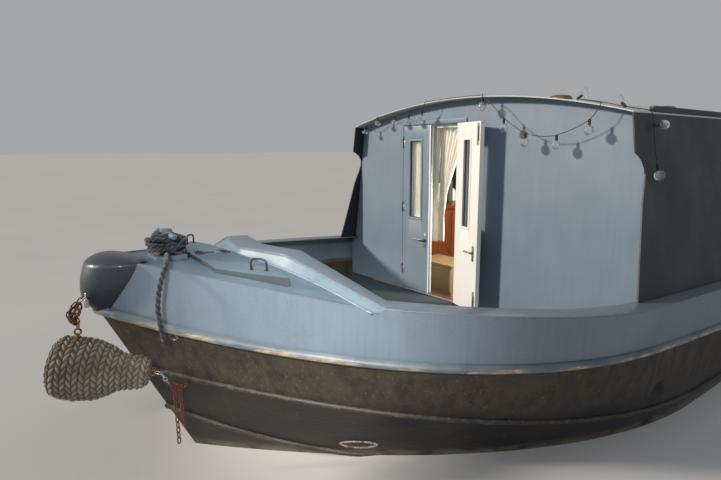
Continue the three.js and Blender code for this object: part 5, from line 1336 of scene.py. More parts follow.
class HOUSEBOAT_OT_cap(Piece, bpy.types.Operator):
    """Cap rail: flat bar with softened edges round the well, the side decks and the stern and over the
    coaming, its butt joints welded and ground"""
    bl_idname = "houseboat.cap"
    bl_label = "Cap rail"

    def build(self, sizes):
        outer, inner = cap_line()
        across = unit(inner - outer)
        width = np.linalg.norm(inner - outer, axis=1)
        r, t = 0.003, CAP_PLATE
        b = np.radians([0, 30, 60, 90])
        c, s = r * np.cos(b), r * np.sin(b)
        side = np.concatenate([r - s, r - c, s - r, c - r])
        high = np.concatenate([c - r, r - t - s, r - t - c, s - r])
        side = side + np.repeat([0, 0, 1, 1], 4) * width[:, None]
        points = outer[:, None] + side[..., None] * across[:, None] + high[:, None] * [0, 0, 1]
        whole = np.concatenate([points, points[1:-1][::-1] * MIRROR])
        parts = [surface(whole, wrap_u=True, wrap_v=True)]
        for x in CAP_JOINTS:
            i = int(np.argmin(np.abs(outer[:, 0] - x) + (outer[:, 1] < 1) * 9))
            bead = (np.linspace(outer[i] + across[i] * 0.004, inner[i] - across[i] * 0.004, 9)
                    - [0, 0, 0.0016])
            run = weld_bead(bead, 0.0034)
            parts += both_hands([run])
        make("cap_rail", parts, ["cap"], stands_for=["capping"], crease=40)


def coaming_grid(n=61):
    """Top and foot of the raked plate across the boat, each within the plating."""
    s = np.linspace(-1, 1, n)
    top_y, foot_y = COAMING["top_half"] * s, COAMING["foot_half"] * s
    rake = 0.020 + COAMING["rake"] * np.abs(s)
    top_x = coaming_x(top_y) - 0.009
    foot_x = top_x + rake
    top = xyz(top_x, top_y, coaming_z(top_y) - CAP_PLATE + 0.001)
    foot = xyz(foot_x, foot_y, foredeck_z(foot_x, foot_y) - 0.002)
    return top, foot


class HOUSEBOAT_OT_coaming(Piece, bpy.types.Operator):
    """Raked coaming plate between cap and foredeck, with weld runs along its foot and under the cap"""
    bl_idname = "houseboat.coaming"
    bl_label = "Coaming"

    def build(self, sizes):
        top, foot = coaming_grid()
        back = np.array([0.0125, 0, 0])
        rows = np.stack([foot - back, foot, foot + (top - foot) * 0.33, foot + (top - foot) * 0.66, top,
                         top - back])
        parts = [skin(np.transpose(rows, (1, 0, 2))),
                 # Weld runs take the lighter bulkhead enamel (material 1): a painted highlight along the
                 # coaming's foot and under the cap.
                 weld_bead(foot + [0.003, 0, 0.005], 1.5 * sizes.weld, 1),
                 weld_bead(top + [0.003, 0, -0.003], sizes.weld, 1)]
        x = np.array([foot[-1, 0] + 0.002, FOOT_X - 0.003, FOOT_X - 0.003])
        cheek = xyz(x, half_beam(x, "strake") - 0.0008,
                    [deck_edge_z(x[0]) + 0.004, deck_edge_z(x[1]) - 0.02,
                     cap_z(x[2]) - CAP_PLATE])
        cheek = skin([cheek, cheek - [0, 0.012, 0]], 2)
        parts += both_hands([cheek])
        make("coaming_plate", parts, ["coaming", "bulkhead", "topside"],
             stands_for=["coaming"], crease=40)


HATCH = {"aft": BULKHEAD_X + 2.350, "aft_half": 0.740, "fore": BULKHEAD_X + 2.596, "fore_half": 0.425}
LID_LAP, LID_GAP = 0.025, 0.022


def lid_x(share):
    """Place along a hatch leaf, from its aft edge to its fore edge."""
    return HATCH["aft"] - LID_LAP + (HATCH["fore"] + 0.045 - HATCH["aft"]) * share


class HOUSEBOAT_OT_foredeck(Piece, bpy.types.Operator):
    """Cambered foredeck in three fields round the hatch, with a flat edge bar welded along both sides"""
    bl_idname = "houseboat.foredeck"
    bl_label = "Foredeck"

    def build(self, sizes):
        inset = 0.020

        def field(a, b, c, d, n=14, m=16):
            """Patch over the cambered deck: a to b along one end, c to d along the other."""
            u, v = np.linspace(0, 1, n)[:, None, None], np.linspace(0, 1, m)[None, :, None]
            xy = (1 - u) * ((1 - v) * a + v * b) + u * ((1 - v) * c + v * d)
            limit = half_beam(xy[..., 0], "strake", inset)
            xy[..., 1] = np.clip(xy[..., 1], -limit, limit)
            return surface(np.dstack([xy, foredeck_z(xy[..., 0], xy[..., 1]) + 0.0007]))
        aft_x, fore_x = HATCH["aft"] + 0.006, HATCH["fore"] - 0.006
        aft_y, fore_y = HATCH["aft_half"] - 0.006, HATCH["fore_half"] - 0.006
        parts = []
        wing, middle_x, tip = 1.17, 6.597, BULKHEAD_X + 3.06
        edge_y = lambda x: float(half_beam(x, "strake"))
        for side in (1, -1):
            for corners, n, m in (
                    (((middle_x, 0.0), (float(coaming_x(wing)) - 0.02, wing), (aft_x, 0.0),
                      (aft_x, edge_y(aft_x))), 12, 22),
                    (((aft_x, aft_y), (aft_x, edge_y(aft_x)), (fore_x, fore_y), (fore_x, edge_y(fore_x))),
                     10, 12),
                    (((fore_x, 0.0), (fore_x, edge_y(fore_x)), (tip, 0.0), (tip, edge_y(tip))), 18, 16)):
                parts.append(field(*(np.array(p) * [1, side] for p in corners), n=n, m=m))
        for part in parts:
            face_up(part, 1)
        x = np.linspace(FOOT_X + 0.03, BULKHEAD_X + 2.93, 60)
        y = half_beam(x, "strake", 0.034)
        edge = xyz(x, y, deck_edge_z(x))
        slope = unit(np.gradient(edge, axis=0))
        inward = unit(np.cross(slope, [0, 0, 1]))
        inward = np.where((inward[:, 1] > 0)[:, None], -inward, inward)
        high = np.linspace(0.017, 0.007, 60)[:, None]
        out = np.array([[0.016, 0.016, 0.014, -0.014, -0.016, -0.016]])
        up = np.hstack([high * 0 - 0.004, high - 0.002, high, high, high - 0.002, high * 0 - 0.004])
        bar = along_path(edge, out, up, -inward, np.broadcast_to([0, 0, 1.0], edge.shape))
        parts += both_hands([bar])
        make("foredeck_plate", parts, ["deck"], crease=40)
        dress("foredeck", "deck")


class HOUSEBOAT_OT_hatch(Piece, bpy.types.Operator):
    """Two steel leaves over the foredeck hatch: turned-down edges painted dark as the shade under the leaf,
    strap hinges inboard, bar handles
    """
    bl_idname = "houseboat.hatch"
    bl_label = "Foredeck hatch"

    def build(self, sizes):
        def lid(u, v):
            """Point of the port leaf's top: u runs forward, v outwards."""
            x = lid_x(u)
            aft_half, fore_half = HATCH["aft_half"] + LID_LAP, HATCH["fore_half"] + 0.020
            half = aft_half + (fore_half - aft_half) * u
            y = LID_GAP + (half - LID_GAP) * v
            middle = foredeck_z(x, 0)
            z = middle + 0.026 - (0.55 + 0.45 * u) * (middle - foredeck_z(x, y))
            return xyz(x, y, z)
        u, v = np.meshgrid(np.linspace(0, 1, 16), np.linspace(0, 1, 26), indexing="ij")
        top = lid(u, v)
        edge = np.concatenate([top[0], top[1:, -1], top[-1, :-1][::-1], top[1:-1, 0][::-1]])
        middle = edge.mean(0)
        inward = unit((middle - edge) * [1, 1, 0])
        deck = xyz(edge[:, 0], edge[:, 1], foredeck_z(edge[:, 0], edge[:, 1]) + 0.0035)
        skirt = np.minimum(deck[:, 2], edge[:, 2] - 0.010)
        under = [edge, edge - inward * 0.0016 - [0, 0, 0.0016],
                 np.column_stack([(edge - inward * 0.002)[:, :2], edge[:, 2] - 0.004]),
                 np.column_stack([(edge - inward * 0.002)[:, :2], skirt]),
                 np.column_stack([(edge + inward * 0.003)[:, :2], skirt]),
                 np.column_stack([(edge + inward * 0.003)[:, :2], edge[:, 2] - 0.008])]
        # The turned-down edge (material 2) takes the dark well paint: painted shade in the gap under the
        # leaf.
        grid = [surface(top), surface(under, wrap_v=True, material=2), surface((top - [0, 0, 0.009])[::-1])]
        grip, far = lid(np.array(0.16), np.array(0.82)), lid(np.array(0.36), np.array(0.82))
        along = unit((lid(np.array(0.5), np.array(0.82)) - grip) * [1, 1, 0]) * 0.090
        far = np.array([*(grip + along)[:2], far[2]])
        rise = np.array([0, 0, 0.062])
        grid.append(bent([grip - [0, 0, 0.004], grip + 0.75 * rise, grip + rise + 0.12 * along,
                          far + rise - 0.12 * along, far + 0.75 * rise, far - [0, 0, 0.004]], 0.006, 12,
                          material=1))
        grid += [lathe([[0.0005, 0.0035], [0.010, 0.003], [0.013, 0.0005], [0.013, -0.002],
                        [0.0005, -0.002]], p, sides=16, material=1)
                 for p in (grip, far)]
        for share in (0.12, 0.70):
            ends = []
            for k in (share, share + 0.17):
                x = lid_x(k)
                ends.append(np.array([x, 0.010, float(foredeck_z(x, 0)) + 0.028]))
            a, b = ends
            grid.append(rod(a, b, 0.0072, 16, 1))
            grid.append(plate((0, np.linalg.norm(b - a), 0.004, 0.052), None, 0, 0.005,
                              a - [0, 0, 0.0015],
                              [unit(b - a), unit([0, 1, -0.06]), unit(np.cross(b - a, [0, 1, -0.06]))],
                              material=1))
            grid += [lathe([[0.0005, 0.0075], [0.005, 0.0068], [0.0065, 0.003]],
                           a + (b - a) * k + [0, 0.036, -0.0015], sides=12, material=1)
                     for k in (0.25, 0.75)]
        face_up(grid[0], 1)
        face_up(grid[2], -1)
        for side, body in ((1, "foredeck_hatch_port"), (-1, "foredeck_hatch_starboard")):
            make(body + "_leaf", handed(grid, side), ["deck", "black_steel", "well"], body=body,
                 stands_for=[body], crease=35)


STUD_X = BULKHEAD_X + 2.750
STUD_FOOT, STUD_PLATE = 0.095, 0.012


def stud(x, y, z, height=0.170):
    """Mooring stud: square foot, post with a fillet and a domed top, cross bar with rounded ends."""
    fillet = np.linspace(0, np.pi / 2, 6)
    foot_z = z + STUD_PLATE
    profile = np.vstack([
        [[0.0005, foot_z - 0.004], [0.052, foot_z - 0.002]],
        np.column_stack([0.052 - 0.014 * np.sin(fillet), foot_z + 0.014 - 0.014 * np.cos(fillet)]),
        [[0.0378, z + height - 0.012], [0.0355, z + height - 0.004], [0.029, z + height - 0.0005],
         [0.0005, z + height]]])
    arm = [[0.0005, -0.165], [0.012, -0.1645], [0.017, -0.161], [0.0188, -0.155], [0.0188, 0.155],
           [0.017, 0.161], [0.012, 0.1645], [0.0005, 0.165]]
    return [lathe(profile, (x, y, 0), sides=32), lathe(arm, (x, y, z + height - 0.032), (0, 1, 0), 24),
            block((x - STUD_FOOT, y - STUD_FOOT, z - 0.02), (x + STUD_FOOT, y + STUD_FOOT, foot_z), 0.004)]


class HOUSEBOAT_OT_studs(Piece, bpy.types.Operator):
    """Mooring studs with a cross bar: a painted one on the foredeck, a black one on each quarter"""
    bl_idname = "houseboat.studs"
    bl_label = "Mooring studs"

    def build(self, sizes):
        z = float(foredeck_z(STUD_X, 0.0)) + 0.014
        make("tee_stud_bow", stud(STUD_X, 0, z), ["cap"], stands_for=["tee_stud"])
        for node in ("stern_stud_port", "stern_stud_starboard"):
            low, high = (np.array(v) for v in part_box(node))
            middle = (low + high) / 2
            parts = stud(middle[0], middle[1], high[2] - 0.235, 0.235)
            make(node + "_casting", parts, ["black_steel"], stands_for=[node])


# Layers of rope on the stud: radius, turns, height at the start and at the end, first angle.
ROPE_LAYERS = ((0.055, 4, 0.022, 0.118, 0.0), (0.083, 3.8, 0.118, 0.024, 0.1),
               (0.1085, 2.9, 0.022, 0.104, 2.2))
# Last half turn over the bar and down, from the stud's middle.
BIGHT = np.array([
    [-0.062, -0.072, 0.128], [-0.03, -0.06, 0.146], [0.02, -0.035, 0.146], [0.052, 0.012, 0.146],
    [0.066, 0.062, 0.128], [0.040, 0.100, 0.116], [0.0, 0.108, 0.100], [-0.02, 0.106, 0.070],
    [0.010, 0.110, 0.040]])


class HOUSEBOAT_OT_rope_turns(Piece, bpy.types.Operator):
    """Mooring rope wound on the bow stud: three layers of a slightly wavering helix, 55 to 108 mm from its
    middle, then crossed turns over the bar"""
    bl_idname = "houseboat.rope_turns"
    bl_label = "Rope turns"

    def build(self, sizes):
        base = float(foredeck_z(STUD_X, 0.0)) + 0.026
        t = np.linspace(0, 1, 420)
        layers = []
        for radius, turns, low, high, start in ROPE_LAYERS:
            a = start + 2 * np.pi * turns * t
            wobble = 0.004 * np.sin(2.3 * a + radius * 90)
            z = base + low + (high - low) * t + 0.006 * np.sin(1.7 * a)
            layers.append(xyz(STUD_X + (radius + wobble) * np.cos(a), (radius + wobble) * np.sin(a), z))
        a = np.linspace(-0.3, 2 * np.pi * 1.9, 300)
        lift = 0.118 + 0.012 * np.cos(2 * a)
        cross = xyz(STUD_X + 0.071 * np.sin(a), 0.092 * np.cos(a) * np.abs(np.cos(a)) ** 0.3,
                    base + lift + 0.004 * np.sin(a))
        bight = spline(BIGHT + [STUD_X, 0, base - 0.014], 14)
        parts = [laid_rope(path, sizes.cord_radius * 0.97, sizes.rope_lay, 16)
                 for path in (*layers, cross, bight)]
        make("rope_turns_on_stud", parts, ["rope_blue"], stands_for=["rope_turns"],
             crease=80, merge=1e-6)


# Fender: along from the nose and radius, in metres
FENDER = np.array([
    [0, 0], [6, 95], [16, 142], [44, 170], [110, 180], [200, 179], [270, 165], [330, 140], [380, 115],
    [430, 104], [500, 98], [540, 74], [556, 0]]) / 1000 * [0.95, 1.0]
FENDER_NOSE = spot([3438, 67, 316])
FENDER_TAIL = spot([2985, 305, 235])
LUMP_WIDTH, LUMP_DEPTH = 0.042, 0.017


class HOUSEBOAT_OT_fender(Piece, bpy.types.Operator):
    """Bow fender hitched from rope: rows along its length, each a ring of slanted lumps shifted by half
    against the last; height of a lump = sqrt(sin of the row) times a raised cosine round the ring, each
    lump of its own size"""
    bl_idname = "houseboat.fender"
    bl_label = "Bow fender"

    def build(self, sizes):
        outline = spline(np.column_stack([FENDER, np.zeros(len(FENDER))]), 30)
        outline[:, 1] = np.maximum(outline[:, 1], 0.0)
        outline = even(outline, 0.0021)
        run = distances(outline)
        s, r = outline[:, 0], outline[:, 1]
        rows = int(round(run[-1] / sizes.fender_row))
        place = run / run[-1] * rows
        row = np.minimum(place.astype(int), rows - 1)
        share = place - row
        middle_r = np.interp((row + 0.5) / rows * run[-1], run, r)
        count = np.maximum(np.round(2 * np.pi * middle_r / LUMP_WIDTH), 4)
        a = angles(300)
        slant = 0.85 * (share[:, None] - 0.5) * np.where(row % 2, 1, -1)[:, None]
        phase = a[None] * count[:, None] / (2 * np.pi) + 0.5 * row[:, None] + slant
        phase += 0.07 * np.sin(7.3 * row + 1.7)[:, None] + 0.05 * np.sin(3 * a + 1.9 * row[:, None])
        lump = np.sin(np.pi * np.clip(share, 0, 1)) ** 0.5
        wave = (0.5 + 0.5 * np.cos(2 * np.pi * phase)) ** 0.55
        shift = np.sin(row[:, None] * 12.9898 + np.floor(phase) * 78.233) * 43758.5453
        uneven = 0.58 + 0.42 * (shift - np.floor(shift))
        bump = lump[:, None] * (0.22 + 0.78 * wave) * uneven
        depth = LUMP_DEPTH * np.clip(r / 0.09, 0, 1)[:, None]
        radius = np.maximum(r[:, None] - depth * (1 - bump), 0.0004)
        axis = unit(FENDER_TAIL - FENDER_NOSE)
        side = unit(np.cross(axis, [0, 0, 1]))
        up = np.cross(side, axis)
        sag = 0.006 * np.sin(np.pi * s / s[-1])
        centre = FENDER_NOSE + s[:, None] * axis - sag[:, None] * [0, 0, 1]
        points = (centre[:, None] + (radius * np.cos(a))[..., None] * side
                  + (radius * np.sin(a))[..., None] * up)
        parts = [surface(points, wrap_v=True, caps=True, proud=bump)]
        for lug in (TOP_LUG, TAIL_LUG):
            tip, inward = spot(lug[0]), unit(np.array(lug[1]))
            eye = unit(np.cross(inward, [0.2, 1, 0.1]))
            turn = angles(24)
            loop = (tip + inward * 0.012 + 0.016
                    * (np.outer(np.cos(turn), inward) + np.outer(np.sin(turn), eye)))
            parts.append(tube(loop, 0.0055, 12, closed=True, material=1))
            parts.append(rod(tip + inward * 0.022, tip + inward * 0.065, 0.009, 14, 1))
        make("bow_fender_rope", parts, ["hemp", "rusty"], stands_for=["bow_fender"],
             crease=70)


# ---------------------------------------------------------------- chains

# Lugs: place and direction inwards.
STEM_LUG = ([3246, 34, 660], [-0.75, -0.1, 0.66])
TOP_LUG = ([3300, 136, 512], [0.1, 0, -1])
TAIL_LUG = ([2962, 317, 231], [0.87, -0.47, 0.15])
HULL_LUG = ([2752, 226, 70], [-0.35, -1, -0.1])
# Extra turns of chain knotted under the stem head.
KNOT = (
    [[3262, 60, 640], [3286, 88, 604], [3306, 62, 566], [3294, 104, 534]],
    [[3272, 18, 636], [3318, 44, 600], [3330, 92, 566], [3302, 138, 538]],
    [[3268, 50, 632], [3280, 110, 596], [3312, 96, 556], [3290, 92, 530]],
)
# Links: thickness of the bar, distance from link to link, inside width, how far they sit into each other.
CHAIN = {"bar": 0.008, "pitch": 0.034, "width": 0.012, "seat": 0.0006}


def off_lug(lug, distance):
    """Point off a lug's face, square to it."""
    return spot(lug[0]) - unit(np.array(lug[1])) * distance / 1000


def chain(route, first_bright=0):
    """Welded links along a route, each turned a quarter against the last: a bar bent to a long ring."""
    path = spline(route, 60)
    s = distances(path)
    reach = s[-1] - 2 * (CHAIN["bar"] - CHAIN["seat"])
    count = max(int(round(reach / CHAIN["pitch"])), 1)
    pitch = reach / count
    turn = np.linspace(-np.pi / 2, np.pi / 2, 7)
    bend = (CHAIN["width"] + CHAIN["bar"]) / 2
    half = (pitch + CHAIN["bar"]) / 2 - CHAIN["seat"]
    links = []
    for i in range(count):
        at = CHAIN["bar"] - CHAIN["seat"] + (i + 0.5) * pitch
        centre, a, b = (np.array([np.interp(v, s, path[:, k]) for k in range(3)])
                        for v in (at, at - 0.002, at + 0.002))
        along = unit(b - a)
        side = unit(np.cross(along, [1, 0.4, 0] if abs(along[0]) < 0.9 else [0, 1, 0]))
        across = side if i % 2 else unit(np.cross(side, along))
        ring = [centre + along * end * (half - bend)
                + bend * (np.cos(v) * end * along + np.sin(v) * end * across)
                for end in (1, -1) for v in turn]
        links.append(tube(np.array(ring), CHAIN["bar"] / 2 * 0.98, 8, closed=True,
                          material=0 if i >= first_bright else 1))
    return links


def shackle(at, along, across, length=0.044, width=0.026, bar=0.0048):
    """Bow of bent bar with a pin through its eyes."""
    along, across = unit(np.asarray(along, float)), unit(np.asarray(across, float))
    pin, half = at - along * length * 0.6, width / 2
    turn = np.linspace(-0.5 * np.pi, 0.5 * np.pi, 11)
    bend = [at + along * half * np.cos(v) + across * half * np.sin(v) for v in turn]
    bow = [pin - across * half, *bend, pin + across * half]
    return [tube(np.array(bow), bar, 10, material=1),
            rod(pin - across * (width * 0.75), pin + across * (width * 0.75), bar * 0.9, 12, 1),
            rod(pin + across * width * 0.66, pin + across * width * 0.88, bar * 1.9, 6, 1)]


class HOUSEBOAT_OT_chains(Piece, bpy.types.Operator):
    """Chains that hold the fender, rusted, with zinc shackles, their lugs on the stem and the plating"""
    bl_idname = "houseboat.chains"
    bl_label = "Fender chains"

    def build(self, sizes):
        taut = [off_lug(STEM_LUG, 0.3), off_lug(STEM_LUG, 25), spot([3290, 70, 590]), off_lug(TOP_LUG, 25),
                off_lug(TOP_LUG, 0.6)]
        slack = spot([[3266, 42, 641], [3304, 32, 590], [3322, 78, 556], [3304, 128, 542]])
        stem = spot(STEM_LUG[0])
        parts = sum((chain(route) for route in (taut, slack, *map(spot, KNOT))), [])
        lock = stem + [-0.006, 0.066, -0.016]
        parts += [block(lock - [0.010, 0.021, 0.024], lock + [0.010, 0.021, 0.022], 0.004, 1),
                  *shackle(lock + [0, 0, 0.044], [0, 0, 1], [0.1, 1, 0], 0.036, 0.026, 0.0042)]
        parts += shackle(stem + [0.004, 0.006, -0.010], [0.75, 0.1, -0.66], [0.1, 1, 0.2])
        parts.append(rod(stem, stem - unit(np.array(STEM_LUG[1])) * -0.05, 0.0098, 16, 0))
        make("stem_chain_links", parts, ["chain", "zinc"],
             stands_for=["fender_chain_stem"], crease=60)
        run = [off_lug(TAIL_LUG, 0.3), off_lug(TAIL_LUG, 30), spot([2860, 285, 112]), off_lug(HULL_LUG, 25),
               off_lug(HULL_LUG, 0.3)]
        loose = spot([[2852, 282, 116], [2847, 284, 20], [2842, 286, -120], [2840, 286, -270]])
        short = spot([[2812, 262, 100], [2808, 272, 20], [2806, 276, -80], [2806, 277, -170]])
        parts = chain(run, 4) + chain(loose) + chain(short)
        tip = spot(HULL_LUG[0])
        inward = unit(np.array(HULL_LUG[1]))
        out = -unit(np.array([-0.42, -0.90, -0.1]))
        level = unit(np.cross(out, [0, 0, 1]))
        basis = [level, np.cross(level, -out), out]
        parts.append(rod(tip, tip + inward * 0.07, 0.0098, 16, 0))
        pad, base = angles(40), tip + inward * 0.050
        parts.append(skin([base + xyz(0.085 * np.cos(pad) * k, 0.045 * np.sin(pad) * k, h) @ np.array(basis)
                           for k, h in ((1.0, -0.012), (1.0, 0.003), (0.96, 0.006), (0.3, 0.006))], 2))
        make("tail_chain_links", parts, ["chain", "zinc", "rusty"],
             stands_for=["fender_chain_tail"], crease=60)


# ---------------------------------------------------------------- cabin

# Windows of each side: middle along the boat and width, in metres.
WINDOWS = ((1.350, 1.000), (-0.500, 1.000), (-2.350, 1.000), (-4.000, 0.700))
WINDOW_LOW, WINDOW_HIGH = SILL_Z + 0.820, SILL_Z + 1.340
WINDOW_SCREWS = 9
# Outer frame, lining and seal: growth of outline and hole from the opening, inner and outer face, corner
# radii of outline and hole, bevel, material.
WINDOW_RINGS = (
    (0.034, -0.012, -0.0005, 0.0065, 0.120, 0.078, 0.002, 0),
    (-0.0005, -0.016, -0.059, 0.0, 0.089, 0.074, 0.002, 0),
    (-0.010, -0.022, -0.024, -0.006, 0.080, 0.068, 0.003, 1),
)


class HOUSEBOAT_OT_windows(Piece, bpy.types.Operator):
    """Cabin side windows: metal frames with rounded corners, screwed on the leaning sides, rubber seals,
    tinted panes"""
    bl_idname = "houseboat.windows"
    bl_label = "Cabin windows"

    def build(self, sizes):
        lean = unit(np.array([0, -TUMBLEHOME, 1.0]))
        out = unit(np.array([0, 1.0, TUMBLEHOME]))
        origin = np.array([0, float(side_y(WINDOW_LOW)), WINDOW_LOW])
        axes = [[1, 0, 0], lean, out]
        height = (WINDOW_HIGH - WINDOW_LOW) / lean[2]
        frames, panes = [], []
        for x, width in WINDOWS:
            opening = (x - width / 2, x + width / 2, 0, height)
            for outer, inner, low, high, corner, inner_corner, bevel, material in WINDOW_RINGS:
                frames.append(plate(grown(opening, outer), grown(opening, inner), low, high, origin, axes,
                                    corner, inner_corner, bevel, material, 10))
            bar_z = height * 0.68
            frames.append(plate((opening[0] + 0.014, opening[1] - 0.014, bar_z - 0.011, bar_z + 0.011),
                                None, -0.034, -0.006, origin, axes, 0.002, 0.002, 0.002))
            panes.append(plate(grown(opening, -0.014), None, -0.020, -0.014, origin, axes, 0.076, 0.076,
                               0.001, 0, 10))
            for k in range(WINDOW_SCREWS):
                for b in (-0.018, height + 0.018):
                    a = opening[0] + 0.06 + (width - 0.12) * k / (WINDOW_SCREWS - 1)
                    at = origin + np.array([a, b, 0.0062]) @ np.array(axes)
                    frames.append(lathe([[0.0004, 0.0022], [0.0032, 0.0018], [0.0045, 0.0]], at, out, 10))
        make("window_frames", both_hands(frames), ["frame_metal", "gasket"],
             crease=40)
        make("window_panes", both_hands(panes), ["dark_glass"],
             stands_for=["glazing_port", "glazing_starboard"])
        for node in ("cabin_side_port", "cabin_side_starboard"):
            dress(node, "side")


VENTS = 3
# Mushroom vent: radius and height.
VENT = np.array([
    [0.5, 0], [94, 0], [95, 3], [94, 8], [84, 11], [64, 13], [60, 18], [60, 60], [66, 62], [119, 64],
    [122, 68], [121, 76], [112, 92], [92, 102], [60, 108], [30, 112], [0.5, 114]]) / 1000


class HOUSEBOAT_OT_roof(Piece, bpy.types.Operator):
    """Arched roof plate that runs out as a hood, its lining, the side rails and the mushroom vents"""
    bl_idname = "houseboat.roof"
    bl_label = "Roof"

    def build(self, sizes):
        def arch(x0, x1, half, under, thick, n=64, m=40):
            """Plate over the cabin between two places along it, some way under the roof's face."""
            y, b, over = np.linspace(-half, half, n), 0.002, under + thick
            x = np.linspace(x0 + b, x1 - b, m)[1:-1]
            line = [(x0, over - b), (x0, under + b), (x0 + b, under), *((v, under) for v in x),
                    (x1 - b, under), (x1, under + b), (x1, over - b), (x1 - b, over),
                    *((v, over) for v in x[::-1]), (x0 + b, over)]
            return skin(np.stack([xyz(v, y, roof_z(y, depth)) for v, depth in line], axis=1))
        hood = arch(CABIN_AFT_X - 0.040, HOOD_X, ROOF_HALF, 0.0, 0.010)
        lining = arch(CABIN_AFT_X + 0.061, BULKHEAD_X - 0.060, ROOF_HALF - 0.012, 0.0105, 0.0395)
        make("roof_plate", [hood, lining], ["roof"], stands_for=["roof"], crease=40)
        y0, y1 = ROOF_HALF - 0.0445, ROOF_HALF - 0.0015
        z0, z1 = float(roof_z(y0)) + 0.0003, ROOF_EDGE_Z + 0.0465
        section = rounded([[y0, z0], [y1, float(roof_z(y1)) + 0.0003], [y1 - 0.004, z1], [y0, z1]], 0.006,
                          4)
        x = np.concatenate([[CABIN_AFT_X + 0.1505, CABIN_AFT_X + 0.152],
                            np.linspace(CABIN_AFT_X + 0.2, BULKHEAD_X - 0.25, 30),
                            [BULKHEAD_X - 0.192, BULKHEAD_X - 0.1905]])
        size_of = np.ones(len(x))
        size_of[[0, -1]] = 0.86
        middle = section.mean(0)
        ring = np.stack([np.column_stack([np.full(len(section), xx), (section - middle) * k + middle])
                         for xx, k in zip(x, size_of)])
        rails = [skin(ring)]
        make("roof_rails", both_hands(rails), ["side"],
             stands_for=["roof_rail_port", "roof_rail_starboard"])
        for i in range(1, VENTS + 1):
            low, high = (np.array(v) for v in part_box(f"roof_vent_{i}"))
            top = high[2] - low[2]
            mid_x, mid_y = (low[:2] + high[:2]) / 2
            parts = [lathe(VENT * [1, top / VENT[-1, 1]], (mid_x, mid_y, low[2]), sides=56)]
            parts += [lathe([[0.0004, 0.0038], [0.004, 0.003], [0.0055, 0.0]],
                            (mid_x + 0.078 * math.cos(a), mid_y + 0.078 * math.sin(a), low[2] + 0.0105),
                            sides=10) for a in np.arange(6) * math.pi / 3]
            make(f"mushroom_vent_{i}", parts, ["brass"], stands_for=[f"roof_vent_{i}"])


# ---------------------------------------------------------------- doors

CURTAIN_X = BULKHEAD_X - 0.120
DOORWAY = {"low": SILL_Z, "high": SILL_Z + 1.765, "starboard": -0.904, "port": -0.012}
HINGE_X, REAR_HINGE_X = BULKHEAD_X + 0.020, CABIN_AFT_X - 0.020
PORT_HINGE_Y, STARBOARD_HINGE_Y, REAR_HINGE_Y = -0.057, -0.861, 0.440
LEAF_WIDTH = 0.398
FRONT_SPAN = (SILL_Z + 0.024, SILL_Z + 1.715)
REAR_SPAN = (SILL_Z + 0.148, SILL_Z + 1.782)
FRONT_WINDOW, REAR_WINDOW, REAR_SLOT = (0.930, 0.150), (1.090, 0.180), (0.130, 0.268)
# Leaves: node, hinge pin, way to the free edge, foot and head, turn at rest, way out of the cabin, finish
# of the outer face, the window's sides from the pin, its foot and head under the leaf's top.
LEAVES = (
    ("front_door_port", HINGE_X, PORT_HINGE_Y, -1, FRONT_SPAN, math.radians(161.5), 1, "white",
     (0.130, 0.244), FRONT_WINDOW),
    ("front_door_starboard", HINGE_X, STARBOARD_HINGE_Y, 1, FRONT_SPAN, 0.0, 1, "leaf", (0.104, 0.270),
     FRONT_WINDOW),
    ("rear_door_port", REAR_HINGE_X, REAR_HINGE_Y, -1, REAR_SPAN, 0.0, -1, "side", REAR_SLOT, REAR_WINDOW),
    ("rear_door_starboard", REAR_HINGE_X, -REAR_HINGE_Y, 1, REAR_SPAN, 0.0, -1, "side", REAR_SLOT,
     REAR_WINDOW),
)


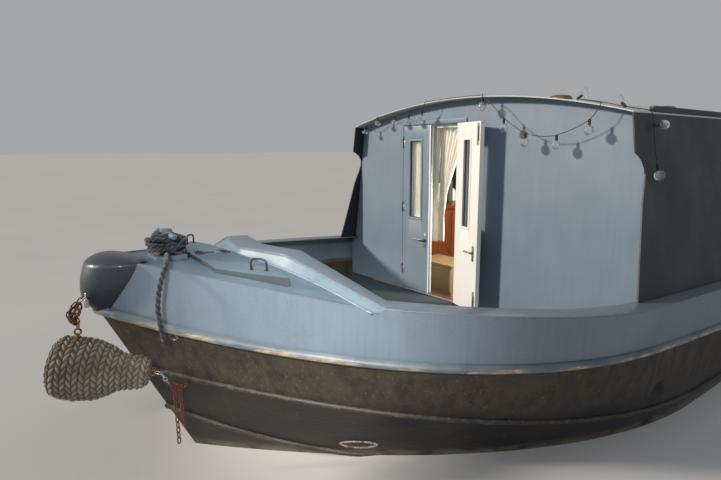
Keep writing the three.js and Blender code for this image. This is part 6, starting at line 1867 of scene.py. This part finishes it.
def leaf(reach, low, high, outward, inner, outer, slot, window_span):
    """Door leaf round its hinge pin: bevelled panel with a tall narrow window, mouldings round the pane on
    both faces, three hinges, a lever on a back plate, a lock and two bolts. reach is the way from the pin
    to the free edge and outward the way out of the cabin, each 1 or -1; inner and outer are material
    numbers, slot the window's sides from the pin and window_span its foot and head under the leaf's
    top."""
    window = (*slot, high - window_span[0], high - window_span[1])
    axes = [[0, reach, 0], [0, 0, 1], [outward, 0, 0]]
    face, back = -0.008, -0.048
    parts = []

    def slab(rect, hole, a, b, *rounding, material=2, arc=5):
        parts.append(plate(rect, hole, a, b, (0, 0, 0), axes, *rounding, material, arc))

    def pin(start, end, radius, sides):
        parts.append(rod(np.array(start) * [outward, reach, 1], np.array(end) * [outward, reach, 1], radius,
                         sides, 2))
    middle, panel = 0.5 * (face + back), (0.003, LEAF_WIDTH, low, high)
    slab(panel, window, back, middle, 0.003, 0.010, 0.002, material=inner, arc=4)
    slab(panel, window, middle, face, 0.003, 0.010, 0.002, material=outer, arc=4)
    for a, b, material in ((face - 0.001, face + 0.006, 1), (back - 0.006, back + 0.001, 0)):
        slab(grown(window, 0.020), grown(window, -0.004), a, b, 0.006, 0.006, 0.0025, material=material,
             arc=4)
    slab(grown(window, -0.0005), grown(window, -0.007), -0.0345, -0.0215, 0.008, 0.006, 0.002, material=3,
         arc=4)
    for z in (low + 0.180, (low + high) / 2, high - 0.180):
        pin((0, 0, z - 0.035), (0, 0, z + 0.035), 0.0060, 14)
        slab((0.0, 0.030, z - 0.035, z + 0.035), None, -0.0088, -0.0062, 0.002, 0.002, 0.0008)
    z, y = high - 1.140, LEAF_WIDTH - 0.060
    slab((y - 0.018, y + 0.018, z - 0.085, z + 0.062), None, face, face + 0.0035, 0.010, 0.01, 0.0012)
    lever = np.array([[0.0, y, z], [0.020, y, z], [0.038, y - 0.004, z], [0.044, y - 0.020, z],
                      [0.0445, y - 0.070, z - 0.002], [0.043, y - 0.128, z - 0.003]]) * [outward, reach, 1]
    parts.append(bent(lever + [outward * -0.006, 0, 0], 0.0082, 14, 10, 2))
    pin((-0.0045, y, z), (0.014, y, z), 0.0108, 20)
    pin((-0.005, y, z - 0.058), (0.003, y, z - 0.058), 0.0085, 16)
    inside = back - 0.001
    slab((y - 0.016, y + 0.016, z - 0.080, z + 0.060), None, inside - 0.003, inside + 0.001, 0.010, 0.01,
         0.0012)
    knob = np.array([[0.0, y, z], [-0.018, y, z], [-0.030, y - 0.004, z], [-0.034, y - 0.020, z],
                     [-0.033, y - 0.105, z - 0.002]])
    parts.append(bent(knob * [outward, reach, 1] + [outward * (inside + 0.001), 0, 0], 0.0075, 12, 10, 2))
    for end in (high - 0.012, low + 0.012):
        way = -1 if end > z else 1
        pin((inside - 0.009, y + 0.034, end), (inside - 0.009, y + 0.034, end + way * 0.19), 0.005, 12)
        guide = sorted((end + way * 0.03, end + way * 0.15))
        slab((y + 0.022, y + 0.046, *guide), None, inside - 0.003, inside + 0.001, 0.003, 0.003, 0.001)
    pane_part = plate(grown(window, -0.0008), None, -0.031, -0.025, (0, 0, 0), axes, 0.008, 0.008, 0.0008,
                      0, 4)
    return parts, pane_part


class HOUSEBOAT_OT_doors(Piece, bpy.types.Operator):
    """Front and rear double doors with their panes, and the front frame with its rebate and threshold"""
    bl_idname = "houseboat.doors"
    bl_label = "Doors"

    def build(self, sizes):
        for name, x, y, reach, span, angle, outward, outer, slot, window_span in LEAVES:
            parts, glass = leaf(reach, *span, outward, 0, 1, slot, window_span)
            if outer == "leaf":
                parts.append(plate((LEAF_WIDTH - 0.014, LEAF_WIDTH, *span), None, -0.0082, -0.0066,
                                   (0, 0, 0), ACROSS, 0.001, 0.001, 0.0005))
            matrix = turned(x, y, 0, angle)
            make(name + "_leaf", [moved(p, matrix) for p in parts],
                 ["white", outer, "steel", "gasket"], body=name,
                 stands_for=[name], crease=40)
            make(name + "_pane", [moved(glass, matrix)], ["glass"], body=name,
                 stands_for=[name + "_glass"])
        d = DOORWAY
        outer = (d["starboard"] + 0.0003, d["port"] - 0.0003, d["low"] + 0.0003, d["high"] - 0.0003)
        opening = (d["starboard"] + 0.042, d["port"] - 0.042, d["low"] + 0.018, d["high"] - 0.044)
        parts = [plate(outer, opening, -0.060, 0.012, (BULKHEAD_X, 0, 0), ACROSS, 0.001, 0.002, 0.003, 3),
                 block((BULKHEAD_X - 0.0595, -0.455, 2.836),
                       (BULKHEAD_X - 0.0480, -0.056, opening[3] + 0.001), 0.002)]
        low_z = d["low"] + 0.018
        parts.append(block((BULKHEAD_X - 0.062, opening[0] + 0.001, low_z - 0.002),
                           (BULKHEAD_X + 0.010, opening[1] - 0.001, low_z + 0.004), 0.002, 1))
        for y, side in ((PORT_HINGE_Y, 1), (STARBOARD_HINGE_Y, -1)):
            for z in (FRONT_SPAN[0] + 0.180, sum(FRONT_SPAN) / 2, FRONT_SPAN[1] - 0.180):
                parts.append(rod((HINGE_X, y, z + 0.0353), (HINGE_X, y, z + 0.075), 0.0060, 14, 2))
                parts.append(block((HINGE_X - 0.010, y, z + 0.040),
                                   (HINGE_X - 0.004, y + side * 0.024, z + 0.070), 0.001, 2))
        make("front_door_casing", parts, ["white", "wood", "steel", "bulkhead"],
             stands_for=["front_door_frame"], crease=40)
        dress("front_bulkhead", "bulkhead")
        dress("rear_bulkhead", "side")


class HOUSEBOAT_OT_curtains(Piece, bpy.types.Operator):
    """Cream curtain drawn to one side of the doorway: its folds are a sine of the width, 10.5 mm deep, held
    in where it's tied; its fellow behind the closed leaf, and a small one on that leaf's window"""
    bl_idname = "houseboat.curtains"
    bl_label = "Curtains"

    def build(self, sizes):
        left, folds = -0.4545, 7.5
        heights = np.array([SILL_Z + 0.560, SILL_Z + 0.820, SILL_Z + 1.050, SILL_Z + 1.350, SILL_Z + 1.735])
        free = np.array([-0.378, -0.388, -0.353, -0.238, -0.063])
        v = np.linspace(0, 1, 120)
        z = heights[0] + (heights[-1] - heights[0]) * v
        right = np.interp(z, heights, free)
        for _ in range(6):
            right[1:-1] = (right[:-2] + 2 * right[1:-1] + right[2:]) / 4
        right = np.minimum(right, np.interp(z, heights, free))
        u = np.linspace(0, 1, 160)
        y = left + (right[:, None] - left) * (u[None] + 0.012 * np.sin(4 * np.pi * folds * u)[None])
        drift = 0.6 * np.sin(2.1 * v)[:, None] + 0.25 * np.sin(9 * v)[:, None] * u[None]
        held_in = 1 - 0.45 * np.exp(-((v - 0.23) / 0.07) ** 2)
        x = 0.0105 * np.sin(2 * np.pi * folds * u[None] ** 0.94 + drift) * held_in[:, None]
        x = x + 0.0022 * np.sin(23 * u + 7 * v[:, None])
        cloth = surface(xyz(CURTAIN_X + x, y, z[:, None]))
        curtain = make("doorway_curtain", [cloth], ["cloth"], stands_for=["door_curtain"],
                       crease=80)
        u, v = np.linspace(0, 1, 130)[None], np.linspace(0, 1, 70)[:, None]
        gather = 2 * np.pi * 7 * u ** 1.05 + 0.7 * np.sin(4 * v)
        x = 0.0115 * np.sin(gather) + 0.002 * np.sin(9 * v + 17 * u)
        y = -0.852 + 0.388 * u + 0.003 * np.sin(25 * u + 3 * v)
        veil = surface(xyz(CURTAIN_X + x, y, SILL_Z + 0.545 + 1.185 * v))
        small = make("closed_leaf_curtain", [veil], ["cloth"], crease=80)
        u, v = np.linspace(0, 1, 90)[None], np.linspace(0, 1, 60)[:, None]
        gather = 2 * np.pi * 8 * u + 0.5 * np.sin(5 * v)
        x = HINGE_X - 0.0605 + 0.0035 * np.sin(gather) + 0.0008 * np.sin(11 * v + 17 * u)
        veil = surface(xyz(x, -0.778 + 0.210 * u, 1.915 + 0.825 * v))
        small = make("leaf_window_curtain", [veil], ["cloth"], body="front_door_starboard",
                     crease=80)


CUPBOARD_DOORS = 4
# Foot and head of the drawers in the cupboard's end.
DRAWERS = ((1.060, 1.360), (1.368, 1.620), (1.628, 1.900))
FLOOR_Z, BOARD = 1.0203, 0.15


class HOUSEBOAT_OT_inside(Piece, bpy.types.Operator):
    """What shows through the open leaf and the windows: boarded floor, step with a nosing, cupboard with
    doors, jars on its worktop, partition"""
    bl_idname = "houseboat.inside"
    bl_label = "Cabin inside"

    def build(self, sizes):
        fore, aft = BULKHEAD_X - 0.480, BULKHEAD_X - 2.150
        wall = -(float(side_y(SILL_Z + 0.900)) - 0.072)
        front_y = wall + 0.560
        parts = []
        for k in range(CUPBOARD_DOORS):
            x0, x1 = (aft + 0.02 + (fore - aft - 0.04) * i / CUPBOARD_DOORS for i in (k, k + 1))
            parts.append(plate((x0 + 0.004, x1 - 0.004, 1.060, 1.900), None, 0, 0.015, (0, front_y, 0),
                               ALONG, 0.003, 0.003, 0.003))
            parts.append(rod(((x0 + x1) / 2 - 0.05, front_y + 0.022, 1.84),
                             ((x0 + x1) / 2 + 0.05, front_y + 0.022, 1.84), 0.004, 10, 1))
        for z0, z1 in DRAWERS:
            parts.append(plate((wall + 0.03, front_y - 0.02, z0, z1), None, 0, 0.012, (fore, 0, 0), ACROSS,
                               0.003, 0.003, 0.003))
        make("cupboard_doors", parts, ["wood", "brass"])
        jars = []
        for i, x in enumerate(np.arange(fore - 0.86, fore - 0.05, 0.105)):
            tall = 0.16 + 0.13 * math.sin(i * 2.4) ** 2 + 0.10 * (i % 3 == 1)
            wide = 0.036 + 0.010 * math.cos(i * 1.7)
            jar = [[0.0004, 0.0], [wide - 0.004, 0.0], [wide, 0.004], [wide, tall * 0.72],
                   [wide * 0.8, tall * 0.86], [wide * 0.5, tall * 0.93], [wide * 0.5, tall - 0.003],
                   [0.0004, tall]]
            jars.append(lathe(jar, (x, wall + 0.17 + 0.06 * (i % 2), SILL_Z + 0.8262), sides=22,
                              material=i % 3))
        make("worktop_jars", jars, ["white", "engine", "wood"])
        step_x0, step_x1 = BULKHEAD_X - 0.560, BULKHEAD_X - 0.190
        y0, y1 = DOORWAY["starboard"] + 0.020, DOORWAY["port"] + 0.020
        make("step_nosing", [block((step_x0 + 0.002, y0 + 0.002, SILL_Z + 0.2895),
                                   (step_x1 - 0.001, y1 - 0.002, SILL_Z + 0.298), 0.003),
                             block((step_x1 - 0.004, y0 + 0.03, SILL_Z + 0.02),
                                   (step_x1 + 0.010, y1 - 0.03, SILL_Z + 0.255), 0.003)],
             ["plain_wood"])
        boards = [block((REAR_X + 0.004, y + 0.001, FLOOR_Z),
                        (BULKHEAD_X - 0.566, y + BOARD - 0.001, FLOOR_Z + 0.0022), 0.001, steps=1)
                        for y in np.arange(-1.65, 1.6, BOARD)]
        make("floor_boards", boards, ["plain_wood"])
        for node, finish_name in (("cabin_floor", "plain_wood"), ("door_step", "plain_wood"),
                                  ("galley_cupboard", "wood"), ("partition", "upright_wood")):
            dress(node, finish_name)


# ---------------------------------------------------------------- stern

AFT_DECK_Z = SILL_Z + 0.100
RUDDER_X = -6.810
ENGINE_HATCH = (REAR_X - 0.250, REAR_X - 1.050, 0.520)
# Tiller's curve from the top of the stock and outline of the blade, both from the rudder's axis.
TILLER = np.array([[0, 0, -0.060], [0.010, 0, 0.040], [0.090, 0, 0.170], [0.300, 0, 0.300],
                   [0.620, 0, 0.370], [0.980, 0, 0.380]])
BLADE = np.array([[0.150, 0.090], [-0.440, 0.110], [-0.510, 0.330], [-0.480, 0.500], [0.150, 0.500]])
HUB_X, SHAFT_Z, SHAFT_END_X = -6.490, 0.295, -5.872
BLADES, BLADE_ROOT, BLADE_LENGTH, BLADE_CHORD, BLADE_PITCH = 4, 0.040, 0.1985, 0.094, math.radians(52)
RAIL_INSET, RAIL_Z = 0.085, 2.180
RAIL_POSTS = (-0.97, -0.62, -0.3, 0.0, 0.3, 0.62, 0.97)


def rail_place(share):
    """Point on the stern rail's line: an arc of the strake's outline drawn in by RAIL_INSET."""
    _, half, _, _, _, s0, s1, _, _ = LEVELS["strake"]
    a = np.pi / 2 * np.asarray(share, float)
    return xyz(s0 - (s0 - s1 - RAIL_INSET) * np.cos(a), (half - RAIL_INSET) * np.sin(a), RAIL_Z)


class HOUSEBOAT_OT_stern(Piece, bpy.types.Operator):
    """Stern rail on its posts, engine hatch leaves, rudder with its curved tiller, propeller, and the deck
    paint on the aft deck and the ledge behind it"""
    bl_idname = "houseboat.stern"
    bl_label = "Stern gear"

    def build(self, sizes):
        self.make_rail()
        self.make_lids()
        self.make_rudder()
        self.make_propeller()
        for node, finish_name in (("aft_deck", "deck"), ("well_deck", "well"), ("engine", "engine")):
            dress(node, finish_name)
        ledge = NODES["hull_stern"].data
        ledge.materials.append(FINISH["deck"])
        for face in ledge.polygons:
            if face.normal.z > 0.9 and face.center.z > AFT_DECK_Z - 0.05:
                face.material_index = 1

    def make_rail(self):
        """Bent tube on posts, each with a flanged foot."""
        parts = [tube(rail_place(np.linspace(-1, 1, 121)), 0.0188, 16)]
        for share in RAIL_POSTS:
            top = rail_place(np.array(share))
            foot = np.array([top[0], top[1], float(cap_z(top[0])) + 0.0003])
            parts.append(rod(foot, top, 0.0148, 16))
            parts.append(lathe([[0.0004, 0.009], [0.016, 0.009], [0.0185, 0.0115], [0.030, 0.0088],
                                [0.0395, 0.0082], [0.0398, 0.006], [0.0398, 0.0]], foot, sides=28))
            parts.append(lathe([[0.0150, -0.030], [0.0185, -0.022], [0.0205, -0.012]], top, sides=20))
        make("stern_rail_tube", parts, ["steel"], stands_for=["stern_rail"], crease=40)

    def make_lids(self):
        """Engine hatch leaves of tread plate, hinged outboard, with a bar handle."""
        fore, aft, half = ENGINE_HATCH
        z, lap = AFT_DECK_Z + 0.0003, LID_LAP
        tread = []
        for i in range(9):
            for j in range(8):
                x, y = aft + 0.06 + i * 0.085, 0.035 + j * 0.062
                way = 1 if (i + j) % 2 else -1
                if abs(x - aft - 0.12) > 0.09 or abs(y - 0.07) > 0.03:
                    tread.append(rod((x - 0.011, y - way * 0.011, z + 0.0115),
                                     (x + 0.011, y + way * 0.011, z + 0.0115), 0.0022, 6))
        lid = [block((aft - lap, 0.003, z), (fore + lap, half + lap - 0.016, z + 0.012), 0.002), *tread]
        grip = np.array([[aft + 0.060, 0.07, z + 0.010], [aft + 0.060, 0.07, z + 0.043],
                         [aft + 0.072, 0.07, z + 0.050], [aft + 0.168, 0.07, z + 0.050],
                         [aft + 0.180, 0.07, z + 0.043], [aft + 0.180, 0.07, z + 0.010]])
        lid.append(bent(grip, 0.0068, 12, 8, 1))
        for x in (fore - 0.130, aft + 0.130):
            lid.append(rod((x - 0.050, half + lap, z + 0.014), (x + 0.050, half + lap, z + 0.014), 0.0128,
                           20, 1))
            lid.append(block((x - 0.030, half + lap - 0.090, z + 0.0125),
                             (x + 0.030, half + lap, z + 0.018), 0.0015, 1))
        for side, body in ((1, "engine_hatch_port"), (-1, "engine_hatch_starboard")):
            make(body + "_lid", handed(lid, side), ["deck", "black_steel"], body=body,
                 stands_for=[body])

    def make_rudder(self):
        """Stock, blade of plate and a curved tiller with a turned wooden grip."""
        top = AFT_DECK_Z + 0.430
        neck = TILLER + [RUDDER_X, 0, top]
        blade = rounded(BLADE + [RUDDER_X, 0], 0.02, 4)
        middle = blade.mean(0)
        rows = [xyz(*((blade - middle) * k + middle).T, y)[:, [0, 2, 1]]
                for k, y in ((0.985, -0.009), (1, -0.006), (1, 0.006), (0.985, 0.009))]
        parts = [skin(rows),
                 rod((RUDDER_X, 0, 0.019), (RUDDER_X, 0, top - 0.030), 0.0318, 28),
                 bent(neck, 0.0208, 18, 12, 1),
                 lathe([[0.0318, top - 0.090], [0.041, top - 0.086], [0.041, top - 0.040],
                        [0.0315, top - 0.030], [0.0004, top - 0.029]],
                       (RUDDER_X, 0, 0), sides=28)]
        g = np.linspace(0, 1, 24)
        swell = 0.0205 + 0.0050 * np.sin(np.pi * g ** 0.8)
        grip_profile = np.vstack([[[0.0004, 0]], np.column_stack([swell, 0.220 * g]), [[0.0004, 0.220]]])
        parts.append(lathe(grip_profile, (RUDDER_X + 0.960, 0, top + 0.380), (0.220, 0, 0.004), 24, 2))
        make("rudder_and_tiller", parts, ["black_steel", "brass", "wood"], body="rudder",
             stands_for=["rudder"])

    def make_propeller(self):
        """Shaft, hub and blades: each blade a cambered plate, its pitch eased towards the tip, its outline
        the square root of a sine along the radius."""
        hub = [[0.0004, -0.070], [0.020, -0.068], [0.036, -0.055], [0.045, -0.030], [0.052, 0.020],
               [0.0545, 0.050], [0.052, 0.0595], [0.0004, 0.060]]
        parts = [lathe(hub, (HUB_X, 0, SHAFT_Z), (1, 0, 0), 40),
                 rod((SHAFT_END_X, 0, SHAFT_Z), (HUB_X + 0.04, 0, SHAFT_Z), 0.0248, 24)]
        s, c = np.meshgrid(np.linspace(0, 1, 22), np.linspace(-1, 1, 18), indexing="ij")
        radius = BLADE_ROOT + BLADE_LENGTH * s
        width = BLADE_CHORD * np.sqrt(np.maximum(np.sin(np.pi * np.clip(s * 0.94 + 0.06, 0, 1)), 0))
        chord = c * width
        pitch = BLADE_PITCH + 0.35 * (0.45 - s)
        camber = 0.007 * (1 - c ** 2)
        half_thick = 0.0052 * (1 - 0.7 * s) * np.sqrt(np.maximum(1 - c ** 2, 0)) + 0.0003
        for i in range(BLADES):
            faces = []
            for sign in (1, -1):
                off = camber + sign * half_thick
                along = chord * np.sin(pitch) + off * np.cos(pitch)
                across = chord * np.cos(pitch) - off * np.sin(pitch)
                angle = across / np.maximum(radius, 0.04) * 0.8 + i * 2 * math.pi / BLADES
                faces.append(xyz(HUB_X + along * 0.62, radius * np.sin(angle),
                                 SHAFT_Z + radius * np.cos(angle)))
            ring = np.concatenate([faces[0], faces[1][:, ::-1]], axis=1)
            parts.append(skin(ring))
        make("propeller_casting", parts, ["brass"], body="propeller",
             stands_for=["propeller"])


# ---------------------------------------------------------------- registration

class HOUSEBOAT_PT_panel(bpy.types.Panel):
    """Lists the pieces of the houseboat"""
    bl_label = "Houseboat"
    bl_idname = "HOUSEBOAT_PT_panel"
    bl_space_type = "VIEW_3D"
    bl_region_type = "UI"
    bl_category = "Houseboat"

    def draw(self, context):
        for operator in OPERATORS:
            self.layout.operator(operator.bl_idname)
        for group in (context.scene.houseboat_sizes, context.scene.houseboat_colours):
            for name in group.__annotations__:
                self.layout.prop(group, name)


OPERATORS = (
    HOUSEBOAT_OT_stage, HOUSEBOAT_OT_rope_tail, HOUSEBOAT_OT_light_string, HOUSEBOAT_OT_hull,
    HOUSEBOAT_OT_strake, HOUSEBOAT_OT_topsides, HOUSEBOAT_OT_cap, HOUSEBOAT_OT_coaming,
    HOUSEBOAT_OT_foredeck, HOUSEBOAT_OT_hatch, HOUSEBOAT_OT_studs, HOUSEBOAT_OT_rope_turns,
    HOUSEBOAT_OT_fender, HOUSEBOAT_OT_chains, HOUSEBOAT_OT_windows, HOUSEBOAT_OT_roof, HOUSEBOAT_OT_doors,
    HOUSEBOAT_OT_curtains, HOUSEBOAT_OT_inside, HOUSEBOAT_OT_stern, )
CLASSES = (HouseboatColours, HouseboatSizes, *OPERATORS, HOUSEBOAT_PT_panel)


def register():
    for kind in CLASSES:
        bpy.utils.register_class(kind)
    bpy.types.Scene.houseboat_colours = PointerProperty(type=HouseboatColours)
    bpy.types.Scene.houseboat_sizes = PointerProperty(type=HouseboatSizes)


def unregister():
    del bpy.types.Scene.houseboat_sizes
    del bpy.types.Scene.houseboat_colours
    for kind in reversed(CLASSES):
        bpy.utils.unregister_class(kind)


def main():
    register()
    for operator in OPERATORS:
        getattr(bpy.ops.houseboat, operator.bl_idname.split(".")[1])()
    bpy.context.view_layer.update()


if __name__ == "__main__":
    main()
